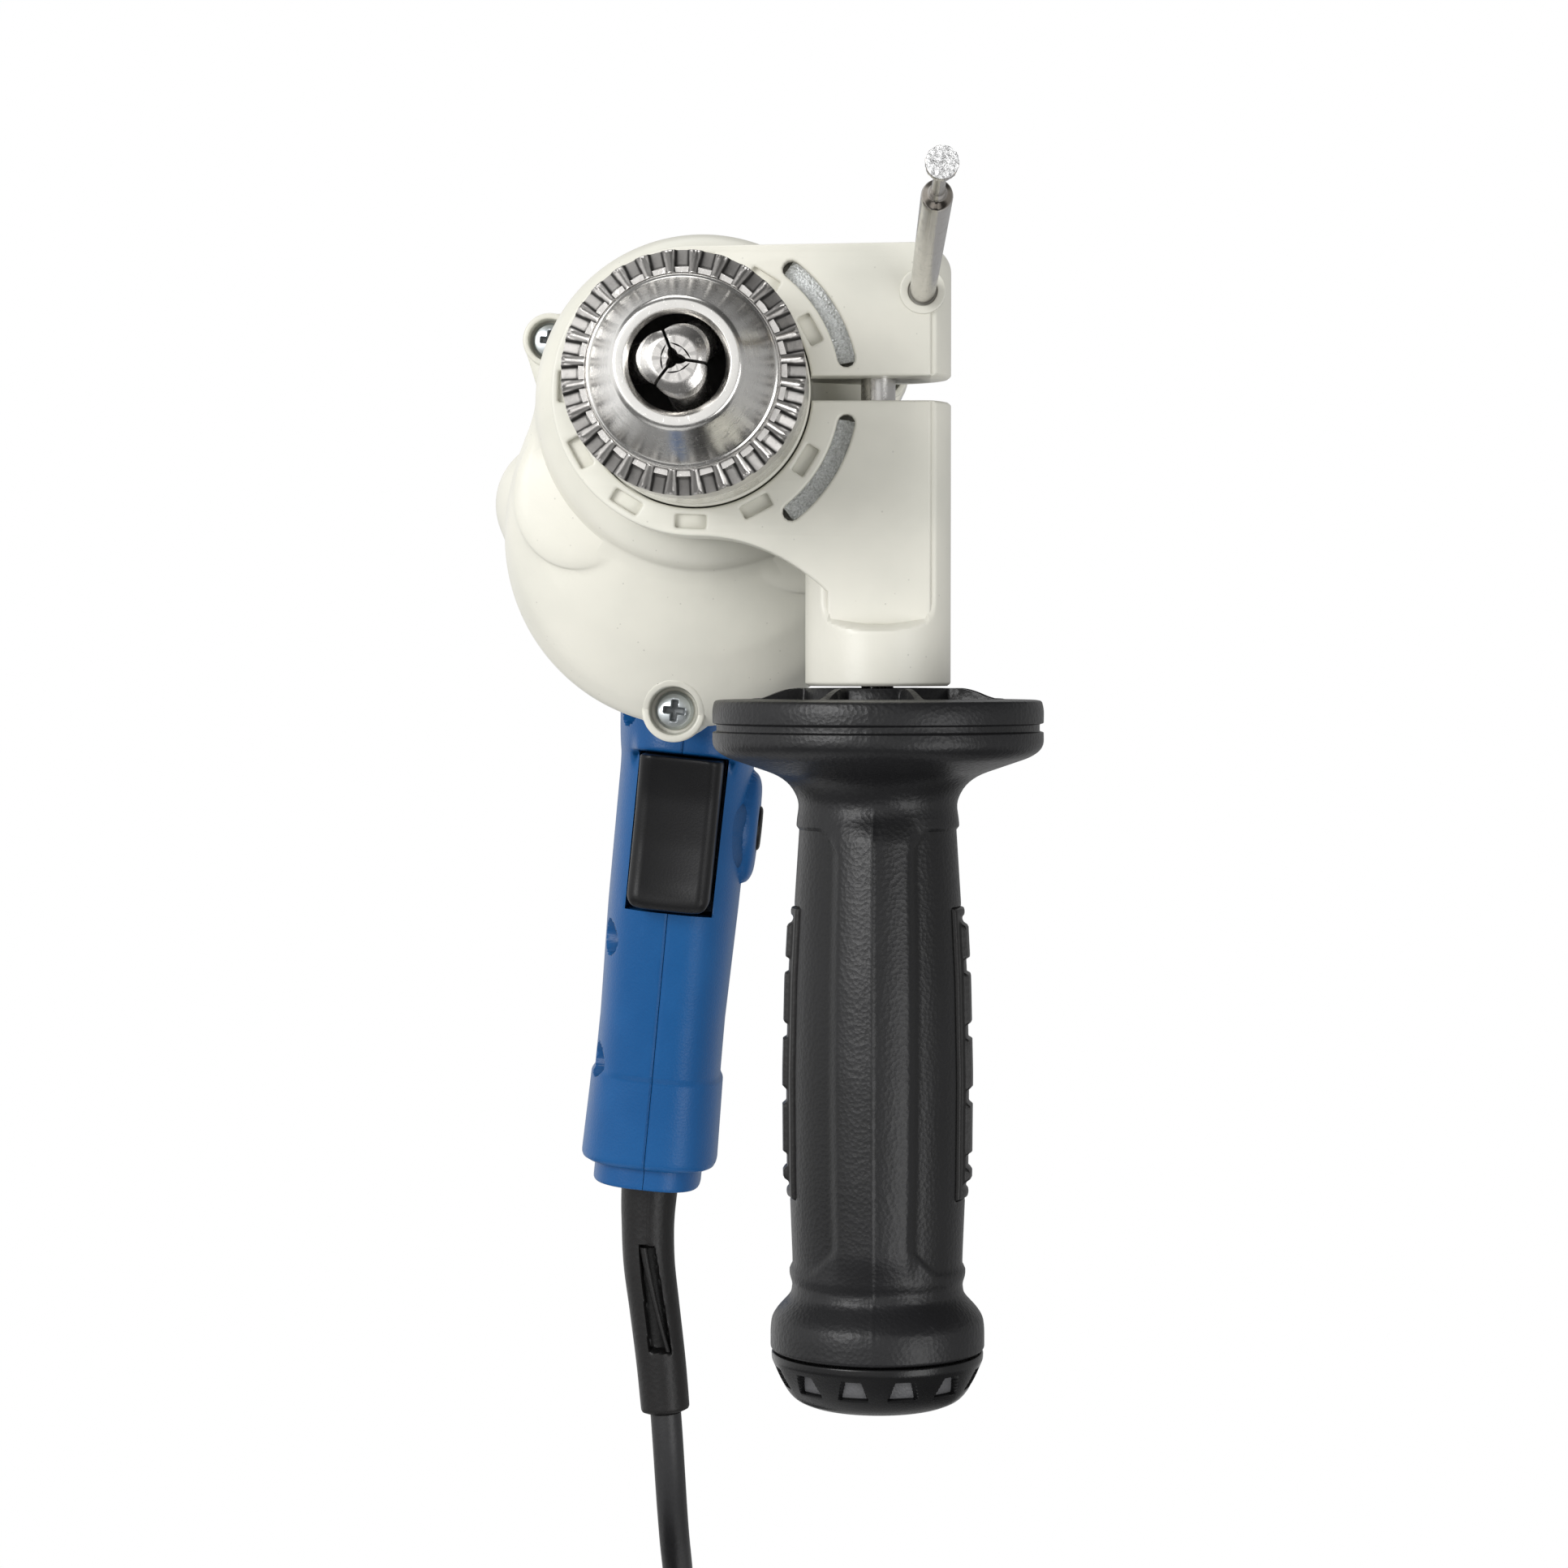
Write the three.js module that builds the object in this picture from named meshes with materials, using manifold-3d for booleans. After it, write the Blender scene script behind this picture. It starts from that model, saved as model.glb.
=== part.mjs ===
// A corded power drill with a keyed chuck, a clamp with a side handle and a depth rod.
// Millimetres, +Z up. The spindle runs along Y: the chuck points to -Y and the motor lies to +Y.
// Places are measured from the point where the spindle axis leaves the front of the gearbox neck.
// The outer group then moves the middle of the hand grip to the origin.

import * as THREE from 'three';
import { mergeVertices } from 'three/addons/utils/BufferGeometryUtils.js';
import Module from 'manifold-3d';

const wasm = await Module();
wasm.setup();

// Driving dimensions

const gap = 0.3;
const overrun = 2;
const cells = { tiny: 8, small: 10, medium: 12, round: 18, fine: 24 };
const chamfer = 0.8;

const chuck = {
  standOff: 4,
  rearRadius: 21.3,
  rearLength: 22.7,
  landRadius: 18.3,
  landLength: 11.8,
  grooveRadius: 13.6,
  grooveLength: 5.5,
  noseLand: 2,
  noseRadius: 16.7,
  coneLength: 17,
  tipRadius: 11.05,
  mouthRadius: 8.2,
  boreRadius: 6.8,
  spindleBore: 6.35,
  spindleDepth: 21,
  webThickness: 2,
  screwBore: 2.8,
};

const jaw = {
  radius: 3.6,
  length: 31,
  slope: 17,
  tipOverhang: 8,
  tipOffset: 0.6,
  faceGap: 0.15,
  boreClearance: 0.25,
  travel: 21.7,
  firstAngle: 178,
  count: 3,
};

const keyRing = {
  wall: 3.05,
  lipInset: 1.1,
  lipOverhang: 1,
  toothRise: 2.3,
  toothCount: 28,
  toothDepth: 2,
  slotTopWidth: 2.9,
  slotFloorWidth: 1.7,
};

const keyRingRadius = chuck.landRadius + keyRing.wall;
const toothFoot = chuck.landRadius - keyRing.lipInset;

const screwInChuck = { headRadius: 5, headLength: 3, shankRadius: 2.5, shankLength: 15 };

const spindle = {
  noseRadius: 6.05,
  flangeRadius: 8.8,
  flangeLength: 7.1,
  bearingRadius: 7.5,
  gearSeatRadius: 9,
  gearSeatFront: 40,
  ratchetSeatRadius: 6.5,
  rearRadius: 5,
  screwDepth: 15,
};

const gears = {
  module: 1.3,
  drop: 26,
  pinionTeeth: 7,
  wheelTeeth: 33,
  front: 44,
  faceWidth: 10,
  rootShare: 1.25,
  tipWidthShare: 0.4,
  rootWidthShare: 1.3,
};

const ratchet = {
  radius: 12,
  boreClearance: 0.3,
  thickness: 3.4,
  toothHeight: 1.1,
  teeth: 8,
};

const frontBearing = { radius: 15, length: 11, front: 4, boreClearance: 0.3 };

const gearbox = {
  neckRadius: 21.5,
  neckFront: -1,
  neckHole: 9.6,
  neckBore: 13,
  bossFront: 24.4,
  bossFootRadius: 27,
  bossRadius: 32.4,
  bossRear: 30,
  midFront: 35,
  midRear: 40,
  fullFront: 46,
  rear: 78,
  gearClearance: 3.05,
  bottomRadius: 37.5,
  wall: 3.2,
  midTopShare: 1.07,
  midBottomShare: 0.9,
  midDropShare: 0.54,
  lateTopShare: 1.02,
  lateBottomShare: 0.975,
  lateDropShare: 0.85,
};

const gearTipRadius = (gears.module * (gears.wheelTeeth + 2)) / 2;
const gearboxTopRadius = gearTipRadius + gearbox.gearClearance + gearbox.wall;

const lug = {
  x: 33.9,
  z: 11.5,
  radius: 5.5,
  front: 62,
  rootX: 20,
  rootZ: 3,
  rootRadius: 9,
  bottomZ: -60.4,
  bottomRadius: 6.2,
  bottomFront: 43,
  bottomRootZ: -48,
  bottomRootRadius: 9.5,
  pocketDepth: 4,
};

const lugScrew = { headRadius: 3.7, headLength: 2.6, shankRadius: 2, length: 30 };

const blister = {
  sideX: 28,
  sideY: 62,
  sideZ: -21.5,
  sideWidth: 13,
  sideDepth: 13,
  sideHeight: 14,
  ledgeFront: 37,
  ledgeRear: 50,
  ledgeStart: 192,
  ledgeEnd: 250,
  ledgeRadius: 39.6,
  ledgeEndRadius: 31,
};

const selector = {
  y: 60,
  padRadius: 11.5,
  padProud: 0.4,
  knobRadius: 10.4,
  knobHeight: 2,
  ridgeWidth: 5,
  ridgeHeight: 1.8,
  stemRadius: 3,
  stemBottom: 14.5,
};

const padTop = gearboxTopRadius + selector.padProud;

const plate = { front: 72, thickness: 4, bossFront: 66, bossRadius: 12.6, cupLength: 7, cupWall: 2.4 };

const bush = { radius: 9, clearance: 0.3, length: 9.4 };

const housing = {
  front: 78.3,
  barrelRadius: 36,
  wall: 2.6,
  collarRear: 88,
  barrelFront: 104,
  shoulderDrop: 2.5,
  rearClearance: 7.5,
  domeLength: 9,
  taperLength: 20,
  rearRadius: 25,
  ribThickness: 2.4,
  seam: 0.1,
  ventWidth: 2.4,
  ventLength: 13,
  ventInset: 15,
  ventSpacing: 6,
  ventOffset: 11,
  ventCount: 2,
  fanVentLength: 5,
  fanVentFront: 86.5,
};

const motor = {
  shaftRadius: 4,
  shaftTail: 11.5,
  airGap: 0.9,
  coreInset: 2,
  coreSlots: 10,
  slotWidth: 2.4,
  slotDepth: 3,
  commutatorRadius: 11,
  commutatorGap: 4,
  commutatorLength: 15,
  fieldClearance: 4.4,
  fieldThickness: 10.1,
  fieldFront: 95,
  fieldLength: 45,
  poleGap: 14,
  windowDepth: 4.5,
  fanInset: 1,
  fanHubRadius: 9,
  fanFront: 85,
  fanDiscThickness: 1.6,
  fanDepth: 8,
  fanBlades: 7,
  bladeThickness: 1.6,
};

const fieldRadius = housing.barrelRadius - housing.wall - motor.fieldClearance;
const fieldBore = fieldRadius - motor.fieldThickness;
const coreRadius = fieldBore - motor.airGap;
const fanRadius = fieldRadius - motor.fanInset;
const fieldRear = motor.fieldFront + motor.fieldLength;
const coreFront = motor.fieldFront + motor.coreInset;
const coreRear = fieldRear - motor.coreInset;
const commutatorFront = fieldRear + motor.commutatorGap;
const commutatorRear = commutatorFront + motor.commutatorLength;
const brushY = (commutatorFront + commutatorRear) / 2;
const shaftRear = commutatorRear + motor.shaftTail;
const housingRear = shaftRear + housing.rearClearance;
const ventRear = housingRear - housing.ventInset;

const motorBearing = { frontRadius: 11, frontLength: 7, rearRadius: 8, rearLength: 6 };

const brush = {
  length: 16,
  width: 6,
  height: 8,
  holderWall: 1.6,
  seatClearance: 1.2,
};

const grip = {
  rootTop: -42,
  canopyBottom: -70.6,
  canopyFront: 95.5,
  trigger: 104.2,
  rearTop: 150,
  triggerBottom: -105,
  frontBelowTrigger: 104.4,
  rearBelowTrigger: 153.5,
  waistZ: -130,
  waistFront: 110.5,
  waistRear: 156,
  flareZ: -147,
  flareFront: 114,
  flareRear: 158.5,
  footFront: 117,
  footRear: 161,
  footBottom: -163.5,
  plinthFront: 120.5,
  plinthRear: 157.5,
  plinthBottom: -168.4,
  rootWidth: 32,
  width: 29,
  waistWidth: 28,
  footWidth: 30.4,
  plinthWidth: 24,
};

const trigger = {
  width: 17.6,
  top: -71.2,
  bottom: -104.4,
  frontTop: 91.5,
  frontMiddle: 95.4,
  frontBottom: 96.2,
  depth: 16.6,
  cornerRadius: 3,
  travel: 6.5,
  stopClearance: 0.9,
  plungerRadius: 2,
  plungerLength: 9,
};

const triggerRear = trigger.frontMiddle + trigger.depth;

const power = {
  switchFront: triggerRear + trigger.travel + trigger.stopClearance,
  switchRear: 141,
  switchTop: -73,
  switchBottom: -106,
  switchWidth: 15.6,
  plungerZ: -84,
  lockY: 126,
  lockZ: -86,
  lockRadius: 5,
  lockInner: 11.4,
  lockOuter: 17.8,
  lockBossRadius: 8.2,
  lockBossOuter: 16.9,
  capacitorRadius: 6,
  capacitorLength: 16,
  capacitorY: 128,
  capacitorTop: -111,
  capacitorShelf: 2.3,
  clampWidth: 20,
  clampDepth: 9,
  clampHeight: 5,
  ribReach: 12.6,
  ribDepth: 15,
  ribThickness: 2,
  ribTop: -79,
  ribBottom: -99,
};

const caseScrew = {
  bossRadius: 4.2,
  holeRadius: 1.7,
  pocketRadius: 3.6,
  pocketFloor: -7,
  headRadius: 3.2,
  headLength: 2.2,
  shankRadius: 1.4,
  tip: 8,
  blindEnd: 9.5,
  canopyInset: 0.2,
};

const caseScrewPlaces = {
  top: { y: 92, z: 15 },
  canopy: { y: 103, z: -gears.drop - housing.barrelRadius + caseScrew.canopyInset },
  middle: { y: 114.5, z: -112.5 },
  foot: { y: 122, z: -140.5 },
};

const clamp = {
  lean: -6,
  front: 0.5,
  rear: 19.1,
  ringRadius: 26.9,
  boreRadius: 21.8,
  top: 27.5,
  cornerRadius: 5,
  slotTop: 2.75,
  slotBottom: -1.8,
  slotStart: 18,
  columnX: 34.1,
  columnY: 9.8,
  columnRadius: 13.7,
  flatBottom: -42,
  bottom: -54.9,
  archX: 24.6,
  archDrop: 10.4,
  archPowerShare: 2.2,
  boltHole: 3.7,
  hexRadius: 6.2,
  hexDepth: 4.2,
  rodX: 42.3,
  rodZ: 18.4,
  rodHole: 2.75,
  collarRadius: 4.3,
  collarProud: 0.4,
  windowRadius: 28.8,
  windowWidth: 2.4,
  windowStart: 9,
  windowEnd: 53,
  windowDepth: 6,
  notchRadius: 24,
  notchLength: 5.6,
  notchWidth: 1.9,
  notchDepth: 2,
  notchFirst: 28,
  notchSpacing: 30,
  notchCount: 11,
};

const insert = { thickness: 2 };

const bolt = { radius: 3.3, headRadius: 5.7, headLength: 3.6, bottom: -78 };

const handleNut = { radius: 6.4, length: 5.6, top: -70 };

const depthRod = {
  radius: 2.4,
  rear: 30,
  shoulder: -158,
  neckRadius: 1.05,
  neckLength: 9,
  tip: -171,
  tipRadius: 2.35,
  tipThickness: 3,
};

const handle = {
  top: -55.3,
  hubRadius: 23.5,
  hubHeight: 2.2,
  flangeRadius: 31.3,
  grooveRadius: 30.1,
  grooveTop: -62,
  grooveBottom: -63.6,
  flangeBottom: -67.2,
  coneBottom: -73,
  neckRadius: 14.6,
  shoulderZ: -81,
  shoulderRadius: 15,
  bellyTop: -96,
  bellyTopRadius: 17,
  bellyRadius: 17.5,
  bellyZ: -128,
  bellyBottom: -152,
  bellyBottomRadius: 17.1,
  waistZ: -167.5,
  waistRadius: 16.1,
  collarTop: -173.5,
  collarRadius: 20.3,
  bottom: -180.6,
  boreRadius: 3.7,
  nutPocket: -76.4,
  channelWidth: 2.6,
  channelDepth: 1.6,
  channelX: 7.2,
  channelTop: -84,
  channelBottom: -162,
};

const pad = {
  top: -99,
  bottom: -151,
  halfAngle: 38,
  thickness: 1.8,
  proud: 0.6,
};

const endCap = {
  top: -181,
  shoulderZ: -182.5,
  radius: 20.1,
  bottomRadius: 15,
  bottom: -191,
  windows: 12,
  windowTopWidth: 4.2,
  windowBottomWidth: 5.6,
  windowTopZ: -184.4,
  windowBottomZ: -188,
  windowDepth: 2.2,
};

const sleeve = {
  y: 139,
  path: [
    [0.3, -158.4],
    [0.6, -166],
    [1, -176.2],
    [2.3, -186.7],
    [4.6, -197],
    [7.4, -209.4],
    [9.6, -220.5],
  ],
  topRadius: 6.9,
  waistRadius: 5.9,
  endRadius: 5.55,
  waistAt: 0.32,
  steps: 10,
  sides: 12,
  collarRadius: 9,
  collarTop: -157.6,
  collarThickness: 3,
  slotTop: -182.6,
  slotBottom: -210,
  slotWidth: 3.2,
  slotDepth: 3.6,
};

const cord = {
  diameter: 7,
  length: 2000,
  sides: 10,
  leadSteps: 12,
  lead: [
    [9.66, 139, -220.82],
    [10.9, 139.3, -228],
    [12.2, 141.1, -236.5],
    [13.4, 144.7, -245],
    [14.5, 150.0, -253],
    [15.5, 157.2, -260.5],
    [16.2, 164.8, -267.4],
    [16.8, 172.1, -275],
    [17.3, 177.6, -283],
    [17.6, 181.1, -291.5],
    [17.7, 182.8, -300],
    [17.7, 183.1, -308.0],
  ],
};

const coil = {
  x: 17.7,
  y: 139,
  z: -316,
  outerRadius: 44.1,
  pitch: 7.45,
  layers: 4,
  turnsPerLayer: 2,
  steps: 24,
  sides: 6,
  climbShare: 0.25,
  run: 7.7,
  tail: 42,
};

const tie = { width: 14, thickness: 1.4 };

const plug = {
  neckRadius: 5.6,
  neckLength: 12,
  bodyLength: 26,
  width: 34,
  thickness: 15,
  pinRadius: 2.4,
  pinLength: 19,
  pinSpacing: 19,
  pinSleeve: 10,
};

const gripCentre = { x: 0, y: 131, z: -125 };

// Materials

function paint(name, colour, roughness, metalness) {
  return new THREE.MeshStandardMaterial({ name, color: colour, roughness, metalness });
}

const cream = paint('cream_paint', 0xe1e0d7, 0.45, 0);
const blue = paint('blue_plastic', 0x2460ad, 0.5, 0);
const black = paint('black_plastic', 0x1b1b1d, 0.55, 0);
const rubber = paint('black_rubber', 0x141414, 0.75, 0);
const steel = paint('bright_steel', 0xb9b7b2, 0.25, 1);
const toolSteel = paint('tool_steel', 0x8b8985, 0.35, 1);
const chrome = paint('chrome', 0xcfcac2, 0.12, 1);
const zinc = paint('zinc', 0xb5bdc4, 0.35, 1);
const castMetal = paint('cast_aluminium', 0xa7a9ab, 0.55, 0.9);
const copper = paint('copper', 0xb4693c, 0.4, 1);
const laminate = paint('laminated_steel', 0x55575a, 0.6, 0.8);
const brass = paint('brass', 0xb89b52, 0.35, 1);
const bronze = paint('bronze', 0x9c7442, 0.45, 1);
const carbon = paint('carbon', 0x2a2a2c, 0.8, 0);
const resin = paint('tan_resin', 0x9a7a4c, 0.6, 0);

// Solids

function radians(degrees) {
  return THREE.MathUtils.degToRad(degrees);
}

// A closed solid for cutting and joining, with its faces turned outward.
function solid(geometry) {
  if (!(geometry instanceof THREE.BufferGeometry)) return geometry;
  const bare = geometry.clone();
  bare.deleteAttribute('normal');
  bare.deleteAttribute('uv');
  const merged = mergeVertices(bare, 1e-4);
  const points = merged.attributes.position.array;
  const corners = merged.index.array;
  const kept = [];
  for (let i = 0; i < corners.length; i += 3) {
    const [a, b, c] = [corners[i], corners[i + 1], corners[i + 2]];
    if (a !== b && b !== c && c !== a) kept.push(a, b, c);
  }
  let volume = 0;
  const corner = (i) => new THREE.Vector3().fromArray(points, 3 * i);
  for (let i = 0; i < kept.length; i += 3) {
    const across = corner(kept[i + 1]).cross(corner(kept[i + 2]));
    volume += corner(kept[i]).dot(across);
  }
  if (volume < 0) {
    for (let i = 0; i < kept.length; i += 3) {
      [kept[i], kept[i + 1]] = [kept[i + 1], kept[i]];
    }
  }
  const mesh = new wasm.Mesh({
    numProp: 3,
    vertProperties: new Float32Array(points),
    triVerts: new Uint32Array(kept),
  });
  return new wasm.Manifold(mesh);
}

function join(first, ...others) {
  return others.reduce((whole, other) => whole.add(solid(other)), solid(first));
}

function cut(first, ...others) {
  return others.reduce((whole, other) => whole.subtract(solid(other)), solid(first));
}

function meet(first, second) {
  return solid(first).intersect(solid(second));
}

function geometryOf(shape) {
  const mesh = solid(shape).getMesh();
  const geometry = new THREE.BufferGeometry();
  const count = mesh.vertProperties.length / mesh.numProp;
  const positions = new Float32Array(3 * count);
  for (let i = 0; i < count; i += 1) {
    for (let k = 0; k < 3; k += 1) {
      positions[3 * i + k] = mesh.vertProperties[mesh.numProp * i + k];
    }
  }
  geometry.setAttribute('position', new THREE.BufferAttribute(positions, 3));
  geometry.setIndex(new THREE.BufferAttribute(new Uint32Array(mesh.triVerts), 1));
  geometry.computeVertexNormals();
  return geometry;
}

// An outline of [x, z] points, extruded along Y.
function frontPrism(points, yFront, yRear) {
  const shape = new THREE.Shape(points.map(([x, z]) => new THREE.Vector2(x, z)));
  const settings = { depth: yRear - yFront, bevelEnabled: false };
  const geometry = new THREE.ExtrudeGeometry(shape, settings);
  return geometry.rotateX(Math.PI / 2).translate(0, yRear, 0);
}

// An outline of [y, z] points, extruded along X.
function sidePrism(points, xLow, xHigh) {
  const shape = new THREE.Shape(points.map(([y, z]) => new THREE.Vector2(y, z)));
  const settings = { depth: xHigh - xLow, bevelEnabled: false };
  const geometry = new THREE.ExtrudeGeometry(shape, settings);
  const turn = new THREE.Matrix4().makeBasis(
    new THREE.Vector3(0, 1, 0),
    new THREE.Vector3(0, 0, 1),
    new THREE.Vector3(1, 0, 0),
  );
  return geometry.applyMatrix4(turn).translate(xLow, 0, 0);
}

// An outline of [x, y] points, extruded along Z.
function topPrism(points, zLow, zHigh) {
  const shape = new THREE.Shape(points.map(([x, y]) => new THREE.Vector2(x, y)));
  const settings = { depth: zHigh - zLow, bevelEnabled: false };
  return new THREE.ExtrudeGeometry(shape, settings).translate(0, 0, zLow);
}

function box(low, high) {
  const size = high.map((value, i) => value - low[i]);
  const middle = high.map((value, i) => (value + low[i]) / 2);
  return new THREE.BoxGeometry(...size).translate(...middle);
}

// A profile of [place, radius] points turned about the X, Y or Z axis.
function turned(axis, profile, segments) {
  const points = profile.map(([place, radius]) => new THREE.Vector2(radius, place));
  const geometry = new THREE.LatheGeometry(points, segments);
  if (axis === 'x') geometry.rotateZ(-Math.PI / 2);
  if (axis === 'z') geometry.rotateX(Math.PI / 2);
  return geometry;
}

function rod(axis, radius, from, to, segments = cells.medium) {
  return turned(axis, [[from, 0], [from, radius], [to, radius], [to, 0]], segments);
}

function ring(axis, outer, inner, from, to, segments = cells.round) {
  const profile = [[from, inner], [from, outer], [to, outer], [to, inner], [from, inner]];
  return turned(axis, profile, segments);
}

// Rings of equally many points, joined to their neighbours and closed at both ends.
function loft(rings) {
  const count = rings[0].length;
  const positions = rings.flat(2);
  const index = [];
  for (let k = 0; k + 1 < rings.length; k += 1) {
    for (let i = 0; i < count; i += 1) {
      const next = (i + 1) % count;
      const [a, b] = [k * count + i, k * count + next];
      const [c, d] = [a + count, b + count];
      index.push(a, b, c, b, d, c);
    }
  }
  for (const [k, flip] of [[0, true], [rings.length - 1, false]]) {
    const centre = positions.length / 3;
    for (let axis = 0; axis < 3; axis += 1) {
      const sum = rings[k].reduce((total, point) => total + point[axis], 0);
      positions.push(sum / count);
    }
    for (let i = 0; i < count; i += 1) {
      const [a, b] = [k * count + i, k * count + ((i + 1) % count)];
      if (flip) index.push(b, a, centre);
      else index.push(a, b, centre);
    }
  }
  const geometry = new THREE.BufferGeometry();
  geometry.setAttribute('position', new THREE.Float32BufferAttribute(positions, 3));
  geometry.setIndex(index);
  return geometry;
}

// Outlines

function arc(x, z, radius, from, to, steps) {
  const points = [];
  for (let i = 0; i <= steps; i += 1) {
    const angle = radians(from + ((to - from) * i) / steps);
    points.push([x + radius * Math.cos(angle), z + radius * Math.sin(angle)]);
  }
  return points;
}

// The outline round two circles, as a belt runs round two pulleys.
function belt(a, b, steps) {
  const across = Math.atan2(b.z - a.z, b.x - a.x);
  const distance = Math.hypot(b.x - a.x, b.z - a.z);
  const spread = Math.acos((a.r - b.r) / distance);
  const deg = THREE.MathUtils.radToDeg;
  const back = arc(a.x, a.z, a.r, deg(across + spread), deg(across + 2 * Math.PI - spread), steps);
  const front = arc(b.x, b.z, b.r, deg(across - spread), deg(across + spread), steps);
  return [...back, ...front];
}

function rectangle(x0, x1, z0, z1) {
  return [[x0, z0], [x1, z0], [x1, z1], [x0, z1]];
}

// How far the outline round an upper and a lower circle reaches from a point on its middle line.
function reach(angle, originZ, upper, lower) {
  const direction = new THREE.Vector2(Math.sin(angle), Math.cos(angle));
  let furthest = 0;
  for (let s = 0; s <= 1.0001; s += 1 / cells.small) {
    const height = upper.z + (lower.z - upper.z) * s - originZ;
    const radius = upper.r + (lower.r - upper.r) * s;
    const along = direction.y * height;
    const root = along * along - height * height + radius * radius;
    if (root > 0) furthest = Math.max(furthest, along + Math.sqrt(root));
  }
  return furthest;
}

function eggRing(y, originZ, upper, lower, count = cells.round) {
  const points = [];
  for (let i = 0; i < count; i += 1) {
    const angle = (2 * Math.PI * i) / count;
    const r = reach(angle, originZ, upper, lower);
    points.push([r * Math.sin(angle), y, originZ + r * Math.cos(angle)]);
  }
  return points;
}

function circleAt(z, r) {
  return { z, r };
}

const group = new THREE.Group();
const drill = new THREE.Group();
drill.position.set(-gripCentre.x, -gripCentre.y, -gripCentre.z);
group.add(drill);

function add(parent, name, shape, material) {
  const mesh = new THREE.Mesh(geometryOf(shape), material);
  mesh.name = name;
  parent.add(mesh);
  return mesh;
}

// Places along the spindle, from the collar to the tip of the nose

const chuckRear = -chuck.standOff;
const rearFront = chuckRear - chuck.rearLength;
const landFront = rearFront - chuck.landLength;
const grooveFront = landFront - chuck.grooveLength;
const noseLandFront = grooveFront - chuck.noseLand;
const noseFront = noseLandFront - chuck.coneLength;
const webRear = chuckRear - chuck.spindleDepth;
const webFront = webRear - chuck.webThickness;
const jawTip = noseFront - jaw.tipOverhang;

// Chuck

// The centre line of a jaw starts near the spindle axis at its tip and leans outward to the rear.
function jawRod(radius, yFront, yRear) {
  const slant = Math.cos(radians(jaw.slope));
  const cylinder = rod('y', radius, 0, (yRear - yFront) / slant, cells.medium);
  cylinder.rotateZ(-radians(jaw.slope));
  const offset = jaw.tipOffset + (yFront - jawTip) * Math.tan(radians(jaw.slope));
  return cylinder.translate(offset, yFront, 0);
}

function atJawAngle(geometry, index) {
  const angle = radians(jaw.firstAngle - (index * 360) / jaw.count);
  return geometry.clone().rotateY(-angle);
}

function chuckBody() {
  let body = turned('y', [
    [chuckRear, 0],
    [chuckRear, chuck.rearRadius - chamfer],
    [chuckRear - chamfer, chuck.rearRadius],
    [rearFront, chuck.rearRadius],
    [rearFront, chuck.landRadius],
    [landFront, chuck.landRadius],
    [landFront, chuck.grooveRadius],
    [grooveFront, chuck.grooveRadius],
    [grooveFront, chuck.noseRadius],
    [noseLandFront, chuck.noseRadius],
    [noseFront, chuck.tipRadius],
    [noseFront, 0],
  ], cells.fine);
  const mouthDepth = chuck.mouthRadius - chuck.boreRadius;
  const mouth = turned('y', [
    [noseFront - overrun, 0],
    [noseFront - overrun, chuck.mouthRadius + overrun],
    [noseFront + mouthDepth, chuck.boreRadius],
    [noseFront + mouthDepth, 0],
  ], cells.round);
  const bore = rod('y', chuck.boreRadius, noseFront - overrun, webFront);
  const screwHole = rod('y', chuck.screwBore, webFront - overrun, webRear + overrun);
  const spindleHole = rod('y', chuck.spindleBore, webRear, chuckRear + overrun);
  body = cut(body, mouth, bore, screwHole, spindleHole);
  const boreRear = jawTip + jaw.length + jaw.travel;
  for (let i = 0; i < jaw.count; i += 1) {
    const channel = jawRod(jaw.radius + jaw.boreClearance, noseFront - overrun, boreRear);
    body = cut(body, atJawAngle(channel, i));
  }
  return body;
}

function jawSolid(index) {
  const reachOut = chuck.rearRadius;
  const rearEnd = jawTip + jaw.length;
  const body = jawRod(jaw.radius, jawTip - overrun, rearEnd);
  const edge = reachOut * Math.tan(radians(180 / jaw.count));
  const wedge = frontPrism([
    [2 * jaw.faceGap, 0],
    [2 * jaw.faceGap + reachOut, -edge],
    [2 * jaw.faceGap + reachOut, edge],
  ], jawTip, rearEnd + overrun);
  return meet(atJawAngle(body, index), atJawAngle(wedge, index));
}

function keyRingSolid() {
  const lipFront = noseLandFront + chuck.noseLand - keyRing.lipOverhang;
  const lipRear = grooveFront;
  const innerLip = chuck.noseRadius + gap;
  const chamber = chuck.landRadius + gap;
  const rear = rearFront - gap;
  let body = turned('y', [
    [lipRear, innerLip],
    [lipFront, innerLip],
    [lipFront, toothFoot],
    [lipFront + keyRing.toothRise, keyRingRadius],
    [rear, keyRingRadius],
    [rear, chamber],
    [lipRear, chamber],
    [lipRear, innerLip],
  ], keyRing.toothCount);
  const rise = Math.atan2(keyRing.toothRise, keyRingRadius - toothFoot);
  for (let i = 0; i < keyRing.toothCount; i += 1) {
    const [top, floor] = [keyRing.slotTopWidth / 2, keyRing.slotFloorWidth / 2];
    const start = keyRingRadius - toothFoot;
    const slot = sidePrism([
      [-overrun, -top],
      [keyRing.toothDepth, -floor],
      [keyRing.toothDepth, floor],
      [-overrun, top],
    ], 0, start + 2 * overrun);
    slot.rotateZ(rise).translate(toothFoot, lipFront, 0);
    slot.rotateY((2 * Math.PI * (i + 1 / 2)) / keyRing.toothCount);
    body = cut(body, slot);
  }
  return body;
}

function nutSolid() {
  const inner = chuck.grooveRadius + chamfer;
  return ring('y', chuck.landRadius, inner, grooveFront + gap, landFront - gap, cells.fine);
}

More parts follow.
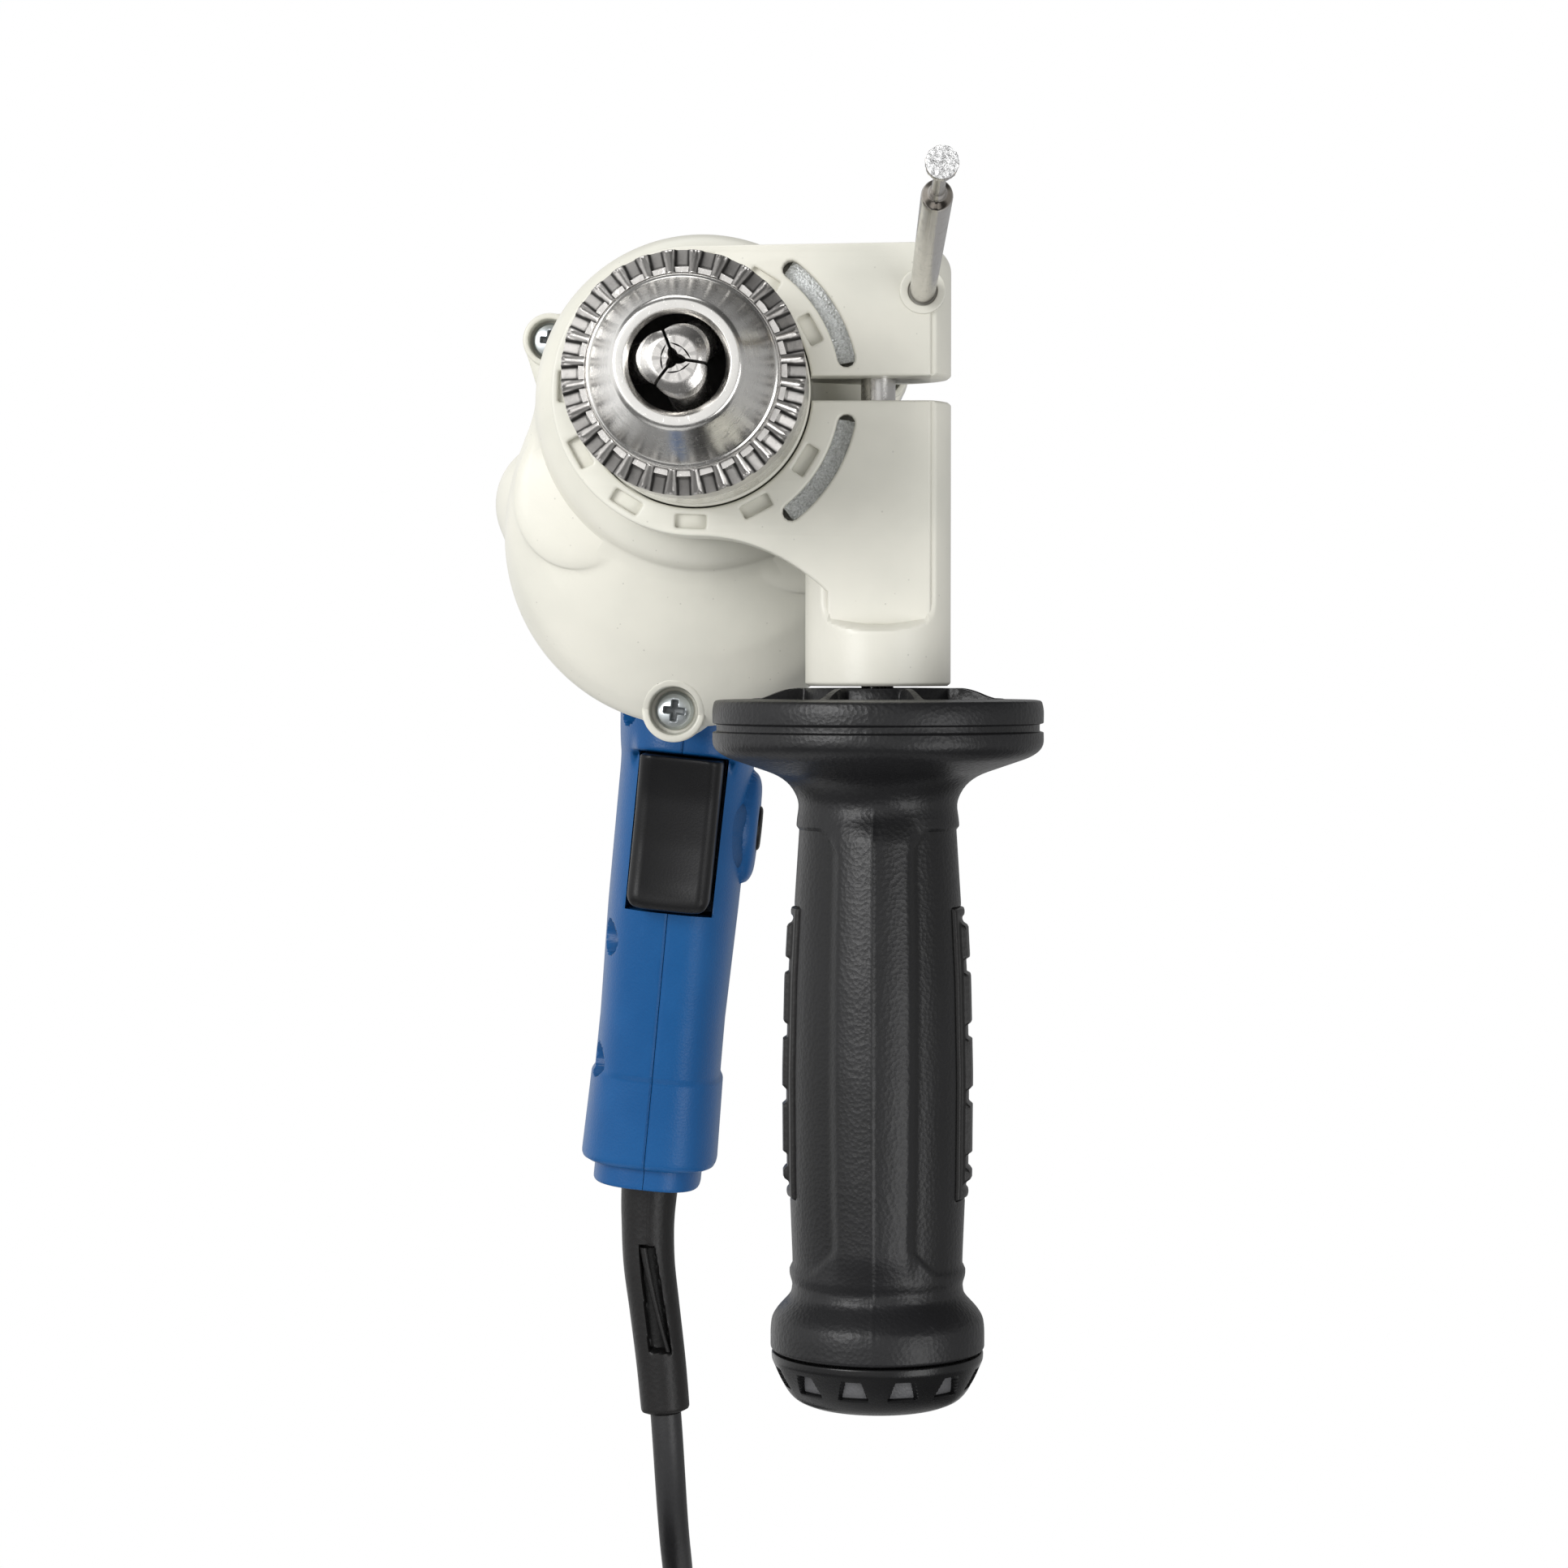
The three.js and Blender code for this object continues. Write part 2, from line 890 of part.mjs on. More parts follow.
function chuckScrewSolid() {
  const headRear = webFront - gap;
  const head = rod('y', screwInChuck.headRadius, headRear - screwInChuck.headLength, headRear);
  const shank = rod('y', screwInChuck.shankRadius, headRear - gap, headRear + screwInChuck.shankLength);
  return join(head, shank);
}

// Spindle, gears and ratchets

const gearRear = gears.front + gears.faceWidth;
const ratchetFront = gearRear + gap;
const ratchetRear = ratchetFront + ratchet.thickness + ratchet.toothHeight;
const plateRear = plate.front + plate.thickness;
const bushFront = plateRear - gap - bush.length;
const motorZ = -gears.drop;

function spindleSolid() {
  const front = webRear + gap;
  const flangeFront = chuckRear + gap;
  const flangeRear = flangeFront + spindle.flangeLength;
  const bearingRear = frontBearing.front + frontBearing.length;
  const body = turned('y', [
    [front, 0],
    [front, spindle.noseRadius - chamfer],
    [front + chamfer, spindle.noseRadius],
    [flangeFront, spindle.noseRadius],
    [flangeFront, spindle.flangeRadius],
    [flangeRear, spindle.flangeRadius],
    [flangeRear, spindle.bearingRadius],
    [bearingRear, spindle.bearingRadius],
    [spindle.gearSeatFront, spindle.bearingRadius],
    [spindle.gearSeatFront, spindle.gearSeatRadius],
    [gearRear, spindle.gearSeatRadius],
    [gearRear, spindle.ratchetSeatRadius],
    [ratchetRear, spindle.ratchetSeatRadius],
    [ratchetRear, spindle.rearRadius],
    [plateRear - gap, spindle.rearRadius],
    [plateRear - gap, 0],
  ], cells.medium);
  return cut(body, rod('y', chuck.screwBore, front - overrun, front + spindle.screwDepth, cells.medium));
}

// A straight gear about the Y axis, with slim trapezoid teeth that leave ample backlash.
function gearOutline(teeth, phase) {
  const pitchRadius = (gears.module * teeth) / 2;
  const tip = pitchRadius + gears.module;
  const root = pitchRadius - gears.module * gears.rootShare;
  const tipHalf = (gears.module * gears.tipWidthShare) / 2;
  const rootHalf = (gears.module * gears.rootWidthShare) / 2;
  const points = [];
  for (let i = 0; i < teeth; i += 1) {
    const middle = (2 * Math.PI * (i + phase)) / teeth;
    const corners = [[root, -rootHalf], [tip, -tipHalf], [tip, tipHalf], [root, rootHalf]];
    for (const [radius, half] of corners) {
      const angle = middle + half / radius;
      points.push([radius * Math.sin(angle), radius * Math.cos(angle)]);
    }
  }
  return points.reverse();
}

function spindleGearSolid() {
  const wheel = frontPrism(gearOutline(gears.wheelTeeth, 0), gears.front, gearRear);
  const bore = spindle.gearSeatRadius + gap;
  return cut(wheel, rod('y', bore, gears.front - overrun, gearRear + overrun));
}

// A ring with radial ridges on one face: side 1 has them to the rear, side -1 to the front.
function ratchetSolid(yBack, side, bore) {
  const yFace = yBack + side * ratchet.thickness;
  const yTip = yFace + side * ratchet.toothHeight;
  let body = ring('y', ratchet.radius, bore, Math.min(yBack, yFace), Math.max(yBack, yFace));
  const inner = bore + chamfer;
  const outer = ratchet.radius - chamfer;
  for (let i = 0; i < ratchet.teeth; i += 1) {
    const half = ratchet.toothHeight;
    const ridge = frontPrism([
      [inner, -half],
      [outer, -half],
      [outer, half],
      [inner, half],
    ], Math.min(yFace - side * chamfer, yTip), Math.max(yFace - side * chamfer, yTip));
    ridge.rotateY((2 * Math.PI * i) / ratchet.teeth);
    body = join(body, ridge);
  }
  return body;
}

function buildDriveLine() {
  add(drill, 'chuck_body', chuckBody(), steel);
  add(drill, 'chuck_sleeve', keyRingSolid(), toolSteel);
  add(drill, 'chuck_nut', nutSolid(), toolSteel);
  for (let i = 0; i < jaw.count; i += 1) add(drill, `jaw_${i + 1}`, jawSolid(i), steel);
  add(drill, 'chuck_screw', chuckScrewSolid(), zinc);
  add(drill, 'spindle', spindleSolid(), toolSteel);
  add(drill, 'spindle_gear', spindleGearSolid(), toolSteel);
  const turningBore = spindle.ratchetSeatRadius + ratchet.boreClearance;
  add(drill, 'ratchet_turning', ratchetSolid(ratchetFront, 1, turningBore), toolSteel);
  const fixedBack = plate.bossFront - gap;
  add(drill, 'ratchet_fixed', ratchetSolid(fixedBack, -1, turningBore), toolSteel);
  const bearingRear = frontBearing.front + frontBearing.length;
  const bearingBore = spindle.bearingRadius + frontBearing.boreClearance;
  add(drill, 'spindle_bearing',
    ring('y', frontBearing.radius, bearingBore, frontBearing.front, bearingRear, cells.medium), steel);
  const bushBore = spindle.rearRadius + bush.clearance;
  add(drill, 'spindle_bush',
    ring('y', bush.radius, bushBore, bushFront, plateRear - gap, cells.medium), bronze);
}


// Gearbox casting

function gearboxRings(inset, originZ) {
  const top = gearboxTopRadius;
  const low = gearbox.bottomRadius;
  const boss = gearbox.bossRadius;
  const level = (y, upper, lower) => {
    const [topZ, topR] = upper;
    const [lowZ, lowR] = lower;
    return eggRing(y, originZ, circleAt(topZ, topR - inset), circleAt(lowZ, lowR - inset));
  };
  const mid = [
    [0, top * gearbox.midTopShare],
    [motorZ * gearbox.midDropShare, low * gearbox.midBottomShare],
  ];
  const late = [
    [0, top * gearbox.lateTopShare],
    [motorZ * gearbox.lateDropShare, low * gearbox.lateBottomShare],
  ];
  return [
    level(gearbox.bossRear + inset, [0, boss], [0, boss]),
    level(gearbox.midFront + inset, ...mid),
    level(gearbox.midRear + inset, ...late),
    level(gearbox.fullFront + inset, [0, top], [motorZ, low]),
    level(gearbox.rear + (inset > 0 ? overrun : 0), [0, top], [motorZ, low]),
  ];
}

const lugRoot = { x: lug.rootX, z: lug.rootZ, r: lug.rootRadius };
const lugEnd = { x: lug.x, z: lug.z, r: lug.radius };
const bottomLugRoot = { x: 0, z: lug.bottomRootZ, r: lug.bottomRootRadius };
const bottomLugEnd = { x: 0, z: lug.bottomZ, r: lug.bottomRadius };

function mirrored(points) {
  return points.map(([x, z]) => [-x, z]).reverse();
}

function lugOutlines() {
  const right = belt(lugRoot, lugEnd, cells.tiny);
  return [right, mirrored(right), belt(bottomLugRoot, bottomLugEnd, cells.tiny)];
}

const lugPlaces = [
  { name: 'right', x: lug.x, z: lug.z, front: lug.front },
  { name: 'left', x: -lug.x, z: lug.z, front: lug.front },
  { name: 'bottom', x: 0, z: lug.bottomZ, front: lug.bottomFront },
];

const lugScrewTip = lug.front + lugScrew.length;

function at(geometry, x, y, z) {
  return geometry.translate(x, y, z);
}

function blisterSolid(side) {
  const bulge = new THREE.SphereGeometry(1, cells.medium, cells.tiny);
  bulge.scale(blister.sideWidth, blister.sideDepth, blister.sideHeight);
  at(bulge, side * blister.sideX, blister.sideY, blister.sideZ);
  const outer = [];
  const steps = cells.small;
  for (let i = 0; i <= steps; i += 1) {
    const share = i / steps;
    const angle = blister.ledgeStart + (blister.ledgeEnd - blister.ledgeStart) * share;
    const swell = Math.sin(Math.PI * share);
    const radius = blister.ledgeEndRadius + (blister.ledgeRadius - blister.ledgeEndRadius) * swell;
    outer.push(...arc(0, 0, radius, angle, angle, 1).slice(0, 1));
  }
  outer.push([0, -blister.ledgeEndRadius / 2]);
  const outline = side < 0 ? outer : mirrored(outer);
  return join(bulge, frontPrism(outline, blister.ledgeFront, blister.ledgeRear));
}

function gearboxSolid() {
  const originZ = motorZ / 2;
  let body = turned('y', [
    [gearbox.neckFront, 0],
    [gearbox.neckFront, gearbox.neckRadius - chamfer],
    [gearbox.neckFront + chamfer, gearbox.neckRadius],
    [gearbox.bossFront, gearbox.neckRadius],
    [gearbox.bossFront, gearbox.bossFootRadius],
    [(gearbox.bossFront + gearbox.bossRear) / 2, gearbox.bossRadius - chamfer],
    [gearbox.bossRear + overrun, gearbox.bossRadius],
    [gearbox.bossRear + overrun, 0],
  ], cells.fine);
  body = join(body, loft(gearboxRings(0, originZ)));
  body = join(body, blisterSolid(-1), blisterSolid(1));
  lugOutlines().forEach((outline, i) => {
    body = join(body, frontPrism(outline, lugPlaces[i].front, gearbox.rear));
  });
  const padBottom = gearboxTopRadius / 2;
  const padRod = rod('z', selector.padRadius, padBottom, padTop);
  body = join(body, at(padRod, 0, selector.y, 0));
  const bearingRear = frontBearing.front + frontBearing.length;
  body = cut(
    body,
    loft(gearboxRings(gearbox.wall, originZ)),
    rod('y', gearbox.neckHole, gearbox.neckFront - overrun, frontBearing.front),
    rod('y', frontBearing.radius + gap, frontBearing.front - gap, bearingRear + gap),
    rod('y', gearbox.neckBore, bearingRear, gearbox.midFront + gearbox.wall),
    at(rod('z', selector.stemRadius + gap, selector.stemBottom, padTop + overrun),
      0, selector.y, 0),
  );
  for (const place of lugPlaces) {
    const pocket = rod('y', lugScrew.headRadius + gap, place.front - overrun,
      place.front + lug.pocketDepth, cells.medium);
    const hole = rod('y', lugScrew.shankRadius + gap, place.front, gearbox.rear + overrun,
      cells.small);
    body = cut(body, at(pocket, place.x, 0, place.z), at(hole, place.x, 0, place.z));
  }
  return body;
}

function lugScrewSolid(place) {
  const headRear = place.front + lug.pocketDepth - gap;
  const head = rod('y', lugScrew.headRadius, headRear - lugScrew.headLength, headRear, cells.small);
  const shank = rod('y', lugScrew.shankRadius, headRear - gap, lugScrewTip, cells.tiny);
  return at(geometryOf(join(head, shank)), place.x, 0, place.z);
}

function selectorSolid() {
  const bottom = padTop + gap;
  const top = bottom + selector.knobHeight;
  const knob = rod('z', selector.knobRadius, bottom, top, cells.round);
  const half = selector.ridgeWidth / 2;
  const ridgeReach = selector.knobRadius - chamfer;
  const ridge = box([-half, -ridgeReach, top - chamfer], [half, ridgeReach, top + selector.ridgeHeight]);
  const stem = rod('z', selector.stemRadius, selector.stemBottom, bottom + chamfer, cells.small);
  return at(geometryOf(join(knob, ridge, stem)), 0, selector.y, 0);
}

function gearPlateSolid() {
  const upper = circleAt(0, gearboxTopRadius - gearbox.wall - gap);
  const lower = circleAt(motorZ, gearbox.bottomRadius - gearbox.wall - gap);
  const originZ = motorZ / 2;
  const body = loft([
    eggRing(plate.front, originZ, upper, lower),
    eggRing(plateRear, originZ, upper, lower),
  ]);
  const cupInner = motorBearing.frontRadius + gap;
  const cup = ring('y', cupInner + plate.cupWall, cupInner, plateRear - chamfer,
    plateRear + plate.cupLength);
  const boss = rod('y', plate.bossRadius, plate.bossFront, plate.front + chamfer);
  const whole = join(body, boss, at(cup, 0, 0, motorZ));
  return cut(
    whole,
    rod('y', spindle.ratchetSeatRadius + gap, plate.bossFront - overrun, plateRear),
    rod('y', bush.radius + gap, bushFront - gap, plateRear + overrun),
    at(rod('y', motor.shaftRadius + chamfer, plate.front - overrun, plateRear + overrun),
      0, 0, motorZ),
    at(rod('y', lugScrew.shankRadius + chamfer, plate.front - overrun, plateRear + overrun),
      0, 0, lug.bottomZ),
  );
}

// Motor

const bearingSeatFront = plateRear + gap;

function alongMotor(shape) {
  return at(geometryOf(shape), 0, 0, motorZ);
}

function shaftSolid() {
  const pinionFront = gears.front - chamfer;
  const pinionRear = gearRear + chamfer;
  const phase = gears.wheelTeeth % 2 === 0 ? 1 / 2 : 0;
  const pinion = frontPrism(gearOutline(gears.pinionTeeth, phase), pinionFront, pinionRear);
  const neckRadius = (gears.module * gears.pinionTeeth) / 2 - gears.module * gears.rootShare;
  const neck = rod('y', neckRadius, pinionRear - chamfer, plate.front, cells.small);
  const body = rod('y', motor.shaftRadius, plate.front - gap, shaftRear, cells.medium);
  return alongMotor(join(body, neck, pinion));
}

function coreSolid() {
  const rear = coreRear;
  let body = ring('y', coreRadius, motor.shaftRadius + gap, coreFront, rear,
    2 * motor.coreSlots);
  const half = motor.slotWidth / 2;
  const floor = coreRadius - motor.slotDepth;
  for (let i = 0; i < motor.coreSlots; i += 1) {
    const slot = box(
      [floor, coreFront - overrun, -half],
      [coreRadius + overrun, rear + overrun, half],
    );
    slot.rotateY((2 * Math.PI * (i + 1 / 2)) / motor.coreSlots);
    body = cut(body, slot);
  }
  return alongMotor(body);
}

function fanSolid() {
  const rear = motor.fanFront + motor.fanDepth;
  const discRear = motor.fanFront + motor.fanDiscThickness;
  const bore = motor.shaftRadius + gap;
  let body = ring('y', fanRadius, bore, motor.fanFront, discRear);
  body = join(body, ring('y', motor.fanHubRadius, bore, motor.fanFront, rear));
  const half = motor.bladeThickness / 2;
  for (let i = 0; i < motor.fanBlades; i += 1) {
    const blade = box(
      [motor.fanHubRadius - chamfer, discRear - chamfer, -half],
      [fanRadius - chamfer, rear, half],
    );
    body = join(body, blade.rotateY((2 * Math.PI * i) / motor.fanBlades));
  }
  return alongMotor(body);
}

function fieldSolid() {
  const rear = fieldRear;
  const body = ring('y', fieldRadius, fieldBore, motor.fieldFront, rear, cells.fine);
  const half = motor.poleGap / 2;
  const window = fieldBore + motor.windowDepth;
  const sides = [-1, 1].map((side) => {
    const ends = [0, side * window].sort((a, b) => a - b);
    return box(
      [ends[0], motor.fieldFront - overrun, -half],
      [ends[1], rear + overrun, half],
    );
  });
  return alongMotor(cut(body, ...sides));
}

function coilPackSolid(side) {
  const inner = fieldBore + gap;
  const outer = fieldBore + motor.windowDepth - gap;
  const half = motor.poleGap / 2 - gap;
  const ends = [side * inner, side * outer].sort((a, b) => a - b);
  return alongMotor(box(
    [ends[0], motor.fieldFront - overrun, -half],
    [ends[1], fieldRear + overrun, half],
  ));
}

function brushParts(side) {
  const inner = motor.commutatorRadius + gap;
  const block = [inner, inner + brush.length].map((x) => side * x).sort((a, b) => a - b);
  const halfY = brush.width / 2;
  const halfZ = brush.height / 2;
  const carbonBlock = box([block[0], brushY - halfY, -halfZ], [block[1], brushY + halfY, halfZ]);
  const start = inner + chamfer;
  const seat = housing.barrelRadius - housing.wall - brush.seatClearance;
  const shell = [start, seat].map((x) => side * x).sort((a, b) => a - b);
  const wall = brush.holderWall + gap;
  const holder = cut(
    box([shell[0], brushY - halfY - wall, -halfZ - wall], [shell[1], brushY + halfY + wall, halfZ + wall]),
    box(
      [shell[0] - overrun, brushY - halfY - gap, -halfZ - gap],
      [shell[1] + overrun, brushY + halfY + gap, halfZ + gap],
    ),
  );
  return [alongMotor(carbonBlock), alongMotor(holder)];
}

const rearBearingRear = shaftRear - gap;
const rearBearingFront = rearBearingRear - motorBearing.rearLength;

function buildMotor() {
  add(drill, 'gearbox_housing', gearboxSolid(), cream);
  for (const place of lugPlaces) add(drill, `gearbox_screw_${place.name}`, lugScrewSolid(place), zinc);
  add(drill, 'mode_selector', selectorSolid(), black);
  add(drill, 'gear_plate', gearPlateSolid(), castMetal);
  add(drill, 'armature_shaft', shaftSolid(), toolSteel);
  add(drill, 'armature_core', coreSolid(), laminate);
  const onShaft = motor.shaftRadius + gap;
  const commutator = ring('y', motor.commutatorRadius, onShaft, commutatorFront,
    commutatorRear, cells.medium);
  add(drill, 'commutator', alongMotor(commutator), copper);
  add(drill, 'fan', fanSolid(), resin);
  add(drill, 'field_core', fieldSolid(), laminate);
  add(drill, 'field_coil_left', coilPackSolid(-1), copper);
  add(drill, 'field_coil_right', coilPackSolid(1), copper);
  const frontSeat = ring('y', motorBearing.frontRadius, onShaft, bearingSeatFront,
    bearingSeatFront + motorBearing.frontLength, cells.medium);
  add(drill, 'motor_bearing_front', alongMotor(frontSeat), steel);
  const rearSeat = ring('y', motorBearing.rearRadius, onShaft, rearBearingFront,
    rearBearingRear, cells.medium);
  add(drill, 'motor_bearing_rear', alongMotor(rearSeat), steel);
  for (const [side, name] of [[-1, 'left'], [1, 'right']]) {
    const [block, holder] = brushParts(side);
    add(drill, `brush_${name}`, block, carbon);
    add(drill, `brush_holder_${name}`, holder, brass);
  }
}

// Two-part housing with the hand grip

function barrelRings(inset) {
  const upper = circleAt(0, gearboxTopRadius - gap - inset);
  const lower = circleAt(motorZ, gearbox.bottomRadius - gap - inset);
  const round = (y, radius) => {
    const edge = circleAt(motorZ, radius - inset);
    return eggRing(y, motorZ, edge, edge);
  };
  const open = inset > 0 ? overrun : 0;
  return [
    eggRing(housing.front - open, motorZ, upper, lower),
    eggRing(housing.collarRear, motorZ, upper, lower),
    round(housing.barrelFront, housing.barrelRadius),
    round(housingRear - housing.taperLength, housing.barrelRadius),
    round(housingRear - housing.domeLength - inset / 2, housing.barrelRadius - housing.shoulderDrop),
    round(housingRear - inset, housing.rearRadius),
  ];
}

const gripRoundShare = 0.7;

function gripRing(z, front, rear, width, inset) {
  const count = 2 * cells.tiny;
  const middle = (front + rear) / 2;
  const halfDepth = (rear - front) / 2 - inset;
  const halfWidth = width / 2 - inset;
  const points = [];
  for (let i = 0; i < count; i += 1) {
    const angle = (2 * Math.PI * i) / count;
    const [c, s] = [Math.cos(angle), Math.sin(angle)];
    points.push([
      halfWidth * Math.sign(c) * Math.abs(c) ** gripRoundShare,
      middle + halfDepth * Math.sign(s) * Math.abs(s) ** gripRoundShare,
      z,
    ]);
  }
  return points;
}

function gripSolid(inset) {
  const g = grip;
  const canopy = loft([
    gripRing(g.rootTop, g.canopyFront, g.rearTop, g.rootWidth, inset),
    gripRing(g.canopyBottom + inset, g.canopyFront, g.rearTop, g.width, inset),
  ]);
  const start = g.canopyBottom + housing.wall + inset + chamfer;
  const below = loft([
    gripRing(start, g.trigger, g.rearTop, g.width, inset),
    gripRing(g.triggerBottom, g.frontBelowTrigger, g.rearBelowTrigger, g.width, inset),
    gripRing(g.waistZ, g.waistFront, g.waistRear, g.waistWidth, inset),
    gripRing(g.flareZ, g.flareFront, g.flareRear, g.footWidth, inset),
    gripRing(g.footBottom + inset, g.footFront, g.footRear, g.footWidth, inset),
  ]);
  return join(canopy, below);
}

function plinthSolid() {
  const g = grip;
  return loft([
    gripRing(g.footBottom + housing.wall / 2, g.plinthFront, g.plinthRear, g.plinthWidth, 0),
    gripRing(g.plinthBottom, g.plinthFront, g.plinthRear, g.plinthWidth, 0),
  ]);
}

function caseBoss(place, radius, from, to, segments) {
  return at(rod('x', radius, from, to, segments), 0, place.y, place.z);
}

// The barrel narrows or widens evenly from the gearbox's rim to its own round stretch.
function barrelRadiusAt(y) {
  const share = (y - housing.collarRear) / (housing.barrelFront - housing.collarRear);
  const rim = gearbox.bottomRadius - gap;
  return rim + (housing.barrelRadius - rim) * Math.min(share, 1);
}

function housingSolid() {
  const outerBarrel = loft(barrelRings(0));
  const lockBoss = at(
    rod('x', power.lockBossRadius, grip.width / 4, power.lockBossOuter, cells.medium),
    0, power.lockY, power.lockZ,
  );
  let outer = join(outerBarrel, gripSolid(0), plinthSolid(), lockBoss);
  const bossRear = lugScrewTip + overrun;
  for (const outline of lugOutlines()) {
    outer = join(outer, frontPrism(outline, housing.front, bossRear));
  }
  const hollow = join(loft(barrelRings(housing.wall)), gripSolid(housing.wall));
  let shell = cut(outer, hollow);

  const fieldSeat = fieldRadius + gap;
  const ribOuter = housing.barrelRadius - housing.wall / 2;
  const thick = housing.ribThickness;
  const ribs = [motor.fieldFront + thick, fieldRear - 2 * thick].map((y) => (
    at(ring('y', barrelRadiusAt(y) - housing.wall / 2, fieldSeat, y, y + thick, cells.fine), 0, 0, motorZ)
  ));
  const seat = motorBearing.rearRadius + gap;
  const wallFront = (rearBearingFront + rearBearingRear - thick) / 2;
  ribs.push(at(ring('y', ribOuter, seat, wallFront, wallFront + thick), 0, 0, motorZ));
  ribs.push(at(ring('y', seat + thick, seat, rearBearingFront, rearBearingRear), 0, 0, motorZ));
  const switchSide = power.switchWidth / 2 + gap;
  for (const side of [-1, 1]) {
    for (const z of [power.ribTop, power.ribBottom]) {
      const ends = [side * switchSide, side * power.ribReach].sort((a, b) => a - b);
      ribs.push(box(
        [ends[0], power.switchFront + thick, z],
        [ends[1], power.switchFront + thick + power.ribDepth, z + power.ribThickness],
      ));
    }
  }
  const shelfTop = power.capacitorTop - power.capacitorLength - gap;
  const shelfHalf = power.capacitorRadius + overrun;
  ribs.push(box(
    [-power.ribReach, power.capacitorY - shelfHalf, shelfTop - power.capacitorShelf],
    [power.ribReach, power.capacitorY + shelfHalf, shelfTop],
  ));
  for (const place of Object.values(caseScrewPlaces)) {
    ribs.push(caseBoss(place, caseScrew.bossRadius, -housing.barrelRadius, housing.barrelRadius,
      cells.small));
  }
  for (const rib of ribs) shell = join(shell, meet(rib, outer));

  const triggerHalf = trigger.width / 2 + gap;
  const cuts = [
    box(
      [-triggerHalf, grip.canopyFront - overrun, grip.triggerBottom],
      [triggerHalf, grip.trigger + 3 * housing.wall, grip.canopyBottom],
    ),
    at(rod('x', power.lockRadius + gap, grip.width / 4, power.lockBossOuter + overrun, cells.medium),
      0, power.lockY, power.lockZ),
    at(rod('z', sleeve.topRadius + gap, grip.plinthBottom - overrun, grip.footBottom + 2 * housing.wall,
      cells.medium), sleeve.path[1][0], sleeve.y, 0),
  ];
  for (const place of Object.values(caseScrewPlaces)) {
    const far = housing.barrelRadius + overrun;
    cuts.push(caseBoss(place, caseScrew.pocketRadius, -far, caseScrew.pocketFloor, cells.small));
    cuts.push(caseBoss(place, caseScrew.holeRadius, caseScrew.pocketFloor - overrun,
      caseScrew.blindEnd, cells.tiny));
  }
  for (const place of lugPlaces) {
    const hole = rod('y', lugScrew.shankRadius + gap, housing.front - overrun, lugScrewTip + gap,
      cells.small);
    cuts.push(at(hole, place.x, 0, place.z));
  }
  const ventHalf = housing.ventWidth / 2;
  for (const side of [-1, 1]) {
    const ends = [side * coreRadius, side * (gearbox.bottomRadius + overrun)];
    ends.sort((a, b) => a - b);
    for (let k = 0; k < housing.ventCount; k += 1) {
      const offset = housing.ventOffset + k * housing.ventSpacing;
      for (const z of [motorZ - offset, motorZ + offset]) {
        cuts.push(box(
          [ends[0], ventRear - housing.ventLength, z - ventHalf],
          [ends[1], ventRear, z + ventHalf],
        ));
      }
      cuts.push(box(
        [ends[0], housing.fanVentFront, motorZ - offset - ventHalf],
        [ends[1], housing.fanVentFront + housing.fanVentLength, motorZ - offset + ventHalf],
      ));
    }
  }
  return cut(shell, ...cuts);
}

function housingHalf(whole, side) {
  const far = 2 * gearbox.bottomRadius;
  const ends = [side * housing.seam, side * far].sort((a, b) => a - b);
  const half = box(
    [ends[0], housing.front - overrun, grip.plinthBottom - overrun],
    [ends[1], housingRear + overrun, gearboxTopRadius + overrun],
  );
  return meet(whole, half);
}

function caseScrewSolid(place) {
  const seat = caseScrew.pocketFloor - gap;
  const head = rod('x', caseScrew.headRadius, seat - caseScrew.headLength, seat, cells.small);
  const shank = rod('x', caseScrew.shankRadius, seat - gap, caseScrew.tip, cells.tiny);
  return at(geometryOf(join(head, shank)), 0, place.y, place.z);
}

function triggerSolid() {
  const t = trigger;
  const tall = t.top - t.bottom;
  const half = t.width / 2;
  const block = sidePrism([
    [t.frontTop, t.top],
    [(t.frontTop + t.frontMiddle) / 2, t.top - tall / 6],
    [t.frontMiddle, t.top - tall / 2],
    [t.frontBottom, t.bottom + t.cornerRadius],
    [t.frontBottom + t.cornerRadius, t.bottom],
    [triggerRear, t.bottom],
    [triggerRear, t.top],
  ], -half, half);
  const plunger = rod('y', t.plungerRadius, triggerRear - chamfer, triggerRear + t.plungerLength, cells.tiny);
  return join(block, at(plunger, 0, 0, power.plungerZ));
}

function switchSolid() {
  const half = power.switchWidth / 2;
  const body = box(
    [-half, power.switchFront, power.switchBottom],
    [half, power.switchRear, power.switchTop],
  );
  const holeRear = triggerRear + trigger.plungerLength + trigger.travel + gap;
  const hole = rod('y', trigger.plungerRadius + gap, power.switchFront - overrun, holeRear, cells.tiny);
  return cut(body, at(hole, 0, 0, power.plungerZ));
}

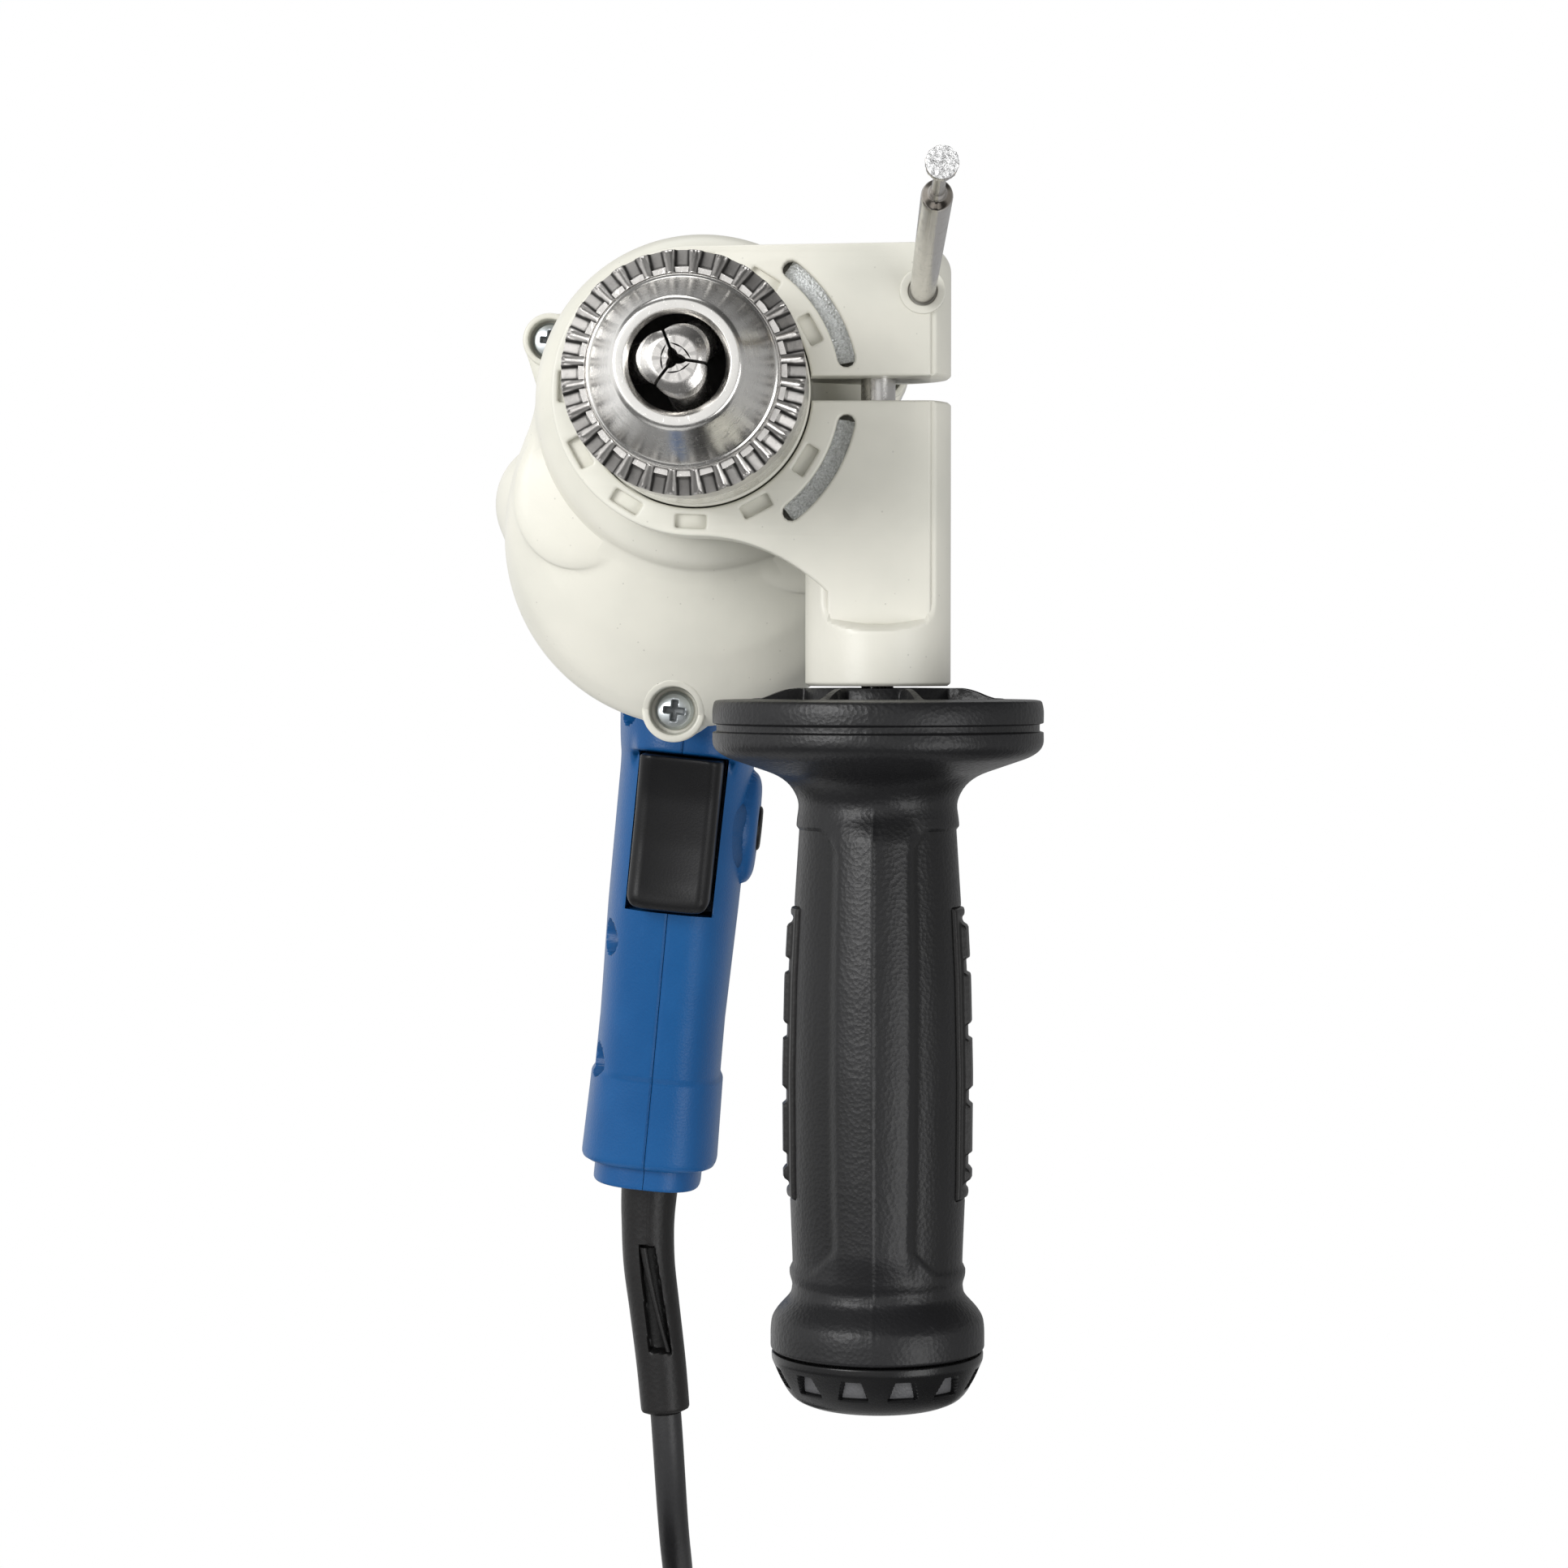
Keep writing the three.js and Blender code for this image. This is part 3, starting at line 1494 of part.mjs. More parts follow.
function buildHandle() {
  const whole = housingSolid();
  add(drill, 'housing_left', housingHalf(whole, -1), blue);
  add(drill, 'housing_right', housingHalf(whole, 1), blue);
  for (const [name, place] of Object.entries(caseScrewPlaces)) {
    add(drill, `case_screw_${name}`, caseScrewSolid(place), zinc);
  }
  add(drill, 'trigger', triggerSolid(), black);
  add(drill, 'switch_body', switchSolid(), black);
  const button = rod('x', power.lockRadius, power.lockInner, power.lockOuter, cells.medium);
  add(drill, 'lock_button', at(button, 0, power.lockY, power.lockZ), black);
  const capacitorBottom = power.capacitorTop - power.capacitorLength;
  const capacitor = rod('z', power.capacitorRadius, capacitorBottom, power.capacitorTop, cells.medium);
  add(drill, 'capacitor', at(capacitor, 0, power.capacitorY, 0), castMetal);
  const clampBottom = sleeve.collarTop + gap;
  const halfWidth = power.clampWidth / 2;
  const halfDepth = power.clampDepth / 2;
  const cordClamp = cut(
    box(
      [-halfWidth, sleeve.y - halfDepth, clampBottom],
      [halfWidth, sleeve.y + halfDepth, clampBottom + power.clampHeight],
    ),
    at(rod('z', cord.diameter / 2, clampBottom - overrun, clampBottom + power.clampHeight + overrun,
      cells.small), 0, sleeve.y, 0),
  );
  add(drill, 'cord_clamp', cordClamp, black);
}

// Clamp, depth rod and side handle, which lean a little from the plane of the grip

const clampGroup = new THREE.Group();
clampGroup.rotation.y = radians(clamp.lean);
drill.add(clampGroup);

function band(radius, width, from, to, steps) {
  const outer = arc(0, 0, radius + width / 2, from, to, steps);
  const inner = arc(0, 0, radius - width / 2, to, from, steps);
  return [...outer, ...inner];
}

function onColumn(shape) {
  return at(geometryOf(shape), clamp.columnX, clamp.columnY, 0);
}

function hexagon(radius) {
  const sides = 6;
  return arc(0, 0, radius, 0, 360 - 360 / sides, sides - 1);
}

function clampSolid() {
  const c = clamp;
  const outline = arc(0, 0, c.ringRadius, 90, 270, cells.small);
  const steps = cells.tiny;
  for (let i = 1; i <= steps; i += 1) {
    const share = i / steps;
    const drop = c.archDrop * share ** c.archPowerShare;
    outline.push([c.archX * share, -c.ringRadius - drop]);
  }
  outline.push([c.columnX, -c.ringRadius - c.archDrop]);
  outline.push([c.columnX, c.top]);
  outline.push([0, c.top]);
  const block = frontPrism(outline, c.front, c.rear);
  const column = at(rod('z', c.columnRadius, c.bottom, c.top, cells.fine),
    c.columnX, c.columnY, 0);
  const right = c.columnX + c.columnRadius + chamfer;
  const corner = arc(right - c.cornerRadius, c.top - c.cornerRadius, c.cornerRadius, 0, 90, 4);
  const upper = frontPrism([
    [c.columnX - c.columnRadius, c.flatBottom],
    [right, c.flatBottom],
    ...corner,
    [c.columnX - c.columnRadius, c.top],
  ], c.front, c.rear);
  const far = 2 * c.columnRadius;
  const lower = box(
    [c.columnX - far, c.columnY - far, c.bottom],
    [c.columnX + far, c.columnY + far, c.flatBottom + chamfer],
  );
  let body = join(block, meet(column, upper), meet(column, lower));
  const collar = rod('y', c.collarRadius, c.front - c.collarProud, c.rear, cells.medium);
  body = join(body, at(collar, c.rodX, 0, c.rodZ));
  const boltTop = c.top + overrun;
  body = cut(
    body,
    rod('y', c.boreRadius, c.front - overrun, c.rear + overrun, cells.fine),
    box(
      [c.slotStart, c.front - overrun, c.slotBottom],
      [right + overrun, c.rear + overrun, c.slotTop],
    ),
    at(rod('z', c.boltHole, c.bottom - overrun, boltTop, cells.small), c.columnX, c.columnY, 0),
    at(topPrism(hexagon(c.hexRadius), c.top - c.hexDepth, boltTop), c.columnX, c.columnY, 0),
    at(rod('y', c.rodHole, c.front - overrun, c.rear + overrun, cells.small), c.rodX, 0, c.rodZ),
  );
  for (const side of [-1, 1]) {
    const window = band(c.windowRadius, c.windowWidth, side * c.windowStart, side * c.windowEnd,
      cells.tiny);
    body = cut(body, frontPrism(window, c.front - overrun, c.front + c.windowDepth));
  }
  for (let i = 0; i < c.notchCount; i += 1) {
    const notch = box(
      [c.notchRadius - c.notchWidth / 2, c.front - overrun, -c.notchLength / 2],
      [c.notchRadius + c.notchWidth / 2, c.front + c.notchDepth, c.notchLength / 2],
    );
    body = cut(body, notch.rotateY(-radians(c.notchFirst + i * c.notchSpacing)));
  }
  return body;
}

function insertSolid(side) {
  const floor = clamp.front + clamp.windowDepth - gap;
  const inset = THREE.MathUtils.radToDeg(gap / clamp.windowRadius);
  const outline = band(
    clamp.windowRadius,
    clamp.windowWidth - 2 * gap,
    side * (clamp.windowStart + inset),
    side * (clamp.windowEnd - inset),
    cells.tiny,
  );
  return frontPrism(outline, floor - insert.thickness, floor);
}

function boltSolid() {
  const headBottom = clamp.top - clamp.hexDepth + gap;
  const head = topPrism(hexagon(bolt.headRadius), headBottom, headBottom + bolt.headLength);
  return onColumn(join(head, rod('z', bolt.radius, bolt.bottom, headBottom + gap, cells.small)));
}

function handleNutSolid() {
  const bottom = handle.nutPocket + gap;
  const hex = topPrism(hexagon(handleNut.radius), bottom, bottom + handleNut.length);
  const hole = rod('z', bolt.radius + gap, bottom - overrun, bottom + handleNut.length + overrun,
    cells.small);
  return onColumn(cut(hex, hole));
}

function depthRodSolid() {
  const d = depthRod;
  const neckFront = d.shoulder - d.neckLength;
  const body = turned('y', [
    [d.tip, 0],
    [d.tip, d.tipRadius],
    [d.tip + d.tipThickness, d.tipRadius],
    [neckFront, d.neckRadius],
    [d.shoulder, d.neckRadius],
    [d.shoulder + d.radius, d.radius],
    [d.rear - chamfer, d.radius],
    [d.rear, d.radius - chamfer],
    [d.rear, 0],
  ], cells.medium);
  return at(body, clamp.rodX, 0, clamp.rodZ);
}

function padBand(inner, outer, halfAngle, low, high) {
  const points = [
    ...arc(0, 0, outer, -halfAngle, halfAngle, cells.tiny),
    ...arc(0, 0, inner, halfAngle, -halfAngle, cells.tiny),
  ];
  return topPrism(points, low, high);
}

function handleSolid() {
  const h = handle;
  const flangeTop = h.top - h.hubHeight;
  const radius = h.flangeRadius;
  let body = turned('z', [
    [h.top, 0],
    [h.top, h.hubRadius],
    [flangeTop, h.hubRadius + chamfer],
    [flangeTop, radius - 2 * chamfer],
    [flangeTop - 2 * chamfer, radius],
    [h.grooveTop, radius],
    [h.grooveTop, h.grooveRadius],
    [h.grooveBottom, h.grooveRadius],
    [h.grooveBottom, radius],
    [h.flangeBottom + chamfer, radius],
    [h.flangeBottom, radius - 2 * chamfer],
    [(h.flangeBottom + h.coneBottom) / 2, (radius + h.neckRadius) / 2],
    [h.coneBottom, h.neckRadius],
    [h.shoulderZ, h.shoulderRadius],
    [h.bellyTop, h.bellyTopRadius],
    [h.bellyZ, h.bellyRadius],
    [h.bellyBottom, h.bellyBottomRadius],
    [h.waistZ, h.waistRadius],
    [h.collarTop, h.collarRadius],
    [h.bottom, h.collarRadius],
    [h.bottom, 0],
  ], 2 * cells.small);
  const outer = h.bellyRadius + overrun;
  const inner = h.bellyRadius - pad.thickness;
  const inset = THREE.MathUtils.radToDeg(gap / inner);
  const recess = padBand(inner, outer, pad.halfAngle + inset, pad.bottom - gap, pad.top + gap);
  const halfChannel = h.channelWidth / 2;
  const channels = [];
  for (const side of [-1, 1]) {
    for (const face of [-1, 1]) {
      const x = side * h.channelX;
      const surface = Math.sqrt(h.bellyRadius ** 2 - h.channelX ** 2);
      const ends = [face * (surface - h.channelDepth), face * outer].sort((a, b) => a - b);
      channels.push(box(
        [x - halfChannel, ends[0], h.channelBottom],
        [x + halfChannel, ends[1], h.channelTop],
      ));
    }
  }
  const nutSpan = handleNut.radius + gap;
  return onColumn(cut(
    body,
    recess,
    recess.clone().rotateZ(Math.PI),
    topPrism(hexagon(nutSpan), h.nutPocket, h.top + overrun),
    rod('z', h.boreRadius, bolt.bottom - overrun, h.top, cells.small),
    ...channels,
  ));
}

function padSolid(side) {
  const inner = handle.bellyRadius - pad.thickness + gap;
  const outer = handle.bellyRadius + pad.proud;
  const shell = padBand(inner, outer, pad.halfAngle, pad.bottom, pad.top);
  if (side < 0) shell.rotateZ(Math.PI);
  return onColumn(shell);
}

function endCapSolid() {
  const e = endCap;
  let body = turned('z', [
    [e.top, 0],
    [e.top, e.radius],
    [e.shoulderZ, e.radius],
    [e.bottom + chamfer, e.bottomRadius],
    [e.bottom, e.bottomRadius - chamfer],
    [e.bottom, 0],
  ], 2 * e.windows);
  const lean = Math.atan2(e.radius - e.bottomRadius, e.shoulderZ - e.bottom);
  for (let i = 0; i < e.windows; i += 1) {
    const outline = [
      [-e.windowTopWidth / 2, e.windowTopZ],
      [-e.windowBottomWidth / 2, e.windowBottomZ],
      [e.windowBottomWidth / 2, e.windowBottomZ],
      [e.windowTopWidth / 2, e.windowTopZ],
    ];
    const middle = (e.windowTopZ + e.windowBottomZ) / 2;
    const face = e.radius - (e.shoulderZ - middle) * Math.tan(lean);
    const window = frontPrism(outline, -face - overrun, -face + e.windowDepth);
    window.rotateZ((2 * Math.PI * i) / e.windows);
    body = cut(body, window);
  }
  return onColumn(body);
}

function buildSideHandle() {
  add(clampGroup, 'clamp_body', clampSolid(), cream);
  add(clampGroup, 'clamp_insert_upper', insertSolid(1), castMetal);
  add(clampGroup, 'clamp_insert_lower', insertSolid(-1), castMetal);
  add(clampGroup, 'clamp_bolt', boltSolid(), steel);
  add(clampGroup, 'clamp_nut', handleNutSolid(), zinc);
  add(clampGroup, 'depth_rod', depthRodSolid(), chrome);
  add(clampGroup, 'side_handle', handleSolid(), black);
  add(clampGroup, 'grip_pad_left', padSolid(-1), rubber);
  add(clampGroup, 'grip_pad_right', padSolid(1), rubber);
  add(clampGroup, 'handle_end_cap', endCapSolid(), black);
}

// Mains lead

// A tube through the points, with a ring of corners square to the route at each of them.
function pipe(points, radii, sides) {
  const rings = points.map((point, i) => {
    const before = points[Math.max(i - 1, 0)];
    const after = points[Math.min(i + 1, points.length - 1)];
    const along = after.clone().sub(before).normalize();
    const first = new THREE.Vector3(1, 0, 0);
    first.addScaledVector(along, -first.dot(along)).normalize();
    const second = along.clone().cross(first);
    const radius = radii[i];
    return Array.from({ length: sides }, (_, k) => {
      const angle = (2 * Math.PI * k) / sides;
      const corner = point.clone();
      corner.addScaledVector(first, radius * Math.cos(angle));
      corner.addScaledVector(second, radius * Math.sin(angle));
      return corner.toArray();
    });
  });
  return loft(rings);
}

function sleeveSolid() {
  const s = sleeve;
  const path = new THREE.CatmullRomCurve3(
    s.path.map(([x, z]) => new THREE.Vector3(x, s.y, z)),
    false,
    'centripetal',
  );
  const points = path.getSpacedPoints(s.steps);
  const radii = points.map((_, i) => {
    const share = i / s.steps;
    if (share < s.waistAt) {
      return THREE.MathUtils.lerp(s.topRadius, s.waistRadius, share / s.waistAt);
    }
    return THREE.MathUtils.lerp(s.waistRadius, s.endRadius, (share - s.waistAt) / (1 - s.waistAt));
  });
  const tube = pipe(points, radii, s.sides);
  const collar = at(
    rod('z', s.collarRadius, s.collarTop - s.collarThickness, s.collarTop, cells.medium),
    s.path[0][0], s.y, 0,
  );
  const half = s.slotWidth / 2;
  const slotX = (z) => path.getPointAt(
    (s.path[0][1] - z) / (s.path[0][1] - s.path[s.path.length - 1][1]),
  ).x;
  const slot = frontPrism([
    [slotX(s.slotTop) - half, s.slotTop],
    [slotX(s.slotBottom) - half, s.slotBottom],
    [slotX(s.slotBottom) + half, s.slotBottom],
    [slotX(s.slotTop) + half, s.slotTop],
  ], s.y - 2 * s.topRadius, s.y - s.waistRadius + s.slotDepth);
  return cut(join(tube, collar), slot);
}

function leadGeometry() {
  const radius = cord.diameter / 2;
  const circle = arc(0, 0, radius, 0, 360 - 360 / cord.sides, cord.sides - 1);
  const section = new THREE.Shape(circle.map(([x, y]) => new THREE.Vector2(x, y)));
  const route = new THREE.CatmullRomCurve3(
    cord.lead.map((point) => new THREE.Vector3(...point)),
    false,
    'centripetal',
  );
  return new THREE.ExtrudeGeometry(section, { steps: cord.leadSteps, extrudePath: route });
}

// The coil winds inward and outward in turn, and steps to the next layer where it reverses.
function coilPoints() {
  const points = [];
  const turns = coil.layers * coil.turnsPerLayer;
  points.push(new THREE.Vector3(coil.x, coil.y + coil.outerRadius, coil.z + coil.run));
  for (let i = 0; i <= turns * coil.steps; i += 1) {
    const turn = i / coil.steps;
    const phase = turn % (2 * coil.turnsPerLayer);
    const inward = phase <= coil.turnsPerLayer ? phase : 2 * coil.turnsPerLayer - phase;
    let climbed = 0;
    for (let layer = 1; layer < coil.layers; layer += 1) {
      const reversal = layer * coil.turnsPerLayer;
      const share = (turn - reversal + coil.climbShare) / (2 * coil.climbShare);
      climbed += THREE.MathUtils.smoothstep(share, 0, 1);
    }
    const radius = coil.outerRadius - coil.pitch * inward;
    const angle = 2 * Math.PI * turn;
    points.push(new THREE.Vector3(
      coil.x - coil.pitch * climbed,
      coil.y + radius * Math.cos(angle),
      coil.z - radius * Math.sin(angle),
    ));
  }
  const last = points[points.length - 1];
  points.push(new THREE.Vector3(last.x, coil.y + coil.outerRadius, coil.z - coil.run));
  points.push(new THREE.Vector3(last.x, coil.y + coil.outerRadius, coil.z - coil.tail));
  return points;
}

function leastGap(points) {
  let least = Infinity;
  for (let i = 0; i < points.length; i += 1) {
    for (let k = i + coil.steps / 2; k < points.length; k += 1) {
      least = Math.min(least, points[i].distanceTo(points[k]));
    }
  }
  return least - cord.diameter;
}

function lengthOf(points) {
  let total = 0;
  for (let i = 1; i < points.length; i += 1) total += points[i].distanceTo(points[i - 1]);
  return total;
}

function tieSolid(points) {
  const xs = points.map((point) => point.x);
  const radius = cord.diameter / 2;
  const innerRadius = coil.outerRadius - coil.pitch * coil.turnsPerLayer - radius;
  const half = tie.width / 2;
  const bottom = coil.z + Math.sqrt(innerRadius ** 2 - half ** 2) - 2 * gap;
  const top = coil.z + coil.outerRadius + radius + 2 * gap;
  const left = Math.min(...xs) - radius - gap;
  const right = Math.max(...xs) + radius + gap;
  const t = tie.thickness;
  const outer = frontPrism(rectangle(left - t, right + t, bottom - t, top + t),
    coil.y - half, coil.y + half);
  const inner = frontPrism(rectangle(left, right, bottom, top),
    coil.y - half - overrun, coil.y + half + overrun);
  return cut(outer, inner);
}

function buildLead() {
  add(drill, 'cord_sleeve', sleeveSolid(), rubber);
  add(drill, 'cord_lead', leadGeometry(), rubber);
  const points = coilPoints();
  const radius = cord.diameter / 2;
  add(drill, 'cord_coil', pipe(points, points.map(() => radius), coil.sides), rubber);
  add(drill, 'cord_tie', tieSolid(points), black);
  const route = cord.lead.map((point) => new THREE.Vector3(...point));
  const total = lengthOf(route) + lengthOf(points);
  console.log(`coil: least gap to itself ${leastGap(points).toFixed(2)} mm`);
  console.log(`cord from sleeve to plug ${total.toFixed(0)} mm of ${cord.length} mm`);

  const end = points[points.length - 1];
  const neckTop = end.z - gap;
  const neckBottom = neckTop - plug.neckLength;
  const bodyBottom = neckBottom - plug.bodyLength;
  const half = plug.width / 2;
  const halfThick = plug.thickness / 2;
  const body = frontPrism([
    [-plug.neckRadius, neckBottom + chamfer],
    [-half, neckBottom - plug.bodyLength / 3],
    [-half + chamfer, bodyBottom],
    [half - chamfer, bodyBottom],
    [half, neckBottom - plug.bodyLength / 3],
    [plug.neckRadius, neckBottom + chamfer],
  ], -halfThick, halfThick);
  const neck = rod('z', plug.neckRadius, neckBottom - chamfer, neckTop, cells.medium);
  add(drill, 'plug_body', at(geometryOf(join(body, neck)), end.x, end.y, 0), rubber);
  for (const [side, name] of [[-1, 'left'], [1, 'right']]) {
    const pin = rod('z', plug.pinRadius, bodyBottom - gap - plug.pinLength, bodyBottom - gap,
      cells.small);
    const x = end.x + (side * plug.pinSpacing) / 2;
    add(drill, `plug_pin_${name}`, at(pin, x, end.y, 0), brass);
  }
}

buildDriveLine();
buildMotor();
buildHandle();
buildSideHandle();
buildLead();

export default group;
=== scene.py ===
"""A corded power drill with a keyed chuck, a clamp with its side handle and a depth rod, dressed over its CAD
frame.

Sizes are millimetres in the drill's own frame: the spindle runs along y through x = 0, z = 0, the chuck
points to -y, and y = 0 is near the front of the gearbox neck. in_row() turns them to metres in the row
frame."""

import math

import bmesh
import bpy
import numpy as np
from mathutils import Matrix, Vector
from mathutils.geometry import tessellate_polygon


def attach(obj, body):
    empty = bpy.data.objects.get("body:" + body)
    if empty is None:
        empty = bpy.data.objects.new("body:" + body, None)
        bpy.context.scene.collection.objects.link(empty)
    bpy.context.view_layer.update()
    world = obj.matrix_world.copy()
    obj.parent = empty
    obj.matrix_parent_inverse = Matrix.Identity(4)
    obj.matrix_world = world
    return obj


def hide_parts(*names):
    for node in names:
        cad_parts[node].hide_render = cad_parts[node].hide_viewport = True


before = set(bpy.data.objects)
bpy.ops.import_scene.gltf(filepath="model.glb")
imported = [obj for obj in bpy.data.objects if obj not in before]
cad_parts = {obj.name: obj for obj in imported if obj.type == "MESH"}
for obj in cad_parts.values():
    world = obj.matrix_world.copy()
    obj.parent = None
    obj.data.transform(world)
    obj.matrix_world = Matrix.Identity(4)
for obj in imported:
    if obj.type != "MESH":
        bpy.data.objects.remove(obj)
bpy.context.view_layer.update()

MM = 0.001
WELD = 4e-6
SLIVER = 1e-6
GRIP_CENTRE = np.array([0.0, 131.0, -125.0])
CLAMP_LEAN = math.radians(-6)
MOTOR_Z = -26.0
TURN = 2 * math.pi


# Places and outlines

def in_row(points):
    """Millimetres in the drill's own frame to metres in the row frame, whose origin is the middle of the
    grip."""
    return (np.asarray(points, float) - GRIP_CENTRE) * MM


def leaned(points):
    """Turns points of the upright clamp about the spindle: x cos - z sin, y, x sin + z cos, by the clamp's
    lean."""
    x, y, z = np.moveaxis(np.asarray(points, float), -1, 0)
    c, s = math.cos(-CLAMP_LEAN), math.sin(-CLAMP_LEAN)
    return np.stack([x * c - z * s, y, x * s + z * c], -1)


def step(low, high, value):
    """0 below low, 1 above high, and 3t^2 - 2t^3 between."""
    t = np.clip((np.asarray(value, float) - low) / (high - low), 0, 1)
    return t * t * (3 - 2 * t)


def hump(value, rising, risen, falling, fallen):
    """0 outside, 1 between risen and falling, and a smooth step up and down at the two ends."""
    return step(rising, risen, value) * (1 - step(falling, fallen, value))


def turns(count):
    """A row of angles, evenly spaced round a full turn."""
    return np.linspace(0, TURN, count, endpoint=False)[None]


def joined(x, y, z):
    """Points from three coordinates whose shapes fit one another."""
    return np.stack(np.broadcast_arrays(x, y, z), -1)


def unit(vectors):
    """Vectors scaled to a length of 1."""
    return vectors / np.linalg.norm(vectors, axis=-1, keepdims=True)


def boxed(value, power):
    """A sine or cosine raised to a power with its sign kept, which squares a circle off."""
    return np.sign(value) * np.abs(value) ** power


def arch(t):
    """The quarter circle that rises steeply from 0 and levels out at 1: the square root of 1 - (1 - t)^2."""
    t = np.clip(t, 0, 1)
    return np.sqrt(np.maximum(1 - (1 - t) ** 2, 0))


def molten(a, b, fillet):
    """The larger of a and b, with a fillet where they are close: max + max(fillet - |a - b|, 0)^2 / (4
    fillet)."""
    return np.maximum(a, b) + np.maximum(fillet - np.abs(a - b), 0) ** 2 / (4 * fillet)


def flowing(at, places, values, blur):
    """Straight lines through (places, values), averaged over a window of 2 blur with a hat-shaped weight."""
    offsets = np.linspace(-1, 1, 15)
    weights = 1 - np.abs(offsets) * 0.93
    order = np.argsort(places)
    xs = np.asarray(places, float)[order]
    ys = np.asarray(values, float)[order]
    spread = np.asarray(at, float)[..., None] + offsets * blur
    return (np.interp(spread, xs, ys) * weights).sum(-1) / weights.sum()


def rounded(corners, steps=4):
    """A line through corners (a, b, radius): each is a quadratic curve from radius before it to radius after
    it."""
    corners = [tuple(c) + (0,) * (3 - len(c)) for c in corners]
    points = []
    for i, (a, b, radius) in enumerate(corners):
        here = np.array([a, b], float)
        if radius <= 0 or i in (0, len(corners) - 1):
            points.append(here)
            continue
        ways = [np.array(corners[k][:2], float) - here for k in (i - 1, i + 1)]
        start, end = (here + unit(way) * min(radius, np.linalg.norm(way) / 2) for way in ways)
        t = np.linspace(0, 1, steps + 1)[:, None]
        points.extend((1 - t) ** 2 * start + 2 * t * (1 - t) * here + t * t * end)
    return np.array(points)


def closer(line, longest):
    """The same line with points added until no stretch is longer than longest."""
    line = np.asarray(line, float)
    gaps = np.linalg.norm(np.diff(line, axis=0), axis=1)
    counts = np.maximum(np.ceil(gaps / longest).astype(int), 1)
    starts = np.repeat(np.arange(len(gaps)), counts)
    firsts = np.repeat(np.cumsum(counts) - counts, counts)
    share = ((np.arange(counts.sum()) - firsts) / counts[starts])[:, None]
    points = line[starts] * (1 - share) + line[starts + 1] * share
    return np.vstack([points, line[-1:]])


def arc(x, z, radius, start, end, count):
    """Points on a circle about (x, z) from the start angle to the end angle, in degrees."""
    angle = np.radians(np.linspace(start, end, count))
    return np.stack([x + radius * np.cos(angle), z + radius * np.sin(angle)], -1)


def smooth_route(points, spacing):
    """A Catmull-Rom curve through points, taken at equal spacing along it."""
    points = np.asarray(points, float)
    padded = np.vstack([2 * points[0] - points[1], points, 2 * points[-1] - points[-2]])
    t = np.linspace(0, 1, 40, endpoint=False)[None, :, None]
    a, b, c, d = (padded[i:len(padded) - 3 + i, None, :] for i in range(4))
    curve = 0.5 * (2 * b + (c - a) * t + (2 * a - 5 * b + 4 * c - d) * t ** 2
                   + (3 * b - a - 3 * c + d) * t ** 3)
    curve = np.vstack([curve.reshape(-1, 3), points[-1:]])
    along = np.concatenate([[0], np.cumsum(np.linalg.norm(np.diff(curve, axis=0), axis=1))])
    even = np.linspace(0, along[-1], max(int(round(along[-1] / spacing)), 2) + 1)
    return np.stack([np.interp(even, along, curve[:, k]) for k in range(3)], -1)


# Surfaces

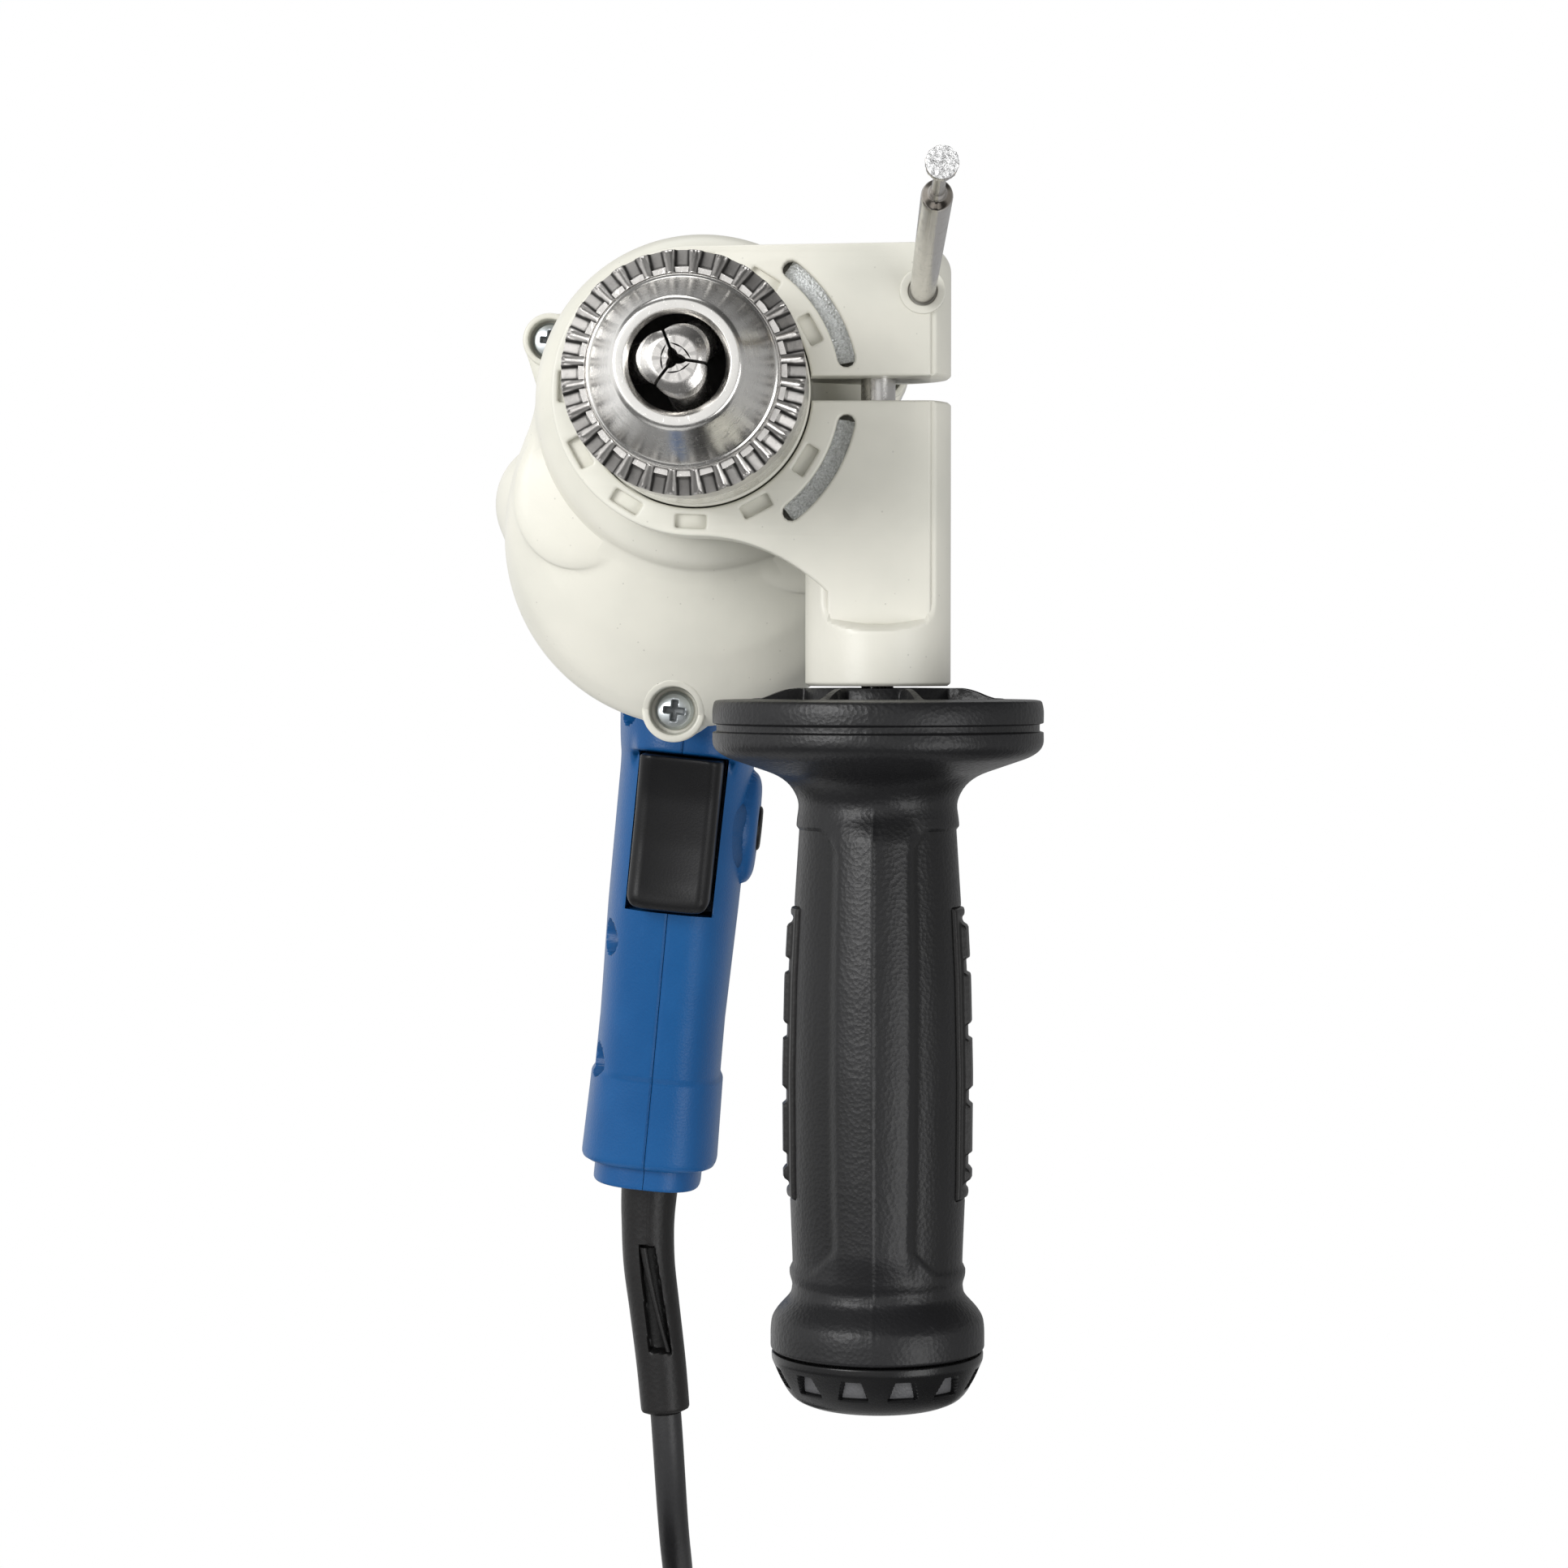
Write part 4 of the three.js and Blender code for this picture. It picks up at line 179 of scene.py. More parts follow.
class Surface:
    """Gathers grids of points into one mesh. Each point has a recess value, which its material darkens as
    painted shade.
    """

    def __init__(self):
        self.points = []
        self.faces = []
        self.recess = []
        self.count = 0

    def take(self, points, faces, recess=0.0):
        """Adds points (n, 3) and faces (m, 3 or 4) that count from 0."""
        points = np.asarray(points, float).reshape(-1, 3)
        self.points.append(points)
        self.recess.append(np.broadcast_to(np.asarray(recess, float).reshape(-1), (len(points),)))
        self.faces.extend((np.asarray(faces, int) + self.count).tolist())
        self.count += len(points)
        return self

    def grid(self, points, around=True, along=False, caps=(False, False), recess=0.0):
        """Rows of points become quads: around joins the last column to the first, along the last row to the
        first, and caps close the first and last rows with a fan to their middle."""
        points = np.asarray(points, float)
        rows, columns = points.shape[:2]
        shade = np.broadcast_to(np.asarray(recess, float), (rows, columns)).reshape(-1)
        index = np.arange(rows * columns).reshape(rows, columns)
        if around:
            index = np.concatenate([index, index[:, :1]], 1)
        if along:
            index = np.concatenate([index, index[:1]], 0)
        quads = np.stack([index[:-1, :-1], index[:-1, 1:], index[1:, 1:], index[1:, :-1]], -1).reshape(-1, 4)
        flat = points.reshape(-1, 3)
        self.take(flat, quads, shade)
        base = self.count - rows * columns
        for wanted, row in ((caps[0], 0), (caps[1], rows - 1)):
            if wanted:
                ring = base + row * columns + np.arange(columns)
                self.points.append(points[row].mean(0)[None])
                self.recess.append(np.array([shade[row * columns]]))
                fan = np.stack([ring, np.roll(ring, -1), np.full(columns, self.count)], -1)
                self.faces.extend(fan.tolist())
                self.count += 1
        return self

    def sheet(self, outer, inner, recess=0.0):
        """Two grids of the same size, joined along their four borders into one closed shell."""
        self.grid(outer, around=False, recess=recess)
        self.grid(inner, around=False)
        for a, b in ((outer[0], inner[0]), (outer[-1], inner[-1]), (outer[:, 0], inner[:, 0]),
                     (outer[:, -1], inner[:, -1])):
            self.grid(np.stack([a, b]), around=False)
        return self

    def plate(self, loops, front, rear, edge, place, steps=4, wall_shade=0.0):
        """Flat outlines, the first around the outside and the rest round its holes, between two planes. A
        quarter round of radius edge runs along every outline: inset edge (1 - sin a), depth edge (1 - cos a).
        The holes' walls get painted shade that deepens with depth, up to the given share."""
        a = np.linspace(0, math.pi / 2, steps + 1)
        inset = np.concatenate([edge * (1 - np.sin(a)), edge * (1 - np.sin(a[::-1]))])
        depth = np.concatenate([front + edge * (1 - np.cos(a)), rear - edge * (1 - np.cos(a[::-1]))])
        tops = []
        for k, loop in enumerate(loops):
            loop = np.asarray(loop, float)
            turning = unit(np.roll(loop, -1, 0) - loop)
            x, z = loop.T
            area = (x * np.roll(z, -1) - np.roll(x, -1) * z).sum()
            side = (1 if area > 0 else -1) * (1 if k == 0 else -1)
            normal = unit(turning + np.roll(turning, 1, 0))
            spread = np.maximum((normal * turning).sum(1, keepdims=True), 0.5)
            inward = side * np.stack([-normal[:, 1], normal[:, 0]], -1) / spread
            flat = loop[None] + inward[None] * inset[:, None, None]
            rows = place(joined(flat[..., 0], depth[:, None], flat[..., 1]))
            # Painted shade on the holes' walls, deeper towards their rear.
            deeper = np.clip((depth[:, None] - front - 0.6 * edge) / edge, 0, 1) * wall_shade * (k > 0)
            self.grid(rows, recess=deeper)
            tops.append((flat[0], rows[0], rows[-1]))
        outlines = [[Vector((p[0], p[1], 0)) for p in flat] for flat, _, _ in tops]
        triangles = tessellate_polygon(outlines)
        self.take(np.vstack([row for _, row, _ in tops]), triangles)
        self.take(np.vstack([row for _, _, row in tops]), triangles)
        return self

    def mesh(self, name, sharp):
        """The mesh in the row frame: doubled points joined, faces outward, and edges over sharp degrees
        kept."""
        mesh = bpy.data.meshes.new(name)
        mesh.from_pydata(in_row(np.vstack(self.points)).tolist(), [], self.faces)
        tone = mesh.attributes.new("recess", "FLOAT", "POINT")
        tone.data.foreach_set("value", np.concatenate(self.recess).astype(np.float32))
        work = bmesh.new()
        work.from_mesh(mesh)
        bmesh.ops.remove_doubles(work, verts=work.verts, dist=WELD)
        bmesh.ops.dissolve_degenerate(work, edges=work.edges, dist=SLIVER)
        bmesh.ops.recalc_face_normals(work, faces=work.faces)
        work.to_mesh(mesh)
        work.free()
        mesh.shade_smooth()
        mesh.set_sharp_from_angle(angle=math.radians(sharp))
        return mesh


def spun(line, axis="y", centre=(0.0, 0.0), count=128, radius=None, angle=None):
    """A line of (place, radius) turned about an axis along y, or z: centre + radius (cos a, sin a) at each
    place. radius, if given, works out the radii from the line's grid of places, radii and angles."""
    line = np.asarray(line, float)
    angle = turns(count) if angle is None else angle
    place, r, _ = np.broadcast_arrays(line[:, :1], line[:, 1:2], angle)
    if radius is not None:
        r = radius(place, r, angle)
    u, v = centre[0] + r * np.cos(angle), centre[1] + r * np.sin(angle)
    return np.stack([u, place, v] if axis == "y" else [u, v, place], -1)


def tube(route, radii, sides=24):
    """A circle carried along a route: each ring lies in the plane of two directions at right angles to it."""
    route = np.asarray(route, float)
    ahead = unit(np.gradient(route, axis=0))
    first = np.array([1.0, 0, 0]) - ahead * ahead[:, :1]
    weak = np.linalg.norm(first, axis=1, keepdims=True)
    first = np.where(weak > 1e-3, first / np.maximum(weak, 1e-3), np.array([0, 0, 1.0]))
    second = np.cross(ahead, first)
    angle = turns(sides)[..., None]
    radii = np.broadcast_to(np.asarray(radii, float), (len(route),))[:, None, None]
    return route[:, None] + radii * (first[:, None] * np.cos(angle) + second[:, None] * np.sin(angle))


def fit(name, surface, body, finish, nodes=(), sharp=38):
    """Makes the surface an object that rides on a body, in place of the CAD nodes that it stands for. Its
    one material slot holds the finish of that name."""
    made = bpy.data.objects.new(name, surface.mesh(name, sharp))
    bpy.context.scene.collection.objects.link(made)
    made.data.materials.append(FINISHES[finish])
    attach(made, body)
    if nodes:
        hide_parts(*nodes)
    return made


# Shader maths

class Number:
    """A number that varies over a surface: a socket on which arithmetic adds Math nodes."""

    def __init__(self, finish, socket):
        self.finish = finish
        self.socket = socket

    def worked(self, operation, *values):
        node = self.finish.node("ShaderNodeMath", {"operation": operation}, dict(enumerate(values)))
        return Number(self.finish, node.outputs[0])

    def __add__(self, other):
        return self.worked("ADD", self, other)

    __radd__ = __add__

    def __sub__(self, other):
        return self.worked("SUBTRACT", self, other)

    def __rsub__(self, other):
        return self.worked("SUBTRACT", other, self)

    def __mul__(self, other):
        return self.worked("MULTIPLY", self, other)

    __rmul__ = __mul__

    def between(self, low, high, start=0.0, end=1.0):
        """The value from low to high, turned smoothly into start to end."""
        node = self.finish.node("ShaderNodeMapRange", {"interpolation_type": "SMOOTHSTEP"},
                                {0: self, 1: low, 2: high, 3: start, 4: end})
        return Number(self.finish, node.outputs[0])


class Finish:
    """A material: its Principled shader, and ways to add nodes that read Object coordinates in metres."""

    def __init__(self, name, **constants):
        self.material = bpy.data.materials.new(name)
        self.material.use_nodes = True
        self.tree = self.material.node_tree
        self.tree.nodes.clear()
        self.shader = self.tree.nodes.new("ShaderNodeBsdfPrincipled")
        output = self.tree.nodes.new("ShaderNodeOutputMaterial")
        self.tree.links.new(self.shader.outputs[0], output.inputs[0])
        for key, value in constants.items():
            self.shader.inputs[key.replace("_", " ")].default_value = value
        self.place = self.node("ShaderNodeTexCoord").outputs["Object"]

    def node(self, kind, settings=None, values=None):
        """Adds a node: its settings first, then a number, a colour or a link for each of its sockets."""
        node = self.tree.nodes.new(kind)
        for key, value in (settings or {}).items():
            if key == "stops":
                while len(node.color_ramp.elements) < len(value):
                    node.color_ramp.elements.new(1)
                for element, (position, colour) in zip(node.color_ramp.elements, value):
                    element.position = position
                    element.color = (*colour, 1)
            else:
                setattr(node, key, value)
        for key, value in (values or {}).items():
            self.feed(node.inputs[key], value)
        return node

    def feed(self, socket, value):
        """Links a socket, or gives it a number or a colour."""
        if isinstance(value, Number):
            self.tree.links.new(value.socket, socket)
        elif isinstance(value, bpy.types.NodeSocket):
            self.tree.links.new(value, socket)
        elif isinstance(value, (tuple, list)) and len(value) == 3 and socket.type == "RGBA":
            socket.default_value = (*value, 1)
        else:
            socket.default_value = value

    def stretched(self, x=1.0, y=1.0, z=1.0):
        """Object coordinates multiplied along each axis, so that a pattern is drawn out where the number is
        small."""
        return self.node("ShaderNodeMapping", None, {0: self.place, 3: (x, y, z)}).outputs[0]

    def noise(self, size, detail=3.0, rough=0.55, place=None):
        """Soft noise from 0 to 1 whose spots are about size millimetres."""
        node = self.node("ShaderNodeTexNoise", None, {
            "Vector": place or self.place, "Scale": 1000 / size, "Detail": detail, "Roughness": rough})
        return Number(self, node.outputs[0])

    def cells(self, size):
        """The distance to the nearest of points about size millimetres apart."""
        node = self.node("ShaderNodeTexVoronoi", None, {"Vector": self.place, "Scale": 1000 / size})
        return Number(self, node.outputs[0])

    def hollow(self):
        """The recess value of the mesh, the share of painted shade: 0 on open faces, 1 at the bottom of slots
        and gaps.
        """
        return Number(self, self.node("ShaderNodeAttribute", {"attribute_name": "recess"}).outputs["Fac"])

    def mix(self, share, first, second):
        """A colour between the first and the second."""
        node = self.node("ShaderNodeMix", {"data_type": "RGBA"}, {0: share, 6: first, 7: second})
        return node.outputs[2]

    def bumps(self, height, depth, strength=1.0, under=None):
        """Raises the surface by height (0 to 1) times depth millimetres, over the normal that lies under
        it."""
        values = {"Strength": strength, "Distance": depth * MM, "Height": height}
        if under is not None:
            values["Normal"] = under
        return self.node("ShaderNodeBump", None, values).outputs[0]

    def wear(self, colour=None, rough=None, normal=None, metal=None):
        """Feeds what varies into the shader."""
        values = {"Base Color": colour, "Roughness": rough, "Normal": normal, "Metallic": metal}
        for key, value in values.items():
            if value is not None:
                self.feed(self.shader.inputs[key], value)
        return self.material


def shade(red, green, blue):
    """A colour as the eye reads it, 0 to 255, to the linear numbers that a shader takes, by the sRGB
    curve."""
    value = np.array([red, green, blue]) / 255
    return tuple(np.where(value <= 0.04045, value / 12.92, ((value + 0.055) / 1.055) ** 2.4).tolist())


def scaled(colour, share):
    """A colour made darker or paler by a factor."""
    return tuple(c * share for c in colour)


def moulded(name, colour, pale, grain, depth, rough, scuff=0.25, specular=0.5):
    """Moulded plastic or rubber: a pebbled grain of the mould, cloudy gloss, fine scuffs and painted shade
    in the hollows."""
    f = Finish(name, Specular_IOR_Level=specular)
    pebble = f.cells(grain)
    fine = f.noise(grain * 0.35, 2)
    cloud = f.noise(22, 4)
    scratch = f.noise(1.6, 5, 0.7, f.stretched(1, 1, 0.12)).between(0.62, 0.74)
    hollow_shade = f.hollow()
    tone = f.mix(cloud.between(0.35, 0.7) * 0.5 + pebble * 0.25, colour, pale)
    tone = f.mix(scratch * scuff, tone, tuple(min(c * 1.9 + 0.02, 1) for c in pale))
    # Painted shade: the colour falls to a quarter where the mesh marks a recess.
    tone = f.mix(hollow_shade * 0.85, tone, scaled(colour, 0.25))
    gloss = rough + (cloud - 0.5) * 0.16 + scratch * 0.12 - pebble * 0.06
    relief = f.bumps(pebble * 0.7 + fine * 0.3, depth, 0.6)
    return f.wear(tone, gloss, relief)


def painted(name, colour, rough):
    """Satin paint on a casting: a faint orange peel over sand-cast unevenness, a few specks, painted shade
    in hollows."""
    f = Finish(name, Specular_IOR_Level=0.45, Coat_Weight=0.12, Coat_Roughness=0.3)
    peel = f.noise(1.1, 3, 0.5)
    swell = f.noise(9, 3, 0.5)
    cloud = f.noise(34, 4)
    specks = f.cells(3.2).between(0.035, 0.07, 1, 0)
    rubbed = f.noise(2.2, 6, 0.72).between(0.66, 0.78)
    hollow_shade = f.hollow()
    grey = tuple(c * k for c, k in zip(colour, (0.86, 0.87, 0.87)))
    tone = f.mix(cloud.between(0.3, 0.72), colour, grey)
    # The last pair is painted shade, darkest where the mesh marks a recess.
    for share, darker in ((rubbed * 0.16, 0.72), (specks * 0.5, 0.55), (hollow_shade * 0.8, 0.2)):
        tone = f.mix(share, tone, scaled(colour, darker))
    gloss = rough + (cloud - 0.5) * 0.14 + rubbed * 0.12
    relief = f.bumps(peel, 0.05, 0.5, f.bumps(swell, 0.22, 0.5))
    return f.wear(tone, gloss, relief)


def metal(name, colour, dark, rough, brushed, grain, scratch, depth, stain=0.4):
    """Bare metal: lines left by turning or drawing, cloudy tarnish, fine scratches, and painted shade in the
    hollows, where it is also rougher and less metallic."""
    f = Finish(name, Metallic=1.0)
    lines = f.noise(grain, 5, 0.7, f.stretched(*brushed))
    cloud = f.noise(7, 4, 0.6)
    tarnish = f.noise(2.6, 6, 0.7).between(0.5, 0.72)
    marks = f.noise(0.9, 6, 0.75, f.stretched(1, 0.2, 0.5)).between(0.6, 0.7)
    hollow_shade = f.hollow()
    tone = f.mix(lines * 0.45 + cloud * 0.35, colour, dark)
    tone = f.mix(tarnish * stain * 0.5, tone, scaled(dark, 0.5))
    # Painted shade: nearly black where the mesh marks a recess.
    tone = f.mix(hollow_shade, tone, (0.012, 0.011, 0.010))
    gloss = rough + (lines - 0.5) * 0.2 + tarnish * 0.12 + marks * scratch * 0.3 + hollow_shade * 0.35
    relief = f.bumps(lines + marks * scratch, depth, 0.7)
    return f.wear(tone, gloss, relief, 1 - hollow_shade * 0.7)


def sparkling(name, colour, dark, size, rough):
    """Rough cast or cut metal: small facets that each lean another way, with dull hollows between them, and
    painted shade where the mesh marks a recess.
    """
    f = Finish(name, Metallic=1.0)
    facets = f.cells(size)
    crumbs = f.noise(size * 0.7, 6, 0.75)
    cloud = f.noise(5, 4)
    tone = f.mix(crumbs.between(0.3, 0.7), dark, colour)
    tone = f.mix(cloud.between(0.5, 0.8) * 0.5, tone, scaled(dark, 0.6))
    # Painted shade: nearly black where the mesh marks a recess.
    tone = f.mix(f.hollow(), tone, (0.02, 0.02, 0.018))
    return f.wear(tone, rough + (crumbs - 0.5) * 0.3, f.bumps(facets + crumbs, 0.16, 0.9))


def banded(finish, direction, scale, distortion):
    """Bands across one axis, from 0 to 1."""
    wave = finish.node("ShaderNodeTexWave", {"wave_type": "BANDS", "bands_direction": direction},
                       {"Vector": finish.place, "Scale": scale, "Distortion": distortion, "Detail": 2.0})
    return Number(finish, wave.outputs[1])


def laminated():
    """A stack of thin steel sheets across the shaft, with varnish between them."""
    f = Finish("laminated_steel", Metallic=1.0)
    edges = banded(f, "Y", 320.0, 0.3)
    rust = f.noise(4, 5, 0.7).between(0.5, 0.75)
    tone = f.mix(edges, (0.20, 0.20, 0.21), (0.42, 0.42, 0.43))
    tone = f.mix(rust * 0.4, tone, (0.16, 0.09, 0.05))
    return f.wear(tone, 0.42 + rust * 0.25, f.bumps(edges, 0.1, 0.7))


def wound():
    """Enamelled copper wire laid side by side, under a little varnish."""
    f = Finish("copper", Metallic=1.0)
    strands = banded(f, "Z", 220.0, 1.2)
    cloud = f.noise(5, 4)
    tone = f.mix(strands * 0.6 + cloud * 0.4, (0.38, 0.13, 0.05), (0.72, 0.30, 0.13))
    return f.wear(tone, 0.3 + cloud * 0.25, f.bumps(strands, 0.3, 0.8))


# Name: colour, paler colour, size and depth of the grain in millimetres, roughness, scuffs, specular level
PLASTICS = {
    "blue_plastic": ((14, 78, 134), (21, 88, 146), 0.55, 0.07, 0.42, 0.05, 0.3),
    "black_plastic": ((20, 20, 21), (29, 29, 31), 0.8, 0.14, 0.42, 0.2, 0.34),
    "trigger_plastic": ((20, 20, 21), (26, 26, 27), 0.5, 0.04, 0.45, 0.08, 0.25),
    "cap_plastic": ((15, 15, 16), (22, 22, 23), 0.5, 0.04, 0.3, 0.15, 0.3),
    "window_plastic": ((66, 66, 68), (98, 98, 100), 0.5, 0.16, 0.5, 0.5),
    "black_rubber": ((18, 17, 17), (28, 27, 27), 1.1, 0.1, 0.46, 0.2, 0.32),
    "cord_rubber": ((26, 26, 27), (38, 38, 40), 0.9, 0.06, 0.48, 0.35),
    "tan_resin": ((150, 112, 66), (176, 140, 92), 0.6, 0.05, 0.5),
    "carbon": ((30, 30, 31), (46, 46, 47), 0.4, 0.08, 0.6),
}
# Name: colour, darker colour, roughness, stretch of the lines along x, y and z, their size in millimetres,
# scratches, depth in millimetres, stain
METALS = {
    "bright_steel": ((0.70, 0.69, 0.67), (0.44, 0.43, 0.42), 0.24, (1, 0.05, 1), 0.7, 0.3, 0.02),
    "turned_steel": ((0.93, 0.92, 0.89), (0.62, 0.60, 0.57), 0.24, (1, 14, 1), 6.0, 0.3, 0.03, 0.25),
    "tool_steel": ((0.84, 0.82, 0.79), (0.50, 0.48, 0.46), 0.26, (1, 1, 1), 0.6, 0.5, 0.04, 0.35),
    "tooth_steel": ((0.78, 0.76, 0.73), (0.42, 0.40, 0.38), 0.3, (1, 0.4, 1), 0.5, 0.5, 0.05, 0.8),
    "zinc": ((0.80, 0.85, 0.87), (0.40, 0.43, 0.45), 0.34, (1, 1, 1), 0.8, 0.4, 0.04, 0.6),
    "chrome": ((0.40, 0.36, 0.31), (0.16, 0.14, 0.12), 0.12, (1, 0.03, 1), 0.5, 0.3, 0.02, 0.3),
    "brass": ((0.80, 0.60, 0.28), (0.56, 0.40, 0.17), 0.28, (1, 1, 0.1), 0.5, 0.4, 0.03),
    "bronze": ((0.56, 0.37, 0.20), (0.36, 0.23, 0.12), 0.4, (1, 0.1, 1), 0.5, 0.3, 0.04),
}
# Name: colour, darker colour, size of the facets in millimetres, roughness
ROUGH_METALS = {
    "cast_aluminium": ((0.74, 0.76, 0.76), (0.40, 0.41, 0.41), 0.5, 0.4),
    "cut_steel": ((0.78, 0.78, 0.78), (0.34, 0.34, 0.34), 0.7, 0.3),
}

FINISHES = {"cream_paint": painted("cream_paint", shade(219, 217, 206), 0.42)}
for finish_name, (deep, light, *numbers) in PLASTICS.items():
    FINISHES[finish_name] = moulded(finish_name, shade(*deep), shade(*light), *numbers)
FINISHES |= {finish_name: metal(finish_name, *numbers) for finish_name, numbers in METALS.items()}
FINISHES |= {finish_name: sparkling(finish_name, *numbers) for finish_name, numbers in ROUGH_METALS.items()}
FINISHES |= {"laminated_steel": laminated(), "copper": wound()}


# Camera, backdrop and light

CAMERA = {"place": (37.05, -665.0, -46.38), "left": 0.02318, "down": 0.03477, "lens": 81.99, "sensor": 36}
FLOOR = {"height": -418.0, "middle": (10, 90), "radii": (0.4, 200.0, 460.0), "fade": (0.28, 0.45)}
# Lamp: place, aim, width and height in millimetres, power in watts
LAMPS = {
    "key_lamp": ((-500, -700, 120), (20, 40, -90), (420, 420), 5.5),
    "fill_lamp": ((640, -560, -260), (10, 40, -60), (420, 600), 3.0),
    "top_lamp": ((-160, 160, 820), (10, 60, -60), (520, 520), 2.0),
}
# What metal mirrors falls smoothly between two shares of a direction: from, to, level before, level after
OVERHEAD = (0.28, 0.56, 1.0, 0.16)
RIGHT_HAND = (0.08, 0.45, 1.0, 0.42)
BEHIND_DRILL = (0.93, 0.992, 1.0, 0.4)


def set_camera():
    """Looks past the chuck along +y, a little to the left and down, rolled so that the handle stands
    upright."""
    up = np.array([-math.sin(-CLAMP_LEAN), 0, math.cos(CLAMP_LEAN)])
    across = np.array([math.cos(CLAMP_LEAN), 0, math.sin(-CLAMP_LEAN)])
    ahead = unit(np.array([0, 1.0, 0]) - CAMERA["left"] * across - CAMERA["down"] * up)
    right = unit(np.cross(ahead, up))
    lens = bpy.data.cameras.new("camera")
    lens.lens = CAMERA["lens"]
    lens.sensor_width = CAMERA["sensor"]
    lens.sensor_fit = "HORIZONTAL"
    lens.clip_start = 0.01
    camera = bpy.data.objects.new("camera", lens)
    bpy.context.scene.collection.objects.link(camera)
    turn = Matrix([right, np.cross(right, ahead), -ahead]).transposed().to_4x4()
    camera.matrix_world = Matrix.Translation(Vector(in_row(CAMERA["place"]))) @ turn
    bpy.context.scene.camera = camera


def set_floor():
    """A pale round floor below the plug that fades out to the white of the backdrop towards its rim."""
    rings = spun([(FLOOR["height"], r) for r in FLOOR["radii"]], "z", FLOOR["middle"], 96)
    mesh = bpy.data.meshes.new("floor")
    faces = Surface().grid(rings, caps=(True, False))
    mesh.from_pydata(in_row(np.vstack(faces.points)).tolist(), [], faces.faces)
    floor = bpy.data.objects.new("floor", mesh)
    bpy.context.scene.collection.objects.link(floor)
    f = Finish("floor", Roughness=0.9, Specular_IOR_Level=0.1)
    f.shader.inputs["Base Color"].default_value = (0.92, 0.92, 0.92, 1)
    out = f.node("ShaderNodeVectorMath", {"operation": "LENGTH"}, {0: f.place}).outputs["Value"]
    clear = f.node("ShaderNodeBsdfTransparent")
    blend = f.node("ShaderNodeMixShader", None, {0: Number(f, out).between(*FLOOR["fade"])})
    f.tree.links.new(f.shader.outputs[0], blend.inputs[1])
    f.tree.links.new(clear.outputs[0], blend.inputs[2])
    end = [n for n in f.tree.nodes if n.type == "OUTPUT_MATERIAL"][0]
    f.tree.links.new(blend.outputs[0], end.inputs[0])
    mesh.materials.append(f.material)


def set_world():
    """White all round for what the camera sees. In metal it is darker overhead, below, on the right and
    straight behind the drill. Dull surfaces get more light from the left."""
    world = bpy.data.worlds.new("world")
    bpy.context.scene.world = world
    world.use_nodes = True
    tree = world.node_tree
    tree.nodes.clear()

    def add(kind, **settings):
        node = tree.nodes.new(kind)
        for key, value in settings.items():
            setattr(node, key, value)
        return node

    def maths(operation, *values):
        node = add("ShaderNodeMath", operation=operation)
        for i, value in enumerate(values):
            if isinstance(value, bpy.types.NodeSocket):
                tree.links.new(value, node.inputs[i])
            else:
                node.inputs[i].default_value = value
        return node.outputs[0]

    def falling(value, numbers):
        node = add("ShaderNodeMapRange", interpolation_type="SMOOTHSTEP")
        tree.links.new(value, node.inputs["Value"])
        for name, number in zip(("From Min", "From Max", "To Min", "To Max"), numbers):
            node.inputs[name].default_value = number
        return node.outputs[0]

    path = add("ShaderNodeLightPath").outputs
    way = add("ShaderNodeSeparateXYZ")
    tree.links.new(add("ShaderNodeTexCoord").outputs["Generated"], way.inputs[0])
    front = maths("MAXIMUM", maths("MULTIPLY", way.outputs[1], -1.0), 0.0)
    nearer = maths("SUBTRACT", 1.0, maths("MULTIPLY", maths("POWER", front, 3.0), 0.1))
    dim = maths("MULTIPLY", falling(maths("ABSOLUTE", way.outputs[2]), OVERHEAD), nearer)
    for side, numbers in ((way.outputs[0], RIGHT_HAND), (way.outputs[1], BEHIND_DRILL)):
        dim = maths("MULTIPLY", dim, falling(side, numbers))
    lit = maths("SUBTRACT", 0.6, maths("MULTIPLY", way.outputs[0], 0.2))
    seen = maths("MAXIMUM", path["Is Camera Ray"], path["Is Transmission Ray"])
    glossy = maths("MULTIPLY", path["Is Glossy Ray"], dim)
    other = maths("SUBTRACT", 1.0, maths("MAXIMUM", seen, path["Is Glossy Ray"]))
    level = maths("ADD", maths("ADD", seen, glossy), maths("MULTIPLY", other, lit))
    light = add("ShaderNodeBackground")
    light.inputs[0].default_value = (1, 1, 1, 1)
    tree.links.new(level, light.inputs[1])
    end = add("ShaderNodeOutputWorld")
    tree.links.new(light.outputs[0], end.inputs[0])


def set_lamp(name, place, aim, size, power):
    """A soft lamp at a place, aimed at a point."""
    data = bpy.data.lights.new(name, "AREA")
    data.shape = "RECTANGLE"
    data.size, data.size_y = size[0] * MM, size[1] * MM
    data.energy = power
    lamp = bpy.data.objects.new(name, data)
    bpy.context.scene.collection.objects.link(lamp)
    start, end = Vector(in_row(place)), Vector(in_row(aim))
    turn = (end - start).to_track_quat("-Z", "Y").to_matrix().to_4x4()
    lamp.matrix_world = Matrix.Translation(start) @ turn


bpy.context.scene.view_settings.view_transform = "Standard"
set_camera()
set_floor()
set_world()
for lamp_name, settings in LAMPS.items():
    set_lamp(lamp_name, *settings)


# Mains lead

